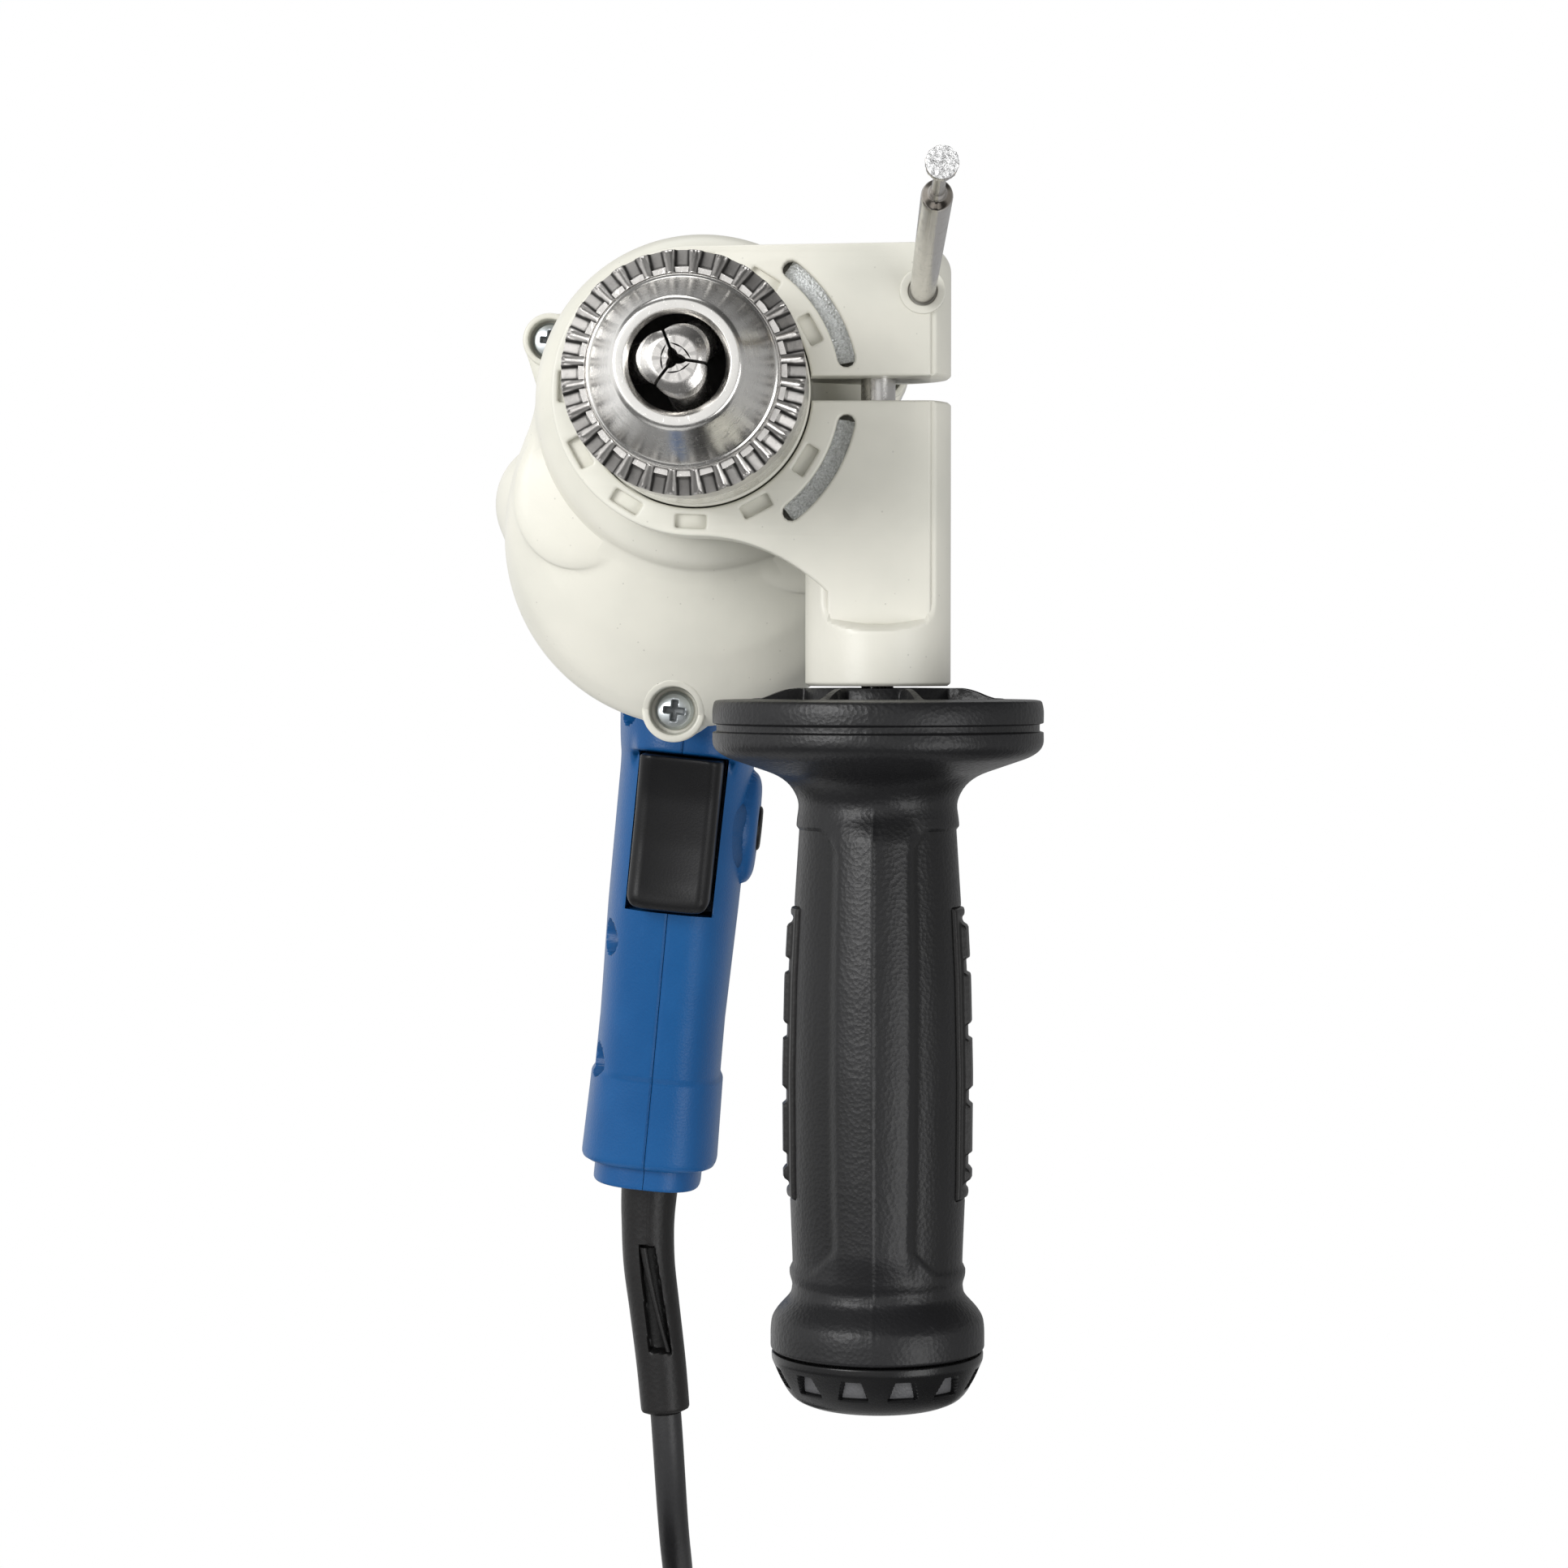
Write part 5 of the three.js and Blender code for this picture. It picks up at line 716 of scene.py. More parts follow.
CORD_DIAMETER = 7.0
LEAD = [(9.66, 139, -220.82), (10.9, 139.3, -228), (12.2, 141.1, -236.5), (13.4, 144.7, -245),
        (14.5, 150.0, -253), (15.5, 157.2, -260.5), (16.2, 164.8, -267.4), (16.8, 172.1, -275),
        (17.3, 177.6, -283), (17.6, 181.1, -291.5), (17.7, 182.8, -300), (17.7, 183.1, -308.0)]
COIL = {"x": 17.7, "y": 139.0, "z": -316.0, "outer": 44.1, "pitch": 7.45, "layers": 4, "turns": 2,
        "climb": 0.25, "run": 7.7, "tail": 42.0, "steps": 48}
TIE = {"width": 14.0, "thickness": 1.4, "play": 0.3, "corner": 3.0, "weave": 0.12}
PLUG = {"gap": 0.3, "neck_length": 12.0, "length": 26.0, "ridges": (14, 16, 30, 32), "pin": 2.4,
        "pin_length": 19.0, "spacing": 19.0, "sleeved": 10.0, "sleeve": 0.15}
# The plug at each distance below its top: half its width, half its thickness
PLUG_SHAPE = [(0, 5, 5), (.6, 5.6, 5.6), (3, 5.5, 5.5), (6, 5.4, 5.4), (9, 5.6, 5.5), (11.2, 6.6, 6.0),
              (12.8, 8.5, 6.6), (15, 11.5, 7.1), (18, 14.6, 7.4), (21, 16.2, 7.5), (24, 16.9, 7.5),
              (27, 17, 7.5), (30, 17, 7.5), (33, 17, 7.5), (35.5, 16.9, 7.4), (37.2, 16.4, 6.9),
              (38, 15.4, 6.0), (38, 13, 5)]


def coil_route():
    """The coil: radius outer - pitch times a triangle wave of the turn, and a step sideways at each
    reversal."""
    k = COIL
    turn = np.arange(k["layers"] * k["turns"] * k["steps"] + 1) / k["steps"]
    phase = turn % (2 * k["turns"])
    inward = np.where(phase <= k["turns"], phase, 2 * k["turns"] - phase)
    reversals = k["turns"] * np.arange(1, k["layers"])[:, None]
    climbed = step(0, 1, (turn - reversals + k["climb"]) / (2 * k["climb"])).sum(0)
    radius = k["outer"] - k["pitch"] * inward
    coil = joined(k["x"] - k["pitch"] * climbed, k["y"] + radius * np.cos(TURN * turn),
                  k["z"] - radius * np.sin(TURN * turn))
    side = k["y"] + k["outer"]
    tail = joined(coil[-1, 0], side, k["z"] - np.linspace(k["run"], k["tail"], 12))
    return np.vstack([[[k["x"], side, k["z"] + k["run"]]], coil, tail])


def make_lead():
    """The lead, from inside the sleeve's end down to its coil and on to the plug, as one tube."""
    coil = coil_route()
    route = np.vstack([smooth_route(LEAD, 2.5)[:-1], coil])
    surface = Surface().grid(tube(route, CORD_DIAMETER / 2, 20), caps=(True, True))
    cord = fit("cord", surface, "housing", "cord_rubber", ("cord_lead", "cord_coil"), 60)
    length = np.linalg.norm(np.diff(route, axis=0), axis=1).sum()
    return cord, route, coil, length


def make_tie(coil):
    """A strap round the coil: a flat strip of rounded section carried round a rectangle with round
    corners."""
    k, thick, half, spare = COIL, TIE["thickness"], TIE["width"] / 2, TIE["play"]
    cord_radius = CORD_DIAMETER / 2
    inner = k["outer"] - k["pitch"] * k["turns"] - cord_radius
    low = k["z"] + math.sqrt(inner ** 2 - half ** 2) - 2 * spare
    high = k["z"] + k["outer"] + cord_radius + 2 * spare
    left = coil[:, 0].min() - cord_radius - spare
    right = coil[:, 0].max() + cord_radius + spare
    corner = TIE["corner"]
    path = np.vstack([arc(x, z, corner, start, start + 90, 9) for x, z, start in (
        (right - corner, high - corner, 0), (left + corner, high - corner, 90),
        (left + corner, low + corner, 180), (right - corner, low + corner, 270))])
    path = closer(np.vstack([path, path[:1]]), 2.0)[:-1]
    ahead = unit(np.roll(path, -1, 0) - np.roll(path, 1, 0))
    outward = np.stack([ahead[:, 1], -ahead[:, 0]], -1)
    rise, wide = rounded([(0, -half), (0, half, 0.5), (thick, half, 0.6), (thick, -half, 0.6),
                          (0, -half, 0.5), (0, 1 - half)], 3).T
    weave = TIE["weave"] * np.sin(np.arange(len(path)) * 1.3)[:, None] * (rise > thick * 0.9)
    spot = path[:, None] + outward[:, None] * (rise + weave)[..., None]
    surface = Surface().grid(joined(spot[..., 0], COIL["y"] + wide, spot[..., 1]), along=True)
    return fit("coil_tie", surface, "housing", "black_rubber", ("cord_tie",))


def make_plug(coil):
    """The plug: rounded boxes lofted down its length with grip ridges, and two half-sleeved round pins."""
    x, y, end = coil[-1]
    top = end - PLUG["gap"]
    line = closer(PLUG_SHAPE, 0.5)
    down, half, deep = (line[:, k:k + 1] for k in range(3))
    angle = turns(96)
    power = 1 - 0.55 * step(8, 14, down)
    ridge = 0.5 * hump(down, *PLUG["ridges"]) * (0.5 + 0.5 * np.cos(down * 2.4))
    ridge = ridge * step(0.55, 0.9, np.abs(np.cos(angle)))
    u, v = (half - ridge) * boxed(np.cos(angle), power), deep * boxed(np.sin(angle), power)
    surface = Surface().grid(joined(x + u, y + v, top - down), caps=(True, True))
    made = [fit("plug", surface, "housing", "cord_rubber", ("plug_body",))]
    bottom = top - PLUG["neck_length"] - PLUG["length"]
    tip = bottom - PLUG["gap"] - PLUG["pin_length"]
    sleeved, outer = bottom - PLUG["sleeved"], PLUG["pin"]
    bare = outer - PLUG["sleeve"]
    pin = rounded([(bottom, 0), (bottom, outer, 0.2), (sleeved, outer, 0.2), (sleeved, bare),
                   (tip, bare, 1.2), (tip, 0)], 5)
    for side, name in ((-1, "left"), (1, "right")):
        surface = Surface().grid(spun(pin, "z", (x + side * PLUG["spacing"] / 2, y), 32))
        made.append(fit("pin_" + name, surface, "housing", "brass", ("plug_pin_" + name,)))
    return made


cord, cord_route, cord_coil, cord_length = make_lead()
coil_tie = make_tie(cord_coil)
plug_pieces = make_plug(cord_coil)
print(f"lead {cord_length:.0f} mm from the sleeve to the plug")


# Chuck

RING = {"teeth": 28, "columns": 24, "rim": 21.35, "foot": 17.25, "hub": 18.7, "front": -44.0, "rear": -27.0,
        "toothed": -40.4, "slot": (0.9, 1.42), "slot_depth": 2.0, "crest": 0.28, "burr": 0.22}
JAW = {"radius": 3.6, "length": 31.0, "slope": math.radians(17), "tip": -71.0, "offset": 0.6, "gap": 0.3,
       "first": 178.0, "spread": math.radians(60), "stouter": 1.1, "stout": (3.4, 6.2), "bevel": 0.35}


def make_chuck_body():
    """The chuck's body, turned: a nose with a bevelled rim and a cone, and the rear cup behind the key
    ring."""
    nose = closer(rounded([(-44, 15.4), (-44, 16.75), (-46.1, 16.75, 0.25), (-46.3, 16.2, 0.2),
                           (-62.5, 11.35, 0.5), (-63.1, 10.7, 0.35), (-63.1, 9.0, 0.3), (-62.1, 8.15, 0.3),
                           (-55, 10.7), (-44, 14.75), (-44, 15.4)]), 1.2)
    cup = closer(rounded([(-4, 9), (-4, 20.5, 0.3), (-4.9, 21.3, 0.4), (-26.7, 21.3, 0.3), (-26.7, 18.3, 0.2),
                          (-38.5, 18.3, 0.3), (-38.5, 14.8), (-27, 18.15), (-19, 20.6), (-8, 20.6),
                          (-8, 6.35), (-4, 6.35), (-4, 9)]), 2.0)
    surface = Surface().grid(spun(nose[:-1], count=192), along=True).grid(spun(cup[:-1], count=160),
                                                                          along=True)
    fit("chuck_cone", surface, "spindle_unit", "turned_steel", ("chuck_body",), 28)


def make_key_ring():
    """The toothed ring: radius and place follow a profile, and in the slots the face lies deeper. A slot's
    share is 1 within half its floor's width of its middle line and 0 beyond half its mouth's width."""
    front, rear, rim, hub = RING["front"], RING["rear"], RING["rim"], RING["hub"]
    line = closer(rounded([(front, hub), (front, 17.0), (-44.9, 17.0, 0.2), (-45, RING["foot"], 0.1),
                           (-44.75, 17.75), (-42.9, 21.05, 0.2), (-42.5, rim, 0.2), (-40.6, rim),
                           (rear, rim, 0.4), (rear, hub), (front, hub)], 3), 0.35)[:-1]
    angle = turns(RING["teeth"] * RING["columns"])
    pitch = TURN / RING["teeth"]
    place, r = line[:, :1], line[:, 1:]
    off = np.abs((angle % pitch) - pitch / 2) * r
    slot = 1 - step(*RING["slot"], off)
    crest = RING["crest"] * np.clip((off - pitch / 2 * r) / 0.62, -1, 0) ** 2
    face = step(17.05, 17.3, r) * (place < RING["toothed"])
    floor = -42.75 - 0.55 * (rim - np.clip(r, 17.2, rim)) + RING["slot_depth"]
    depth = np.maximum(floor - place, 0) * face
    burr = RING["burr"] * np.sin(angle * 173) * np.sin(angle * 71 + 2) * step(20.2, 21.3, r) * (place < -41.5)
    y = place + np.maximum(depth * slot, crest * face) + burr * (1 - slot)
    # Dark oxide between the teeth, with painted shade on the slots' walls and on their floors, most near the
    # teeth's foot.
    flank = np.exp(-((off - sum(RING["slot"]) / 2) / 0.36) ** 2)
    foot = 1 - step(17.5, 18.1, r)
    oxide_and_shade = np.clip(face * (flank * 0.95 + slot * (0.3 + 0.6 * foot)), 0, 1)
    surface = Surface().grid(joined(r * np.cos(angle), y, r * np.sin(angle)), along=True, recess=oxide_and_shade)
    fit("key_ring", surface, "key_sleeve", "tooth_steel", ("chuck_sleeve",), 30)


def make_jaw(index, body):
    """A slanted rod cut to a third by two planes: each ray from the meeting edge, at up to the spread either
    side of the jaw's middle, ends where it leaves the rod's ellipse and starts where it enters it."""
    tip, slope, gap, spread = JAW["tip"], JAW["slope"], JAW["gap"], JAW["spread"]
    y = closer([(tip, 0), (tip + JAW["bevel"], 0), (tip + 4, 0), (tip + JAW["length"], 0)], 0.9)[:, 0]
    y = np.unique(np.concatenate([y, tip + np.array([0.0, 0.12, JAW["bevel"]])]))
    behind = (y - tip)[:, None]
    b = JAW["radius"] + JAW["stouter"] * (1 - step(*JAW["stout"], behind))
    a = b / math.cos(slope)
    offset = JAW["offset"] + behind * math.tan(slope) - gap
    touching = np.sqrt(np.maximum(offset ** 2 + b ** 2 - a ** 2, b * b) + 1e-9)
    widest = np.arcsin(np.clip(b / touching, 0, 0.9999))
    widest = np.where(offset > a, np.minimum(widest, spread), spread)
    t = np.linspace(-1, 1, 41)[None]
    ray = widest * t
    c, s = np.cos(ray), np.sin(ray)
    qa, qb, qc = (c / a) ** 2 + (s / b) ** 2, -2 * offset * c / a ** 2, (offset / a) ** 2 - 1
    root = np.sqrt(np.maximum(qb * qb - 4 * qa * qc, 0))
    shrink = 0.3 * (1 - arch(behind / JAW["bevel"]))
    far = np.minimum((-qb + root) / (2 * qa), 3.8 + 1.6 * behind) - shrink
    worn = 0.5 + 1.05 * np.abs(t) ** 1.8 + 0.25 * (1 - arch(behind / 0.8))
    near = np.minimum(np.maximum(np.maximum((-qb - root) / (2 * qa), 0) + shrink * 0.3, worn), far)
    u, v = (np.concatenate([far * k, (near * k)[:, ::-1]], 1) for k in (c, s))
    inward = np.linspace(0.94, 0.1, 6)[:, None]
    middle = ((far + near) / 2)[:1]
    outward, back = (middle + (edge[:1] - middle) * inward for edge in (far, near))
    reach = np.concatenate([outward, back[:, ::-1]], 1)
    way = np.concatenate([ray[:1], ray[:1, ::-1]], 1)
    u = np.concatenate([(reach * np.cos(way))[::-1], u]) + gap
    v = np.concatenate([(reach * np.sin(way))[::-1], v])
    # Painted shade and light on the end face: a step pattern round it makes its facets darker or lighter by
    # turns.
    wave = np.sin(way * 9.0 + index) + 0.6 * np.sin(way * 17.0 + 2.0 * index)
    facets = np.clip(0.16 + 0.3 * np.round(wave), 0, 0.5)
    dull = np.concatenate([np.broadcast_to(facets, reach.shape), np.zeros((len(y), u.shape[1]))])
    y = np.concatenate([np.full(len(inward), tip), y])[:, None]
    turn = math.radians(JAW["first"] - index * 120)
    points = joined(u * math.cos(turn) - v * math.sin(turn), y, u * math.sin(turn) + v * math.cos(turn))
    surface = Surface().grid(points, caps=(True, True), recess=dull)
    fit(f"chuck_jaw_{index + 1}", surface, body, "tool_steel", (f"jaw_{index + 1}",), sharp=30)


def make_bore_floor():
    """The floor of the hollow between the jaws, dark all over with painted shade."""
    line = [(-44.0, 0.0), (-44.0, 12.5), (-43.6, 12.6), (-43.6, 0.0)]
    fit("bore_floor", Surface().grid(spun(line, count=64), recess=1.0), "spindle_unit", "tool_steel")


# Screws with a cross recess

LUG_SCREW = {"radius": 3.7, "head": 2.4, "shank": 2.0, "length": 28}
FOOT_SCREW = {"radius": 3.85, "head": 2.6, "shank": 2.0, "length": 44}
CASE_SCREW = {"radius": 3.15, "head": 1.5, "shank": 1.4, "length": 13}
CROSS = {"turn": 0.35, "bar": (0.10, 0.20), "end": (0.46, 0.60)}


def cross_screw(name, node, place, axis, radius, head, shank, length):
    """A pan head with a cross recess, its dome at radius r and angle a, from which the cross of two bars
    sinks, deepest at the middle. The shank is turned behind it."""
    r = np.concatenate([np.linspace(0.02, 0.86, 26), [0.93, 0.98, 1.0]])[:, None]
    angle = turns(96) + CROSS["turn"]
    across = [np.abs(r * k(angle)) for k in (np.cos, np.sin)]
    dome = head * (1 - 0.4 * r ** 2 - 0.35 * step(0.86, 1.0, r))
    bars = [(1 - step(*CROSS["bar"], a)) * (1 - step(*CROSS["end"], b)) for a, b in (across, across[::-1])]
    bar = np.maximum(*bars)
    top = dome - np.maximum(bar * radius * (0.62 - 0.5 * r), 0)
    tip = -length - shank
    behind = np.array([(0.05, radius), (-0.02 * head, shank), (-length, shank), (tip, 0.05 * radius)])
    reach = np.concatenate([r * radius, behind[:, 1:]])
    out = np.concatenate([top, np.broadcast_to(behind[:, :1], (len(behind), 96))])
    # Painted shade in the cross recess.
    recess_shade = np.concatenate([bar * 0.75, np.zeros((len(behind), 96))])
    x, y, z = place
    u, v = reach * np.cos(angle), z + reach * np.sin(angle)
    points = joined(x + u, y - out, v) if axis == "y" else joined(x - out, y + u, v)
    fit(name, Surface().grid(points, caps=(True, True), recess=recess_shade), "housing", "zinc", (node,), sharp=30)


# Gearbox casting

EGG_Y = [30, 35, 40, 46, 78]
TOP_R = [32.4, 31.0, 29.6, 29.0, 29.0]
LOW_R = [32.4, 33.75, 36.6, 37.5, 37.5]
LOW_Z = [0.0, -14.0, -22.1, -26.0, -26.0]
SIDE_LUG = {"x": 33.9, "z": 11.5, "rim": 5.5, "bore": 4.35, "pocket": 4.9, "seat": 66.2, "front": 62.0}
FOOT_LUG = {"x": 0.0, "z": -60.4, "rim": 6.3, "bore": 4.9, "pocket": 5.7, "seat": 47.2, "front": 43.0}
LUG_ROOTS = ((20.0, 3.0, 9.0), (20.0, 12.5, 6.5), (23.0, -5.0, 9.0))
FOOT_ROOT = (0.0, -48.0, 9.5)
SWELLING = {"x": 28.0, "y": 62, "z": -21.5, "length": 13.2, "radius": 13.4, "fillet": 3.0}
LEDGE = {"starts": ((192, 1), (-12, -1)), "sweep": 58.0, "low": 30.5, "rise": 13.4, "front": 31.7,
         "fade": (46, 53)}
SELECTOR = {"y": 60.0, "seat": 29.4, "boss": 11.5, "floor": 29.7, "radius": 10.4, "shank": 3.0,
            "bottom": 14.6}
GEARBOX = {"front": 31.5, "rear": 78.0, "wall": 3.2, "flare": (30, 36), "flare_radius": 32.45}


def circle_reach(angle, x, z, r):
    """How far a ray from the spindle runs until it leaves a circle: along + root(along^2 - distance^2 +
    r^2)."""
    along = x * np.cos(angle) + z * np.sin(angle)
    inside = along ** 2 - x ** 2 - z ** 2 + r ** 2
    return np.where(inside > 0, along + np.sqrt(np.maximum(inside, 0)), 0.0)


def belt_reach(angle, first, last):
    """The furthest that a ray runs inside a belt from one circle (x, z, r) to another."""
    s = np.linspace(0, 1, 28).reshape((-1,) + (1,) * np.ndim(angle))
    x, z, r = (first[k] + (last[k] - first[k]) * s for k in range(3))
    return circle_reach(angle[None], x, z, r).max(0)


def egg_reach(y, angle, wall=0.0):
    """The plain egg's radius, a belt from its top circle to its bottom one, less a wall."""
    top, low, drop = (flowing(y, EGG_Y, v, 3) for v in (TOP_R, LOW_R, LOW_Z))
    wide = np.broadcast_to(angle, np.broadcast_shapes(y.shape, angle.shape))
    return belt_reach(wide, (0, 0 * drop, top - wall), (0, drop, low - wall))


def grown(out, reach, share, fillet, sunk=6.0):
    """The surface with a form run on to it with a fillet. Where share falls to 0 the form sinks away under
    it."""
    return molten(out, out + np.maximum(reach - out, -sunk) * share - sunk * (1 - share), fillet)


def gearbox_reach(y, angle):
    """The casting's radius about the spindle at each y and angle: the egg, its side swellings, the two ledges
    below them, the selector's pad and the roots of the three lugs, all run together with fillets."""
    out = egg_reach(y, angle)
    for side in (-1, 1):
        bulge = np.sqrt(np.maximum(1 - ((y - SWELLING["y"]) / SWELLING["length"]) ** 2, 0))
        swell = circle_reach(angle, side * SWELLING["x"], SWELLING["z"], SWELLING["radius"] * bulge)
        out = molten(out, np.where(swell > 0, swell, out - 6), SWELLING["fillet"])
        lugs = [belt_reach(angle, (side * x, z, r), (side * SIDE_LUG["x"], SIDE_LUG["z"], rim))
                for (x, z, r), rim in zip(LUG_ROOTS, (5.3, 5.5, 5.5))]
        out = grown(out, np.maximum.reduce(lugs), arch((y - 63.2) / 1.6), 2.2)
    lug = belt_reach(angle, FOOT_ROOT, (FOOT_LUG["x"], FOOT_LUG["z"], 6.0))
    out = grown(out, lug, arch((y - 44.6) / 2.2), 2.4)
    full = step(*GEARBOX["flare"], y)
    out = out * full + GEARBOX["flare_radius"] * (1 - full)
    for start, sign in LEDGE["starts"]:
        off = (np.degrees(angle) % 360 - start + 180) % 360 - 180
        share = np.clip(sign * off / LEDGE["sweep"], 0, 1)
        ledge = LEDGE["low"] + LEDGE["rise"] * np.sin(math.pi * share ** 1.25) ** 0.7
        held = arch((y - LEDGE["front"]) / 2.4) * (1 - step(*LEDGE["fade"], y)) * (share > 0) * (share < 1)
        out = grown(out, ledge, held, 1.2)
    boss = SELECTOR["boss"]
    beside = np.clip(1 - ((y - SELECTOR["y"]) / boss) ** 2, 0, 1) ** 0.5 * boss
    flat = SELECTOR["seat"] / np.maximum(np.sin(angle), 0.05)
    pad = np.where((np.sin(angle) > 0.5) & (np.abs(np.cos(angle) * flat) < beside), flat, 0)
    return np.maximum(out, pad)


def egg_front(x, z, last):
    """Where the plain egg's surface passes a point (x, z), no further back than last."""
    y = np.linspace(GEARBOX["front"], last, 150).reshape((-1,) + (1,) * x.ndim)
    beyond = egg_reach(y, np.arctan2(z, x)) >= np.hypot(x, z)
    return np.where(beyond.any(0), y.reshape(-1)[beyond.argmax(0)], last)


def make_gearbox():
    """The gearbox casting: a turned neck and flare, then the cast egg by gearbox_reach(), and a plain wall
    inside. The screws' pockets sink straight back, and the foot lug's rim follows the surface that it
    comes out of."""
    angle = np.unique(np.concatenate([turns(280)[0], np.radians(np.linspace(262, 278, 56)),
                                      np.radians(np.linspace(185, 255, 70))]))[None]
    neck = rounded([(-1, 10.2), (-1, 20.7, 0.3), (-0.2, 21.5, 0.4), (10, 21.5), (22.6, 21.5, 3.4),
                    (24.6, 27.4, 1.6), (27.3, 31.2, 2.4), (30, 32.4), (30.6, 32.5)], 7)
    bore = [(37.5, 24.0), (37.5, 13.0), (15.3, 13.0), (15.3, 15.3), (3.7, 15.3), (3.7, 9.6), (-1, 9.6)]
    stretches = ((GEARBOX["front"], GEARBOX["rear"], 50), (32.6, 47.2, 62), (63, 65, 8), (48, 74, 20))
    y = np.unique(np.round(np.concatenate([np.linspace(*stretch) for stretch in stretches]), 3))[:, None]
    outer = gearbox_reach(y, angle)
    x, z = outer * np.cos(angle), outer * np.sin(angle)
    inner = egg_reach(y, angle, GEARBOX["wall"])
    inner = np.where(np.abs(angle - math.radians(270)) < math.radians(7.6), np.minimum(inner, 53), inner)
    keep = np.linspace(np.searchsorted(y[:, 0], 38.0), len(y) - 1, 16).astype(int)[::-1]
    back = inner[keep]
    deep = y
    lugs = ((SIDE_LUG, 1), (SIDE_LUG, -1), (FOOT_LUG, 1))
    for lug, side in lugs:
        pocket = np.hypot(x - side * lug["x"], z - lug["z"]) < lug["pocket"]
        deep = np.where(pocket, np.maximum(deep, lug["seat"]), deep)
    rows = [spun(neck, angle=angle), joined(x, deep, z), joined(back * np.cos(angle), y[keep],
                                                                back * np.sin(angle)),
            spun(bore, angle=angle)]
    surface = Surface().grid(np.concatenate(rows), along=True)
    for lug, side in lugs:
        front, rim, hole = lug["front"], lug["rim"], lug["bore"]
        lip = rounded([(front + 7, rim - 0.8), (front + 6, rim), (front, rim, 0.6), (front, hole, 0.4),
                       (front + 3.6, hole - 0.25, 0.4), (front + 3.9, 2.2), (front + 7, 2.2),
                       (front + 7, rim - 0.8)], 5)[:-1]
        place, r = lip[:, :1], lip[:, 1:]
        ring = spun(lip, "y", (side * lug["x"], lug["z"]), 96)
        if lug is FOOT_LUG:
            early = egg_front(ring[..., 0], ring[..., 2], front) - front - 0.14
            ring[..., 1] += np.minimum(early, 0) * (1 - step(front + 1.0, front + 3.4, place))
        # Painted shade on the bore's wall deep inside each lug's rim.
        surface.grid(ring, along=True, recess=0.35 * (np.abs(r - hole) < 0.4) * (place > front + 2.5))
    fit("gearbox_casting", surface, "housing", "cream_paint", ("gearbox_housing",), sharp=42)


def make_selector():
    """The mode knob on top of the gearbox: a disc with a raised grip bar, its height over radius and
    angle."""
    edge, floor, middle = SELECTOR["radius"], SELECTOR["floor"], SELECTOR["y"]
    r = np.concatenate([np.linspace(0.05, 9.6, 40), [9.9, 10.2, 10.38, edge]])[:, None]
    angle = turns(160)
    bar = (1 - step(1.9, 2.7, np.abs(r * np.cos(angle)))) * (1 - step(8.6, 9.5, r))
    knurl = 0.12 * np.cos(angle * 40) * step(9.7, 10.3, r)
    top = floor + 2.0 * arch((edge + 0.05 - r) / 0.6) + 1.8 * bar + knurl
    shank, bottom = SELECTOR["shank"], SELECTOR["bottom"]
    low = spun([(floor, edge), (floor, shank), (bottom, shank), (bottom, 0.05)], "z", (0, middle),
               angle=angle)
    upper = joined(r * np.cos(angle), middle + r * np.sin(angle), top)
    surface = Surface().grid(np.concatenate([upper, low]), caps=(True, True))
    fit("mode_knob", surface, "selector_body", "black_plastic", ("mode_selector",), sharp=35)


# Clamp for the side handle, in its own upright frame

COLUMN = (34.1, 9.8)
COLUMN_RADIUS = 13.7
FACE_Y = 0.5
BACK_Y = 19.1
SLOT = (-1.8, 2.75)
ROD_AT = (42.3, 18.4)
WINDOW = {"inner": 27.1, "outer": 30.4, "first": 12.0, "last": 51.5}
BAND = {"inner": 26.9, "outer": 30.6, "first": 10.5, "last": 53.0, "front": 3.4, "rear": 6.2}
NOTCH = {"count": 11, "radius": 24.2, "across": 1.25, "along": 2.9, "corner": 0.45}
PLATE = {"ring": 26.9, "bore": 21.8, "right": 43.9, "foot": -43.6, "top": 27.5, "corner": 3.3}
HEAD_SIZE = 6.2


def ring_window(side):
    """The outline of an arc-shaped window with round ends."""
    small, large, first, last = WINDOW["inner"], WINDOW["outer"], WINDOW["first"], WINDOW["last"]
    middle, half = (small + large) / 2, (large - small) / 2
    ends = []
    for at, start in ((last, last), (first, first + 180)):
        a = math.radians(side * at)
        x, z = middle * math.cos(a), middle * math.sin(a)
        ends.append(arc(x, z, half, side * start, side * (start + 180), 7)[1:-1])
    return np.vstack([arc(0, 0, large, side * first, side * last, 26), ends[0],
                      arc(0, 0, small, side * last, side * first, 26), ends[1]])


def clamp_outline():
    """The clamp's flat outline, its slot open to the bore: ring, arch under it, edge of the column, flat
    top."""
    ring, right, foot, corner_radius = PLATE["ring"], PLATE["right"], PLATE["foot"], PLATE["corner"]
    left = arc(0, 0, ring, 90, 270, 72)
    share = np.linspace(0, 1, 26)[1:, None]
    under = np.hstack([24.6 * share, -ring - 10.4 * share ** 2.2])
    low = np.array([[24.6, foot], [right, foot], [right, SLOT[0]]])
    first, last = (math.degrees(math.asin(v / PLATE["bore"])) for v in SLOT)
    bore = arc(0, 0, PLATE["bore"], first, last - 360, 110)
    shoulder = PLATE["top"] - corner_radius
    top = np.array([[right, SLOT[1]], [right, shoulder]])
    corner = arc(right - corner_radius, shoulder, corner_radius, 0, 90, 8)[1:]
    return closer(np.vstack([left, under, low, bore, top, corner, left[:1]]), 2.0)[:-1]


def on_column(reach, angle, z):
    """Points at a reach from the column's axis, at an angle round it and a height."""
    return joined(COLUMN[0] + reach * np.cos(angle), COLUMN[1] + reach * np.sin(angle), z)


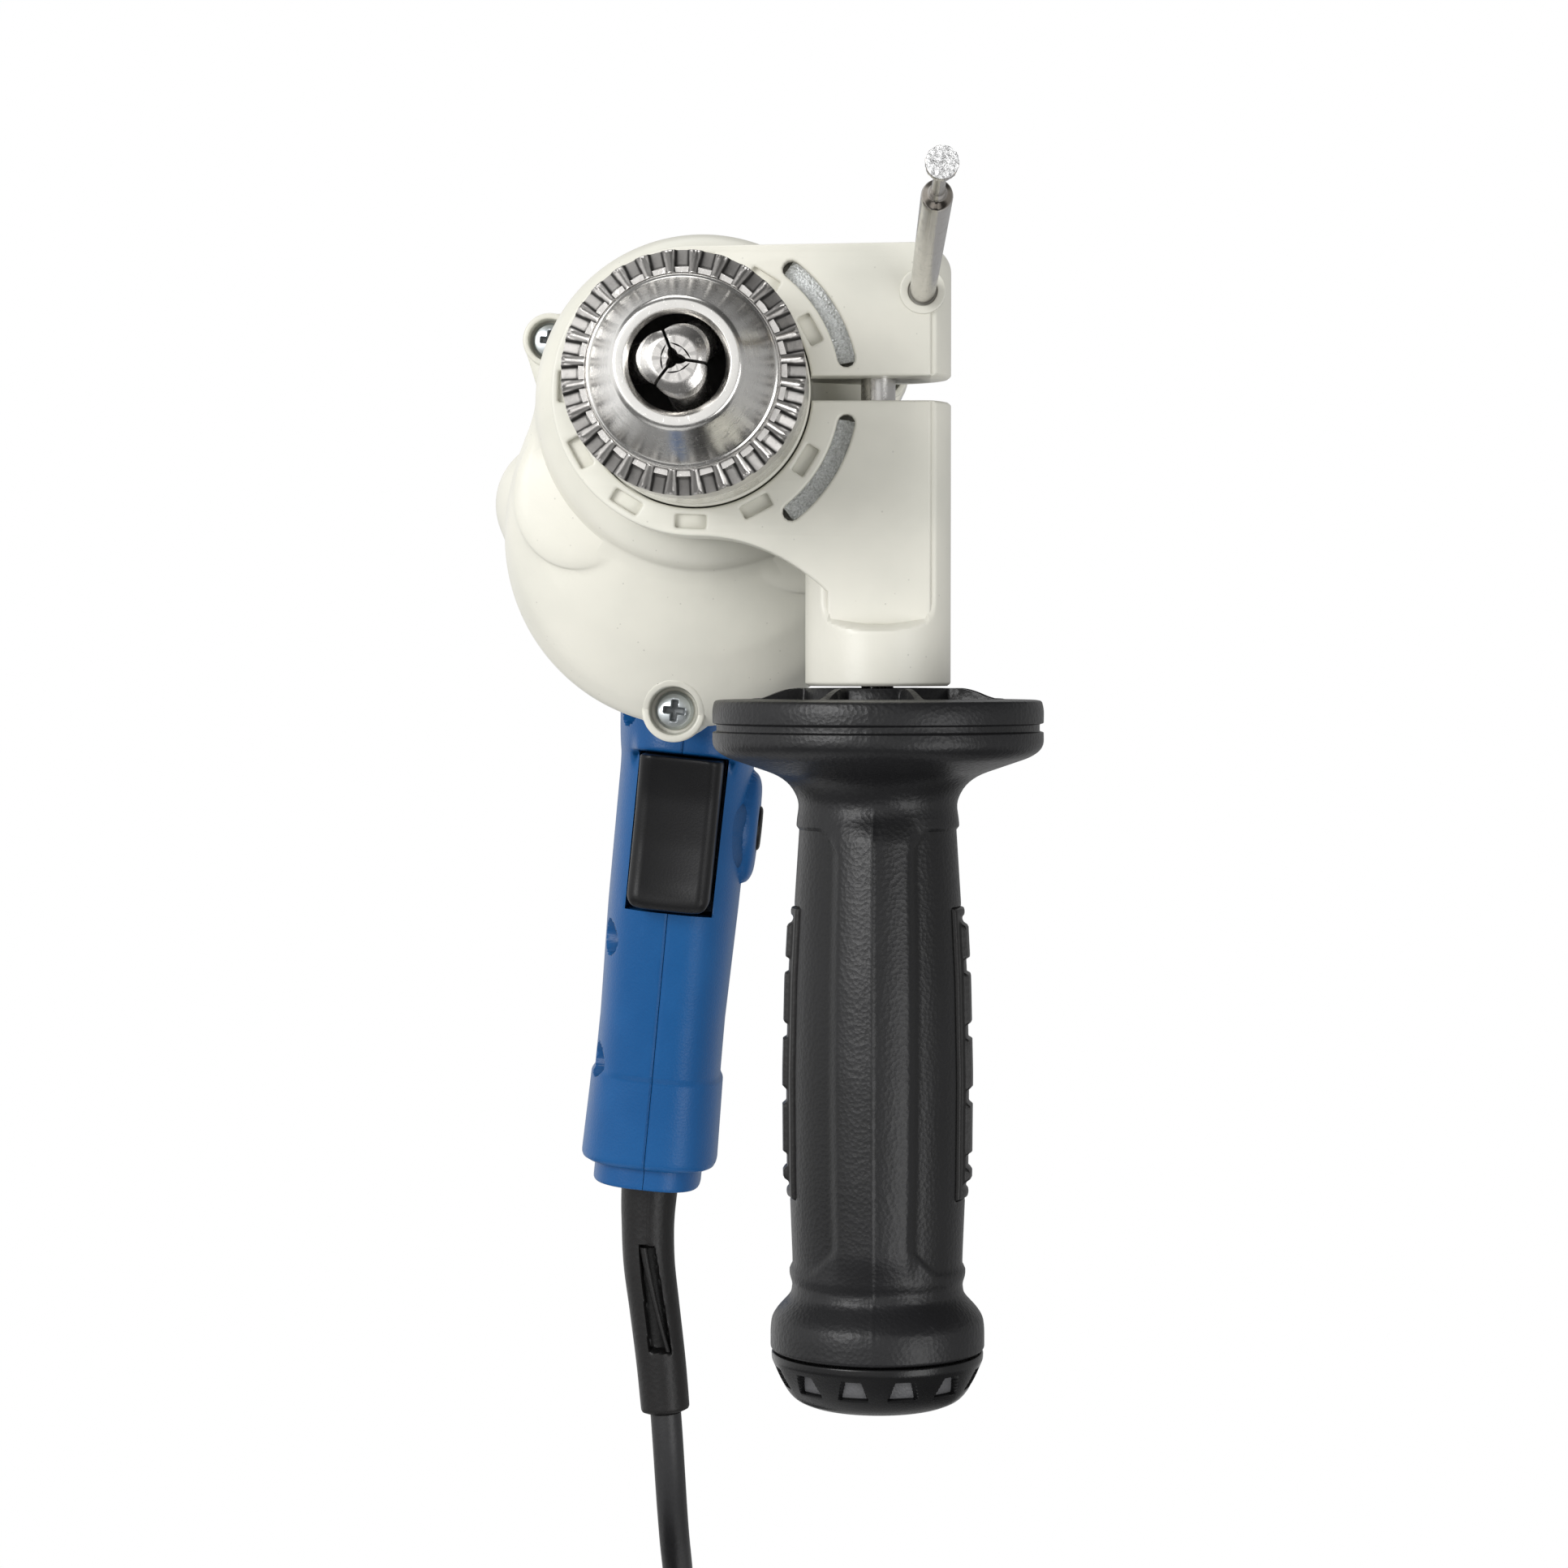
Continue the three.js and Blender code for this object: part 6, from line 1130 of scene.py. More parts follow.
def column_part(low, high, top_round, foot):
    """The column about the handle's axis: its radius is the circle's, or the distance to a flat set back
    behind the clamp's face where the face covers it; the flat runs out below in a scoop with an arched
    border."""
    full = COLUMN_RADIUS
    ends = [(low, full - 0.6), (low + 0.5, full), (high - 0.4, full), (high, full - 0.5)]
    line = closer(rounded([(p, r, 0.25) for p, r in ends]), 0.45)
    angle = turns(220)
    z, r = line[:, :1], line[:, 1:2]
    toward = np.maximum(-np.sin(angle), 1e-3)
    side = np.cos(angle) * full
    covered = (side < 9.3) & ((side > -9.3) | (z > -32))
    flat = np.minimum(np.where(covered, COLUMN[1] - 6.45, COLUMN[1] - FACE_Y - 0.7) / toward, r)
    border = -41.6 - 3.3 * np.sqrt(np.maximum(1 - (side / 10.4) ** 2, 0))
    share = step(0, 3.4, z - border) if foot else np.ones_like(z * angle)
    radius = r * (1 - share) + np.minimum(flat, r) * share
    if top_round:
        drop = np.clip((z - (high - 5)) / 5, 0, 1)
        radius = radius - 5 * (1 - np.sqrt(np.maximum(1 - drop ** 2, 0))) * np.clip(np.cos(angle), 0, 1)
    return on_column(radius, angle, z)


def hex_reach(angle, size):
    """From the middle of a hexagon to its side: size cos 30 over the cosine of the angle off the side's
    middle."""
    return size * math.cos(math.pi / 6) / np.cos((angle + math.pi / 6) % (math.pi / 3) - math.pi / 6)


def notch_outline(turn, wider=0.0):
    """A rounded rectangle across a ray from the bore's axis."""
    u, v, corner = NOTCH["across"] + wider, NOTCH["along"] + wider, NOTCH["corner"]
    line = rounded([(u, 0), (u, v, corner), (-u, v, corner), (-u, -v, corner), (u, -v, corner), (u, 0)],
                   4)[:-1]
    a, b = NOTCH["radius"] + line[:, 0], line[:, 1]
    return np.stack([a * math.cos(turn) - b * math.sin(turn), a * math.sin(turn) + b * math.cos(turn)], -1)


def make_clamp():
    """The clamp casting: a plate with its bore, windows and blind notches, the column in two parts, and the
    rod's collar."""
    surface = Surface()
    notches = [math.radians(28 + 30 * i) for i in range(NOTCH["count"])]
    holes = [ring_window(1), ring_window(-1)] + [notch_outline(turn) for turn in notches]
    # The windows' and notches' walls get painted shade that deepens towards their rear.
    surface.plate([clamp_outline()] + holes, FACE_Y, 6.5, 0.55, leaned, wall_shade=0.3)
    for turn in notches:
        surface.plate([notch_outline(turn, 0.3)], 2.1, 3.2, 0.1, leaned)
    surface.plate([clamp_outline()], 6.4, BACK_Y, 0.55, leaned)
    surface.grid(leaned(column_part(-54.9, SLOT[0], False, True)), caps=(True, True))
    top = PLATE["top"]
    upper = column_part(SLOT[1], top, True, False)
    angle = turns(220)[0]
    hexagon = hex_reach(angle, HEAD_SIZE)
    for reach, height in ((hexagon + 0.25, top), (hexagon, top - 0.3), (hexagon, 23.3), (3.7, 23.3)):
        upper = np.concatenate([upper, on_column(reach, angle, height)[None]])
    surface.grid(leaned(upper), caps=(True, True))
    lip = rounded([(6, 4.3), (0.1, 4.3, 0.35), (0.1, 2.75, 0.3), (0.46, 2.72, 0.05), (0.46, 2.3), (6, 2.3),
                   (6, 4.3)], 5)
    # Painted shade on the collar's inner wall, in the gap round the rod.
    gap = (lip[:-1, :1] > 0.3) * (lip[:-1, 1:2] < 2.8) * 1.0
    surface.grid(leaned(spun(lip[:-1], "y", ROD_AT, 64)), along=True, recess=gap)
    fit("clamp_casting", surface, "clamp", "cream_paint", ("clamp_body",), 40)


def make_window_floors():
    """The rough metal band that shows at the bottom of each window."""
    for side, name in ((1, "upper"), (-1, "lower")):
        first, last = side * BAND["first"], side * BAND["last"]
        band = np.vstack([arc(0, 0, BAND["outer"], first, last, 30),
                          arc(0, 0, BAND["inner"], last, first, 30)])
        surface = Surface().plate([band], BAND["front"], BAND["rear"], 0.25, leaned)
        fit("clamp_band_" + name, surface, "clamp", "cast_aluminium", ("clamp_insert_" + name,))


def make_bolt():
    """The clamp's bolt: a hexagon head in its pocket and a shank, threaded by a small triangle wave of the
    turn."""
    z = np.linspace(-78, 23.4, 560)[:, None]
    angle = turns(48)
    wave = np.abs(((z / 1.25 + angle / TURN) % 1) * 2 - 1)
    r = 3.25 - 0.42 * wave * (1 - step(-30, -26, z))
    surface = Surface().grid(leaned(on_column(r, angle, z)), caps=(True, True))
    angle = turns(96)[0]
    rows = []
    for place, size in ((23.6, 5.3), (23.6, 5.6), (23.9, 5.7), (26.6, 5.7), (26.9, 5.55), (27.1, 5.2)):
        reach = np.minimum(hex_reach(angle, size), 5.45 if place > 26.7 else 9)
        rows.append(on_column(reach, angle, place))
    surface.grid(leaned(np.array(rows)), caps=(True, True))
    fit("clamp_bolt_thread", surface, "clamp", "bright_steel", ("clamp_bolt",), 25)


def make_depth_rod():
    """The depth rod, turned: a straight rod, a shoulder, a thin neck and a sawn tip disc with a ragged
    rim."""
    line = rounded([(-171, 0), (-171, 2.35, 0.15), (-168.2, 2.3, 0.2), (-167.6, 0.8, 0.3),
                    (-142.5, 1.05, 0.6), (-138.5, 1.35, 0.6), (-136.6, 2.3, 0.6), (-135, 2.4), (29, 2.4, 0.3),
                    (30, 1.6, 0.2), (30, 0)], 5)
    line = closer(line, 3.0)

    def ragged(place, r, angle):
        burr = 0.06 * np.sin(7 * angle) * np.sin(17 * angle + 1)
        return r + burr * ((place < -168) & (r > 1.5))

    surface = Surface().grid(leaned(spun(line, "y", ROD_AT, 64, ragged)))
    fit("depth_rod_bar", surface, "rod", "chrome", ("depth_rod",), 30)
    r = np.linspace(0.02, 2.3, 26)[:, None]
    angle = turns(96)
    y = -171.03 - 0.05 * np.abs(np.sin(r * 9 + 3 * angle) * np.sin(r * 23 - 5 * angle)) * (2.3 - r)
    face = joined(ROD_AT[0] + r * np.cos(angle), y, ROD_AT[1] + r * np.sin(angle))
    back = face + np.array([0, 0.3, 0])
    disc = Surface().grid(leaned(np.concatenate([face, back[::-1]])), caps=(True, True))
    fit("depth_rod_cut", disc, "rod", "cut_steel", (), 60)


# Side handle, about the column's axis

GRIP_TWIST = math.radians(-3.2)
PAD_REACH = 25.0
PAD_Z = (-151.6, -96.4)
GRIP_PLACES = [-176, -170, -164, -148, -128, -110, -95, -81, -70]
GRIP_RADII = [16.2, 16.2, 16.1, 16.75, 16.9, 16.5, 15.7, 14.8, 14.8]
CAP = {"windows": 12, "turn": math.radians(11.5), "depth": 1.5, "flare": 0.30, "low": -183.6}


def about_column(z, r, angle):
    """Points at a height, radius and angle round the column's axis. Angle 0 is on the camera's side."""
    a = angle + GRIP_TWIST
    return leaned(joined(COLUMN[0] + r * np.sin(a), COLUMN[1] - r * np.cos(a), z))


def make_handle():
    """The side handle. Top: a sloping hub whose eight pockets sink between radial ribs. Side: a turned
    profile, plus a raised ridge front and back (height falls off from its middle line) and sunken panels
    beside it with round borders."""
    angle = turns(300)
    r = np.unique(np.concatenate([np.linspace(4, 14.6, 8), np.linspace(14.6, 15.4, 5),
                                  np.linspace(15.4, 22.8, 12), np.linspace(22.8, 23.8, 5),
                                  np.linspace(23.8, 29.8, 7)]))[:, None]
    slope = -55.35 - 2.2 * step(16.5, 25.5, r)
    off = np.abs(angle % (math.pi / 4) - math.pi / 8) * r
    pocket = step(14.7, 15.3, r) * (1 - step(22.9, 23.5, r)) * step(0.75, 1.15, off)
    top = slope - pocket * 3.0
    rows = [about_column(top, r, angle)]
    # Painted shade in the hub's eight pockets.
    hollow_shade = [pocket * 0.55]
    side = rounded([(-57.55, 29.9), (-57.7, 30.9, 0.5), (-59.4, 31.3, 0.9), (-61.9, 31.25, 0.2),
                    (-62.1, 30.5, 0.25), (-63.4, 30.5, 0.25), (-63.6, 31.25, 0.2), (-66.4, 31.3, 1.6),
                    (-68.2, 29.2, 1.8), (-72.2, 17.6, 3.4), (-76.4, 14.75, 3.0), (-81.2, 14.95)], 6)
    side = closer(side, 0.8)
    body = closer(np.array([[-81.4, 15], [-168.4, 16.2]]), 0.6)
    end = closer(rounded([(-168.6, 16.2), (-170.2, 16.4, 1.4), (-173.9, 19.9, 2.6), (-176.4, 20.3, 1.2),
                          (-180.2, 20.3, 0.4), (-180.6, 19.8), (-180.6, 6)], 6), 0.7)
    z, r = (np.concatenate([side, body, end])[:, k:k + 1] for k in (0, 1))
    silhouette = flowing(z, GRIP_PLACES, GRIP_RADII, 3)
    on_body = ((z < -81.2) & (z > -168.5)) * 1.0
    across = np.abs(np.sin(angle)) * r
    facing = np.abs(np.cos(angle))
    high_border = -81.6 - 4.6 * (1 - step(5.4, 10.5, across))
    low_border = -164.8 + 5.4 * (1 - step(5.4, 12.5, across))
    sunk = (1 - step(-0.35, 0.35, z - high_border)) * step(-0.35, 0.35, z - low_border)
    beside = step(5.35, 7.7, across)
    fading = step(-168, -160, z) * (1 - step(-84, -78, z))
    ridge = (0.95 + 0.75 * (1 - np.minimum(across / 5.4, 1))) * (1 - step(5.3, 8.4, across)) * facing * fading
    full = silhouette + 0.55 * (1 - sunk * beside) * step(-168.4, -166, z) + ridge
    shaped = np.where(on_body > 0, full, r)
    near = (1 - step(-81.2, -79.0, z)) * step(-171, -168.4, z)
    join = step(-81.3, -76.0, z)
    shaped = np.where((z > -81.3) & (z < -76.0), full * (1 - join) + r * join, shaped)
    seam = (0.14 * near + 0.10) * np.exp(-(np.minimum(angle, TURN - angle) * r / 0.22) ** 2) * (z < -58)
    for turn in (math.radians(90), math.radians(270)):
        distance = np.degrees(np.abs((angle - turn + math.pi) % TURN - math.pi))
        seat = (1 - step(PAD_REACH - 1.5, PAD_REACH + 1.0, distance)) * hump(z, -151.9, -151.0, -97.2, -96.2)
        shaped = shaped - seat * 0.9
    rows.append(about_column(z, shaped + seam, angle))
    # Painted shade in the sunken panels, darkest along their border beside the ridge.
    hollow_shade.append(sunk * beside * on_body * (0.28 * (1 - step(7.7, 9.5, across)) + 0.4))
    surface = Surface().grid(np.concatenate(rows), caps=(True, True), recess=np.concatenate(hollow_shade))
    fit("handle_grip", surface, "handle", "black_plastic", ("side_handle",), 40)


def make_pads():
    """The soft pads in the handle's sides: a raised bead round a field of broad blocks with grooves between
    them."""
    for side, name in ((1, "right"), (-1, "left")):
        z = closer([(PAD_Z[0], 0), (PAD_Z[1], 0)], 0.4)[:, :1]
        spread = np.radians(np.linspace(-PAD_REACH, PAD_REACH, 90))[None]
        base = flowing(z, GRIP_PLACES, GRIP_RADII, 3)
        to_side = (math.radians(PAD_REACH) - np.abs(spread)) * 16.5
        edge = np.minimum(np.minimum(z - PAD_Z[0], PAD_Z[1] - z), to_side)
        bead = 0.95 * arch(edge / 0.7) - 0.5 * step(1.4, 2.2, edge)
        row = (-z - 97) % 12.3
        field = step(2.6, 3.2, edge)
        block = 0.75 * (1 - step(8.9, 9.5, row) * (1 - step(11.8, 12.3, row))) * step(3.2, 3.8, edge)
        centre = 0.35 * (1 - step(12, 18, np.degrees(np.abs(spread))))
        out = base - 0.35 + bead + block + centre * field
        angle = spread + side * math.pi / 2
        # Painted shade in the groove between the bead and the blocks.
        hollow_shade = 0.35 * hump(edge, 1.2, 1.7, 2.3, 3.0)
        surface = Surface().sheet(about_column(z, out, angle), about_column(z, base - 1.2, angle),
                                  recess=hollow_shade)
        fit("handle_pad_" + name, surface, "handle", "black_rubber", ("grip_pad_" + name,),
            40)


def make_end_cap():
    """The cap under the handle: a turned taper in which twelve trapezoid windows sink to rough, paler
    floors."""
    line = closer(rounded([(-181, 15), (-181, 20.0, 0.2), (-181.3, 20.1, 0.2), (-182.4, 20.05, 0.4),
                           (-186, 18.5, 1.5), (-188.6, 17.0, 1.2), (-190, 15.6, 1.0), (-190.9, 13.4, 0.6),
                           (-191, 0.1)], 6), 0.34)
    angle = turns(480)
    z, r = line[:, :1], line[:, 1:2]
    pitch = TURN / CAP["windows"]
    off = ((angle + CAP["turn"] + pitch / 2) % pitch - pitch / 2) * r
    half = 1.75 + (CAP["low"] - z) * CAP["flare"]
    inside = (1 - step(-0.12, 0.12, np.abs(off) - half)) * hump(z, -187.35, -187.05, -183.75, -183.45)
    radius = r - CAP["depth"] * inside * (0.7 + 0.3 * step(-187, -184, z))
    surface = Surface().grid(about_column(z, radius, angle), caps=(True, True))
    fit("handle_cap", surface, "handle", "cap_plastic", ("handle_end_cap",), 30)
    floors = Surface()
    z = np.linspace(-186.9, -183.9, 12)[:, None]
    half = (1.5 + (CAP["low"] - z) * CAP["flare"]) * np.linspace(-1, 1, 14)[None] / 18
    sunk = CAP["depth"] * (0.7 + 0.3 * step(-187, -184, z))
    reach = np.interp(z, line[::-1, 0], line[::-1, 1]) - sunk + 0.05
    for k in range(CAP["windows"]):
        around = k * pitch - CAP["turn"] + half
        floors.sheet(about_column(z, reach, around), about_column(z, reach - 0.4, around))
    fit("handle_cap_windows", floors, "handle", "window_plastic", (), 30)


# Motor housing and main handle

CASE_SCREWS = {"top": (92, 15), "canopy": (103, -61.8), "middle": (114.5, -112.5), "foot": (122, -140.5)}
POCKET_X = 12.0
LOCK = (126, -86)
LOCK_BOSS = {"radius": 12.6, "slope": 4.6, "face": 17.0, "bore": (5.15, 5.5), "floor": 11.0}
BARREL = {"front": 78.3, "radius": 36.0, "rear_radius": 34.2, "top_radius": 28.7, "low_radius": 37.2,
          "merging": (88, 104), "boss_end": 91.5, "taper": (158, 170), "dome": 166.0, "dome_length": 12.0,
          "dome_drop": 9.2, "rear": 176.0, "wall": 2.6}
BARREL_GROOVES = ((104.5, 0.35, 0.5), (146.5, 0.3, 0.45))
VENT = {"half": (1.0, 1.35), "rear": (149.9, 150.5, 162.6, 163.2), "front": (86.4, 86.9, 91.1, 91.6),
        "depth": 2.2}
HALF_GAP = 0.06
SEAM = (0.0, 0.6)
SQUARENESS = 0.7
GRIP_BOTTOM = -163.5
GRIP_LIP = 1.4
TRIGGER = {"top": -71.2, "bottom": -104.4, "half": 8.8, "corner": 2.6, "root": 112.0}
TRIGGER_SLOT = {"half": (9.15, 9.55), "top": -70.75, "bottom": -105.3, "floor": 119.6}
VENT_Z = (MOTOR_Z - 17, MOTOR_Z - 11, MOTOR_Z + 11, MOTOR_Z + 17)


def barrel_half(side):
    """Half of the motor barrel as a thick sheet about the motor's axis. Its reach goes from the gearbox's egg
    to a circle and then to the domed rear; vents and one screw's pocket sink into it, and the lug bosses run
    on behind the gearbox's lugs with fillets."""
    lift = np.linspace(-90, 90, 170)
    angle = np.radians(lift if side > 0 else 180 - lift)[None]
    y = np.unique(np.round(np.concatenate([np.linspace(78.3, 79.1, 4), np.linspace(79, 106, 42),
                                           np.linspace(106, 158, 30), np.linspace(158, 176, 22),
                                           np.linspace(149.4, 163.6, 34), np.linspace(86, 92, 16)]), 3))[:,
                                                                                                         None]
    full, top, low = BARREL["radius"], BARREL["top_radius"], BARREL["low_radius"]
    ahead = step(*BARREL["merging"], y)
    top_z, top_r = -MOTOR_Z * (1 - ahead), top + (full - top) * ahead
    low_r = low + (full - low) * ahead
    whole = np.broadcast_to(angle, (len(y), angle.shape[1]))
    out = belt_reach(whole, (0, top_z, top_r), (0, 0 * top_z, low_r))
    out = out - 0.5 * (1 - arch((y - BARREL["front"]) / 0.7))
    boss = 1 - arch((y - BARREL["boss_end"]) / 5.0)
    side_root, side_lug = (20.0, 3.0, 8.8), (SIDE_LUG["x"], SIDE_LUG["z"], 5.3)
    foot_root, foot_lug = (0.0, -48.0, 9.3), (FOOT_LUG["x"], FOOT_LUG["z"], 5.9)
    for root, lug in ((side_root, side_lug), (foot_root, foot_lug)):
        first, last = ((side * x, z - MOTOR_Z, r) for x, z, r in (root, lug))
        out = grown(out, belt_reach(angle, first, last), boss, 2.2, 5.0)
    out = out + (BARREL["rear_radius"] - full) * step(*BARREL["taper"], y)
    dome = np.clip((y - BARREL["dome"]) / BARREL["dome_length"], 0, 1)
    out = out - BARREL["dome_drop"] * (1 - np.sqrt(1 - dome ** 2 * 0.98))
    z = MOTOR_Z + out * np.sin(angle)
    side_on = np.abs(np.cos(angle)) > 0.5
    vent = np.zeros_like(out)
    for middle in VENT_Z:
        across = 1 - step(*VENT["half"], np.abs(z - middle))
        vent = np.maximum(vent, across * hump(y, *VENT["rear"]))
        if middle < MOTOR_Z:
            vent = np.maximum(vent, across * hump(y, *VENT["front"]))
    vent = vent * side_on
    groove = sum(deep * np.exp(-((y - place) / wide) ** 2) for place, deep, wide in BARREL_GROOVES)
    seam = 0.35 * (1 - step(*SEAM, np.abs(out * np.cos(angle))))
    out = out - vent * VENT["depth"] - groove - seam
    # Painted shade on the vents' floors, and less of it in the screw's pocket below.
    recess_shade = vent
    x = out * np.cos(angle)
    if side < 0:
        away = np.hypot(y - CASE_SCREWS["top"][0], z - CASE_SCREWS["top"][1])
        pocket = (1 - step(3.3, 3.8, away)) * (np.cos(angle) < -0.3)
        recess_shade = np.maximum(recess_shade, pocket * 0.4)
        x = np.where(x < -POCKET_X, x * (1 - pocket) - POCKET_X * pocket, x)
    x = np.where(np.abs(x) < HALF_GAP, side * HALF_GAP, x)
    outer = joined(x, y, MOTOR_Z + out * np.sin(angle))
    rim = np.linspace(1, 0.0, 26)[1:, None, None]
    last = outer[-1:]
    middle = np.array([side * HALF_GAP, 0, MOTOR_Z])
    closing = middle + (last - middle) * rim
    hub = 0.3 * (rim[..., 0] <= 0.5)
    closing[..., 1] = BARREL["rear"] + 2.0 * (1 - rim[..., 0] ** 6) - hub
    outer = np.concatenate([outer, closing])
    recess_shade = np.concatenate([recess_shade, np.zeros((len(rim), x.shape[1]))])
    inner = outer.copy()
    reach = np.hypot(outer[..., 0], outer[..., 2] - MOTOR_Z)
    thin = np.maximum(1 - BARREL["wall"] / np.maximum(reach, 3), 0.1)
    inner[..., 0] = outer[..., 0] * thin + side * HALF_GAP * (1 - thin)
    inner[..., 2] = MOTOR_Z + (outer[..., 2] - MOTOR_Z) * thin
    inner[..., 1] = np.minimum(outer[..., 1], BARREL["rear"] - 0.8)
    return outer, inner, recess_shade


GRIP_Z = [-42, -55, -70.6, -71.4, -105, -130, -142.4, -143.6, -163.6]
GRIP_FRONT = [95.5, 95.5, 95.5, 104.2, 104.4, 110.5, 113.2, 114.0, 117.0]
GRIP_REAR = [150, 150, 150, 150, 153.5, 156, 158.2, 158.6, 161]


def grip_half(side):
    """Half of the main handle: at each height a rounded box, |x / w|^(1/0.7) + |y / d|^(1/0.7) = 1, taken at
    equal steps round it. The trigger's slot, screw pockets and lock button's boss are pushed in or out of
    it."""
    t = np.linspace(0, math.pi, 1600)
    u, v = np.sin(t) ** SQUARENESS, -boxed(np.cos(t), SQUARENESS)
    along = np.concatenate([[0], np.cumsum(np.hypot(np.diff(u), 1.75 * np.diff(v)))])
    even = np.interp(np.linspace(0, along[-1], 130), along, t)
    u = (np.sin(even) ** SQUARENESS)[None]
    u[:, 0] = u[:, -1] = 0
    v = -boxed(np.cos(even), SQUARENESS)[None]
    z = np.unique(np.round(np.concatenate([
        np.linspace(GRIP_BOTTOM, -55, 200), np.linspace(-72.2, -69.4, 18), np.linspace(-105.8, -104.2, 6),
        np.linspace(-144.2, -141.6, 12)]), 3))[::-1][:, None]
    front = flowing(z, GRIP_Z, GRIP_FRONT, 0.45)
    eased = flowing(z, GRIP_Z, GRIP_FRONT, 5.0)
    rear = flowing(z, GRIP_Z, GRIP_REAR, 3.0)
    width = flowing(z, [-42, -55, -60, -72, -105, -130, -142.6, -143.4, -163.6],
                    [37, 35, 31.5, 29.2, 28.6, 27.6, 27.9, 29.3, 30.4], 0.8)
    lip = GRIP_LIP * (1 - arch((z - GRIP_BOTTOM) / 1.6))
    half_w = width / 2 - lip
    x = half_w * u
    sharp, soft = ((rear + f) / 2 + ((rear - f) / 2 - lip) * v for f in (front, eased))
    beside = step(9.7, 11.6, x)
    corner = 0.9 * (1 - arch((z + 70.9) / 1.5)) * (z > -70.9) * (1 - beside)
    y = sharp * (1 - beside) + soft * beside
    y = y + corner * (v < -0.4)
    x = x - corner * (v < 0.2) * u
    # Painted shade in the trigger's slot, the screws' pockets and the lock button's bore.
    recess_shade = np.zeros_like(x)
    tall = (z < TRIGGER_SLOT["top"]) * (z > TRIGGER_SLOT["bottom"])
    slot = (1 - step(*TRIGGER_SLOT["half"], x)) * (v < -0.3) * tall
    y = np.where(slot > 0, y * (1 - slot) + TRIGGER_SLOT["floor"] * slot, y)
    recess_shade = np.maximum(recess_shade, slot)
    seam = 1 - step(*SEAM, x)
    y = y + 0.35 * seam * np.where(v < 0, 1, -1) * (slot < 0.5)
    if side < 0:
        for name in ("canopy", "middle", "foot"):
            away = np.hypot(y - CASE_SCREWS[name][0], z - CASE_SCREWS[name][1])
            pocket = (1 - step(3.35, 3.85, away)) * (x > 3)
            x = x * (1 - pocket) + 8.6 * pocket
            recess_shade = np.maximum(recess_shade, 0.35 * pocket)
    else:
        away = np.hypot(y - LOCK[0], z - LOCK[1])
        boss = arch((LOCK_BOSS["radius"] - away) / LOCK_BOSS["slope"])
        face = LOCK_BOSS["face"]
        x = np.where(x > 5, x + (face - np.minimum(x, face)) * boss, x)
        hole = (1 - step(*LOCK_BOSS["bore"], away)) * (x > 5)
        x = x * (1 - hole) + LOCK_BOSS["floor"] * hole
        recess_shade = np.maximum(recess_shade, hole)
    x = side * np.maximum(x, HALF_GAP)
    return joined(x, y, z), recess_shade


def plinth_half(side):
    """Half of the low step under the main handle, with a round collar for the lead's sleeve."""
    t = np.linspace(0, math.pi, 60)
    u, v = np.sin(t) ** SQUARENESS, -boxed(np.cos(t), SQUARENESS)
    u[0] = u[-1] = 0
    line = rounded([(-161.5, 12.0), (-168.4, 12.0, 0.8), (-168.4, 8.2)], 5)
    z, w = line[:, :1], line[:, 1:2]
    x = side * np.maximum(w * u[None], HALF_GAP)
    y = SLEEVE_Y + (w + 6.5 * step(8.2, 12, w)) * v[None]
    return joined(x, y, z)


def make_housing(side, name):
    """One half of the plastic housing: barrel, main handle and plinth, closed along the seam."""
    outer, inner, vents = barrel_half(side)
    # Painted shade on the vents' floors and the screw's pocket, and in the handle's slot, pockets and bore.
    surface = Surface().sheet(outer, inner, recess=vents)
    for shell, recess_shade in (grip_half(side), (plinth_half(side), 0.0)):
        surface.grid(shell, around=True, caps=(True, True), recess=recess_shade)
    fit("housing_shell_" + name, surface, "housing", "blue_plastic", ("housing_" + name,), 34)


def make_trigger():
    """The trigger: a rounded box at each height whose front face is a little hollow, with a rolled lower
    edge."""
    top, bottom = TRIGGER["top"], TRIGGER["bottom"]
    stretches = ((top, -73, 8), (-73.4, -100, 60), (-100.3, bottom, 26))
    z = np.concatenate([np.linspace(*stretch) for stretch in stretches])[:, None]
    front = flowing(z, [-71, -80, -90, -98, -102, -105], [91.4, 94.4, 95.8, 95.9, 95.6, 95.2], 2.5)
    close = np.minimum(np.minimum(z - bottom, 3.2) / 3.2, np.minimum(top - z, 0.8) / 0.8)
    turn = np.sqrt(np.maximum(1 - (1 - close) ** 2, 0))
    eased = (1 - turn) * (z < -90)
    close_to_top = (1 - turn) * (z > -90)
    half = TRIGGER["half"] - 2.6 * eased - 0.5 * close_to_top
    nose = front + 2.2 * eased + 0.5 * close_to_top
    corner, root = TRIGGER["corner"], TRIGGER["root"] + 0 * z
    across = np.linspace(-1, 1, 41)[None]
    t = np.linspace(0, math.pi / 2, 9)[1:]
    cx, cy = np.sin(t)[None], 1 - np.cos(t)[None]
    hollow = 0.55 * (1 - across ** 2) * step(-104, -98, z)
    flank = nose + corner + 3
    x = np.hstack([(half - corner) * across, half - corner + corner * cx, half, half, -half, -half,
                   corner - half - corner * cx[:, ::-1]])
    y = np.hstack([nose + hollow, nose + corner * cy, flank, root, root, flank, nose + corner * cy[:, ::-1]])
    points = joined(x, y, z)
    surface = Surface().grid(points, caps=(True, True))
    fit("trigger_lever", surface, "trigger_body", "trigger_plastic", ("trigger",), 40)


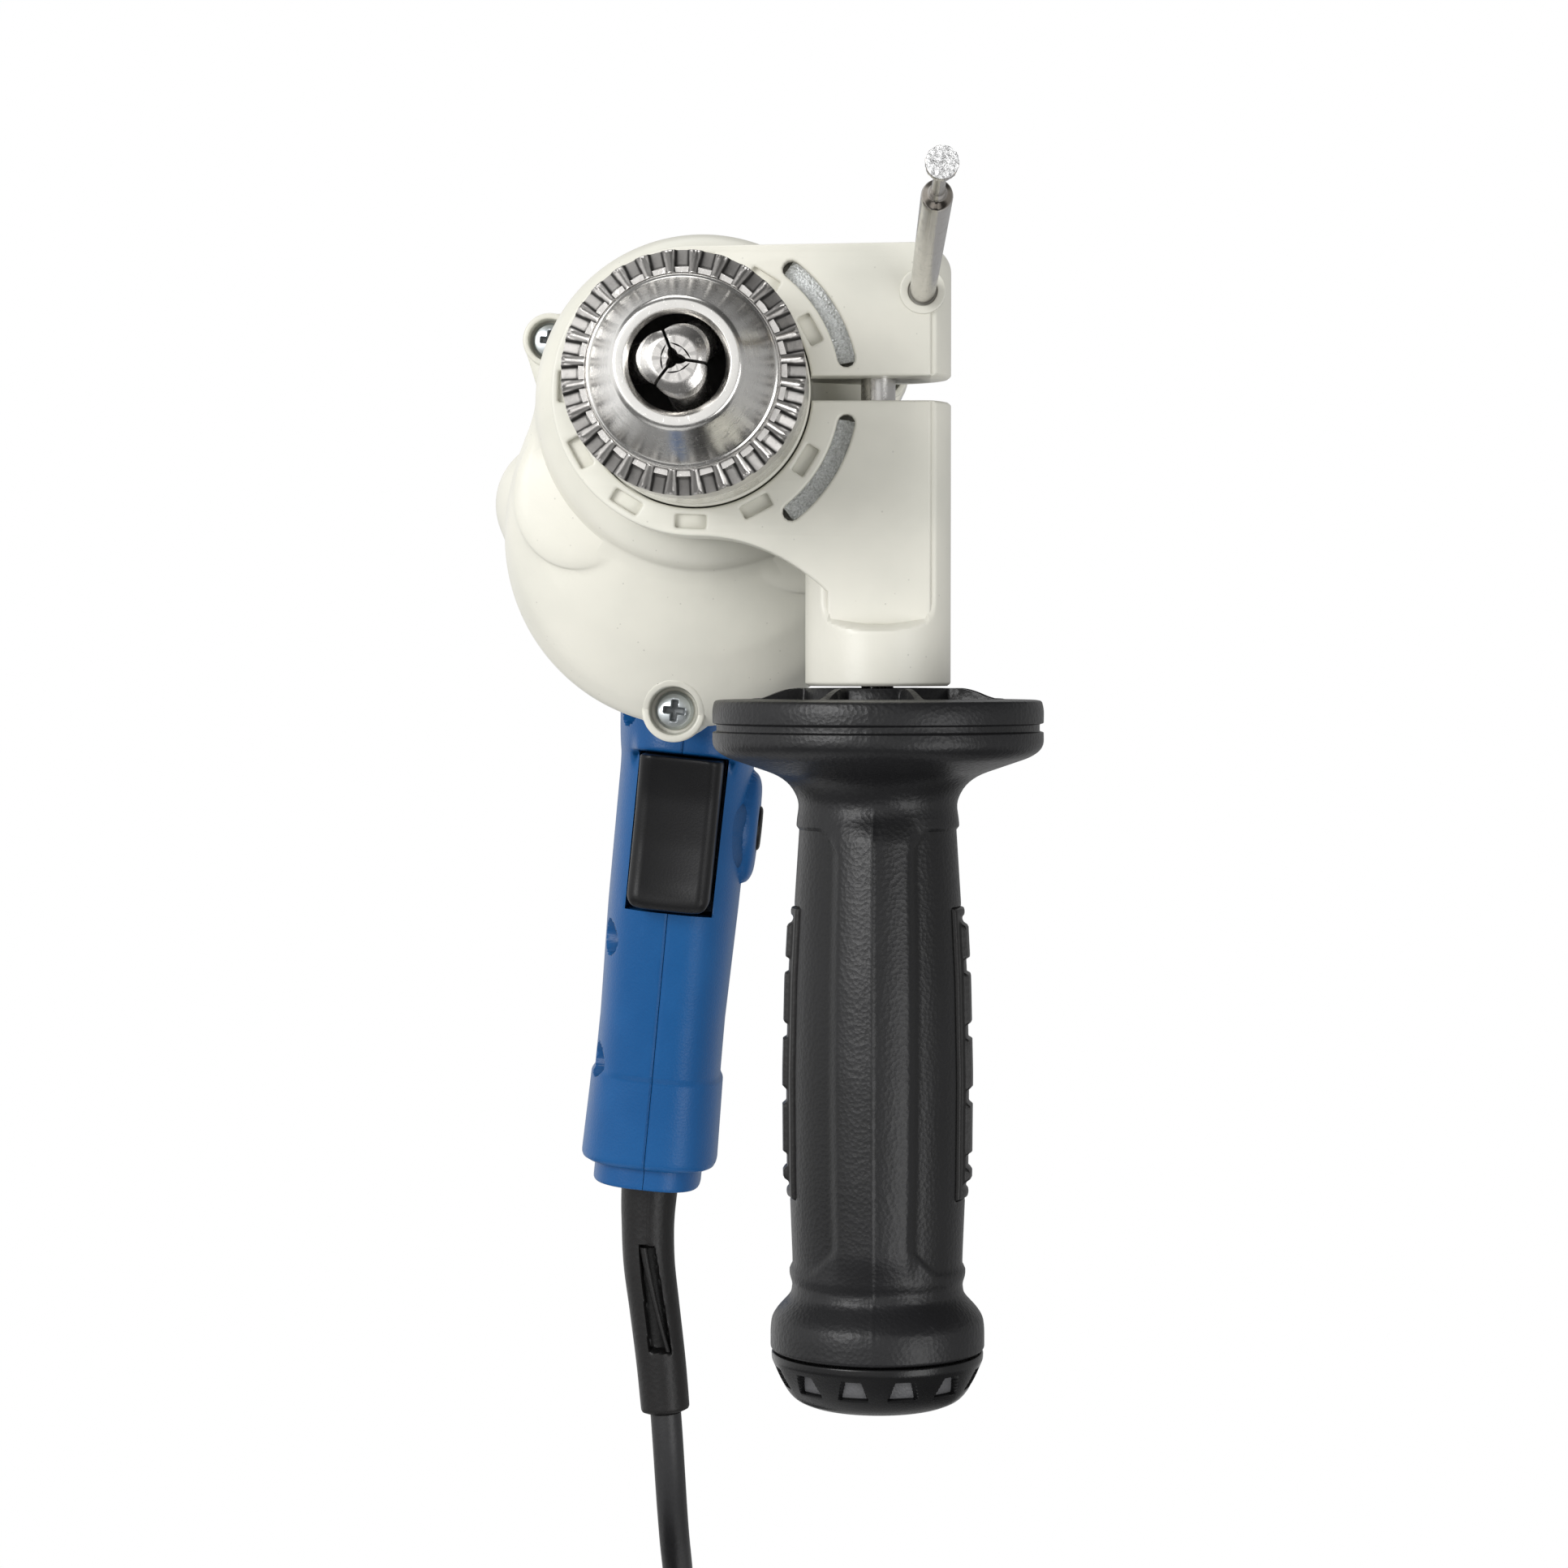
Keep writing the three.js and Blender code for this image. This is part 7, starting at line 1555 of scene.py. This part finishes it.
def make_lock_button():
    """The lock button: turned about x, with shallow rings pressed into its domed face."""
    line = closer(rounded([(11.4, 0.05), (11.4, 5), (17.3, 5, 0.5), (17.8, 4.2, 0.6), (17.55, 0.05)], 5), 0.2)
    angle = turns(72)
    place, r = line[:, :1], line[:, 1:2]
    face = (place > 17.3) * 0.16 * (0.5 + 0.5 * np.cos(r * 5.2)) * (r < 4)
    points = joined(place - face, LOCK[0] + r * np.cos(angle), LOCK[1] + r * np.sin(angle))
    surface = Surface().grid(points, caps=(True, True))
    fit("lock_knob", surface, "lock_body", "trigger_plastic", ("lock_button",), 40)


# Sleeve of the lead

SLEEVE = [(0.3, -158.4), (0.6, -166), (1, -176.2), (2.3, -186.7), (4.6, -197), (7.4, -209.4), (9.6, -220.5)]
SLEEVE_Y = 139.0
SLEEVE_OPENING = {"x": (7.6, 1.75), "strip": (-183.2, -206.0), "depth": 2.4}


def make_sleeve():
    """The lead's sleeve: a circle carried along its bent route, wide at the top and tapering to its rolled
    end. On the camera's side an opening sinks into it, and a thin strip curves down one edge of the
    opening."""
    path = [(x, SLEEVE_Y, z) for x, z in SLEEVE]
    route = smooth_route([(0.2, SLEEVE_Y, -156.6)] + path, 0.42)
    share = np.linspace(0, 1, len(route))
    radius = flowing(share, [0, 0.05, 0.34, 0.62, 0.95, 1], [6.95, 6.95, 5.95, 5.7, 5.55, 5.5], 0.04)
    radius = radius - 1.2 * (1 - arch((1 - share) / 0.016))
    rings = tube(route, radius, 150)
    middle = np.interp(route[:, 2], [-208, -183], SLEEVE_OPENING["x"])
    offset = rings[..., 0] - middle[:, None]
    facing = rings[..., 1] < SLEEVE_Y - 1.0
    z = rings[..., 2]
    half = np.interp(z, [-206, -183], [2.35, 1.65])
    hole = (1 - step(-0.2, 0.2, np.abs(offset) - half)) * facing
    hole = hole * hump(z, -206.6, -205.6, -183.2, -182.4)
    rings[..., 1] += hole * SLEEVE_OPENING["depth"]
    bead = np.exp(-((z + 166.0) / 0.5) ** 2) * 0.16
    rings[..., 1] -= bead * facing
    mould = np.exp(-((rings[..., 0] - route[:, :1]) / 0.2) ** 2) * (rings[..., 1] < SLEEVE_Y - 4) * 0.12
    rings[..., 1] -= mould * (z > -181)
    # Painted shade on the floor of the opening.
    surface = Surface().grid(rings, caps=(True, True), recess=hole * 0.8)
    fit("lead_sleeve", surface, "housing", "black_rubber", ("cord_sleeve",), 40)
    z = np.linspace(*SLEEVE_OPENING["strip"], 46)[:, None]
    across = np.linspace(-0.5, 0.5, 7)[None]
    centre = np.interp(z, [-206, -183], SLEEVE_OPENING["x"])
    first, last = SLEEVE_OPENING["strip"]
    sweep = (z - first) / (last - first)
    x = centre - 0.9 + 2.2 * sweep ** 1.6 + across * (1.5 - 0.6 * sweep)
    y = SLEEVE_Y - 5.6 + 0.35 * (2 * across) ** 2 + 1.0 * sweep * (1 - sweep)
    outer = joined(x, y, z)
    strip = Surface().sheet(outer, outer + np.array([0, 1.2, 0]))
    fit("lead_sleeve_strip", strip, "housing", "black_rubber", (), 40)


make_chuck_body()
make_key_ring()
make_bore_floor()
for jaw_number, jaw_body in enumerate(("jaw_a", "jaw_b", "jaw_c")):
    make_jaw(jaw_number, jaw_body)
make_gearbox()
make_selector()
for lug_side, screw_name in ((1, "right"), (-1, "left")):
    screw_at = (lug_side * SIDE_LUG["x"], 65.6, SIDE_LUG["z"])
    cross_screw("lug_screw_" + screw_name, "gearbox_screw_" + screw_name, screw_at, "y", **LUG_SCREW)
cross_screw("lug_screw_foot", "gearbox_screw_bottom", (FOOT_LUG["x"], 46.7, FOOT_LUG["z"]), "y", **FOOT_SCREW)
for screw_name, (screw_y, screw_z) in CASE_SCREWS.items():
    screw_x = -12.4 if screw_name == "top" else -8.6
    screw_at = (screw_x, screw_y, screw_z)
    cross_screw("case_screw_head_" + screw_name, "case_screw_" + screw_name, screw_at, "x", **CASE_SCREW)
make_clamp()
make_window_floors()
make_bolt()
make_depth_rod()
make_handle()
make_pads()
make_end_cap()
make_housing(-1, "left")
make_housing(1, "right")
make_trigger()
make_lock_button()
make_sleeve()


# Finishes of the CAD nodes that stay

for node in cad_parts.values():
    for place in node.material_slots:
        plain = place.material.name.split(".")[0] if place.material else "black_plastic"
        place.material = FINISHES.get(plain, FINISHES["black_plastic"])
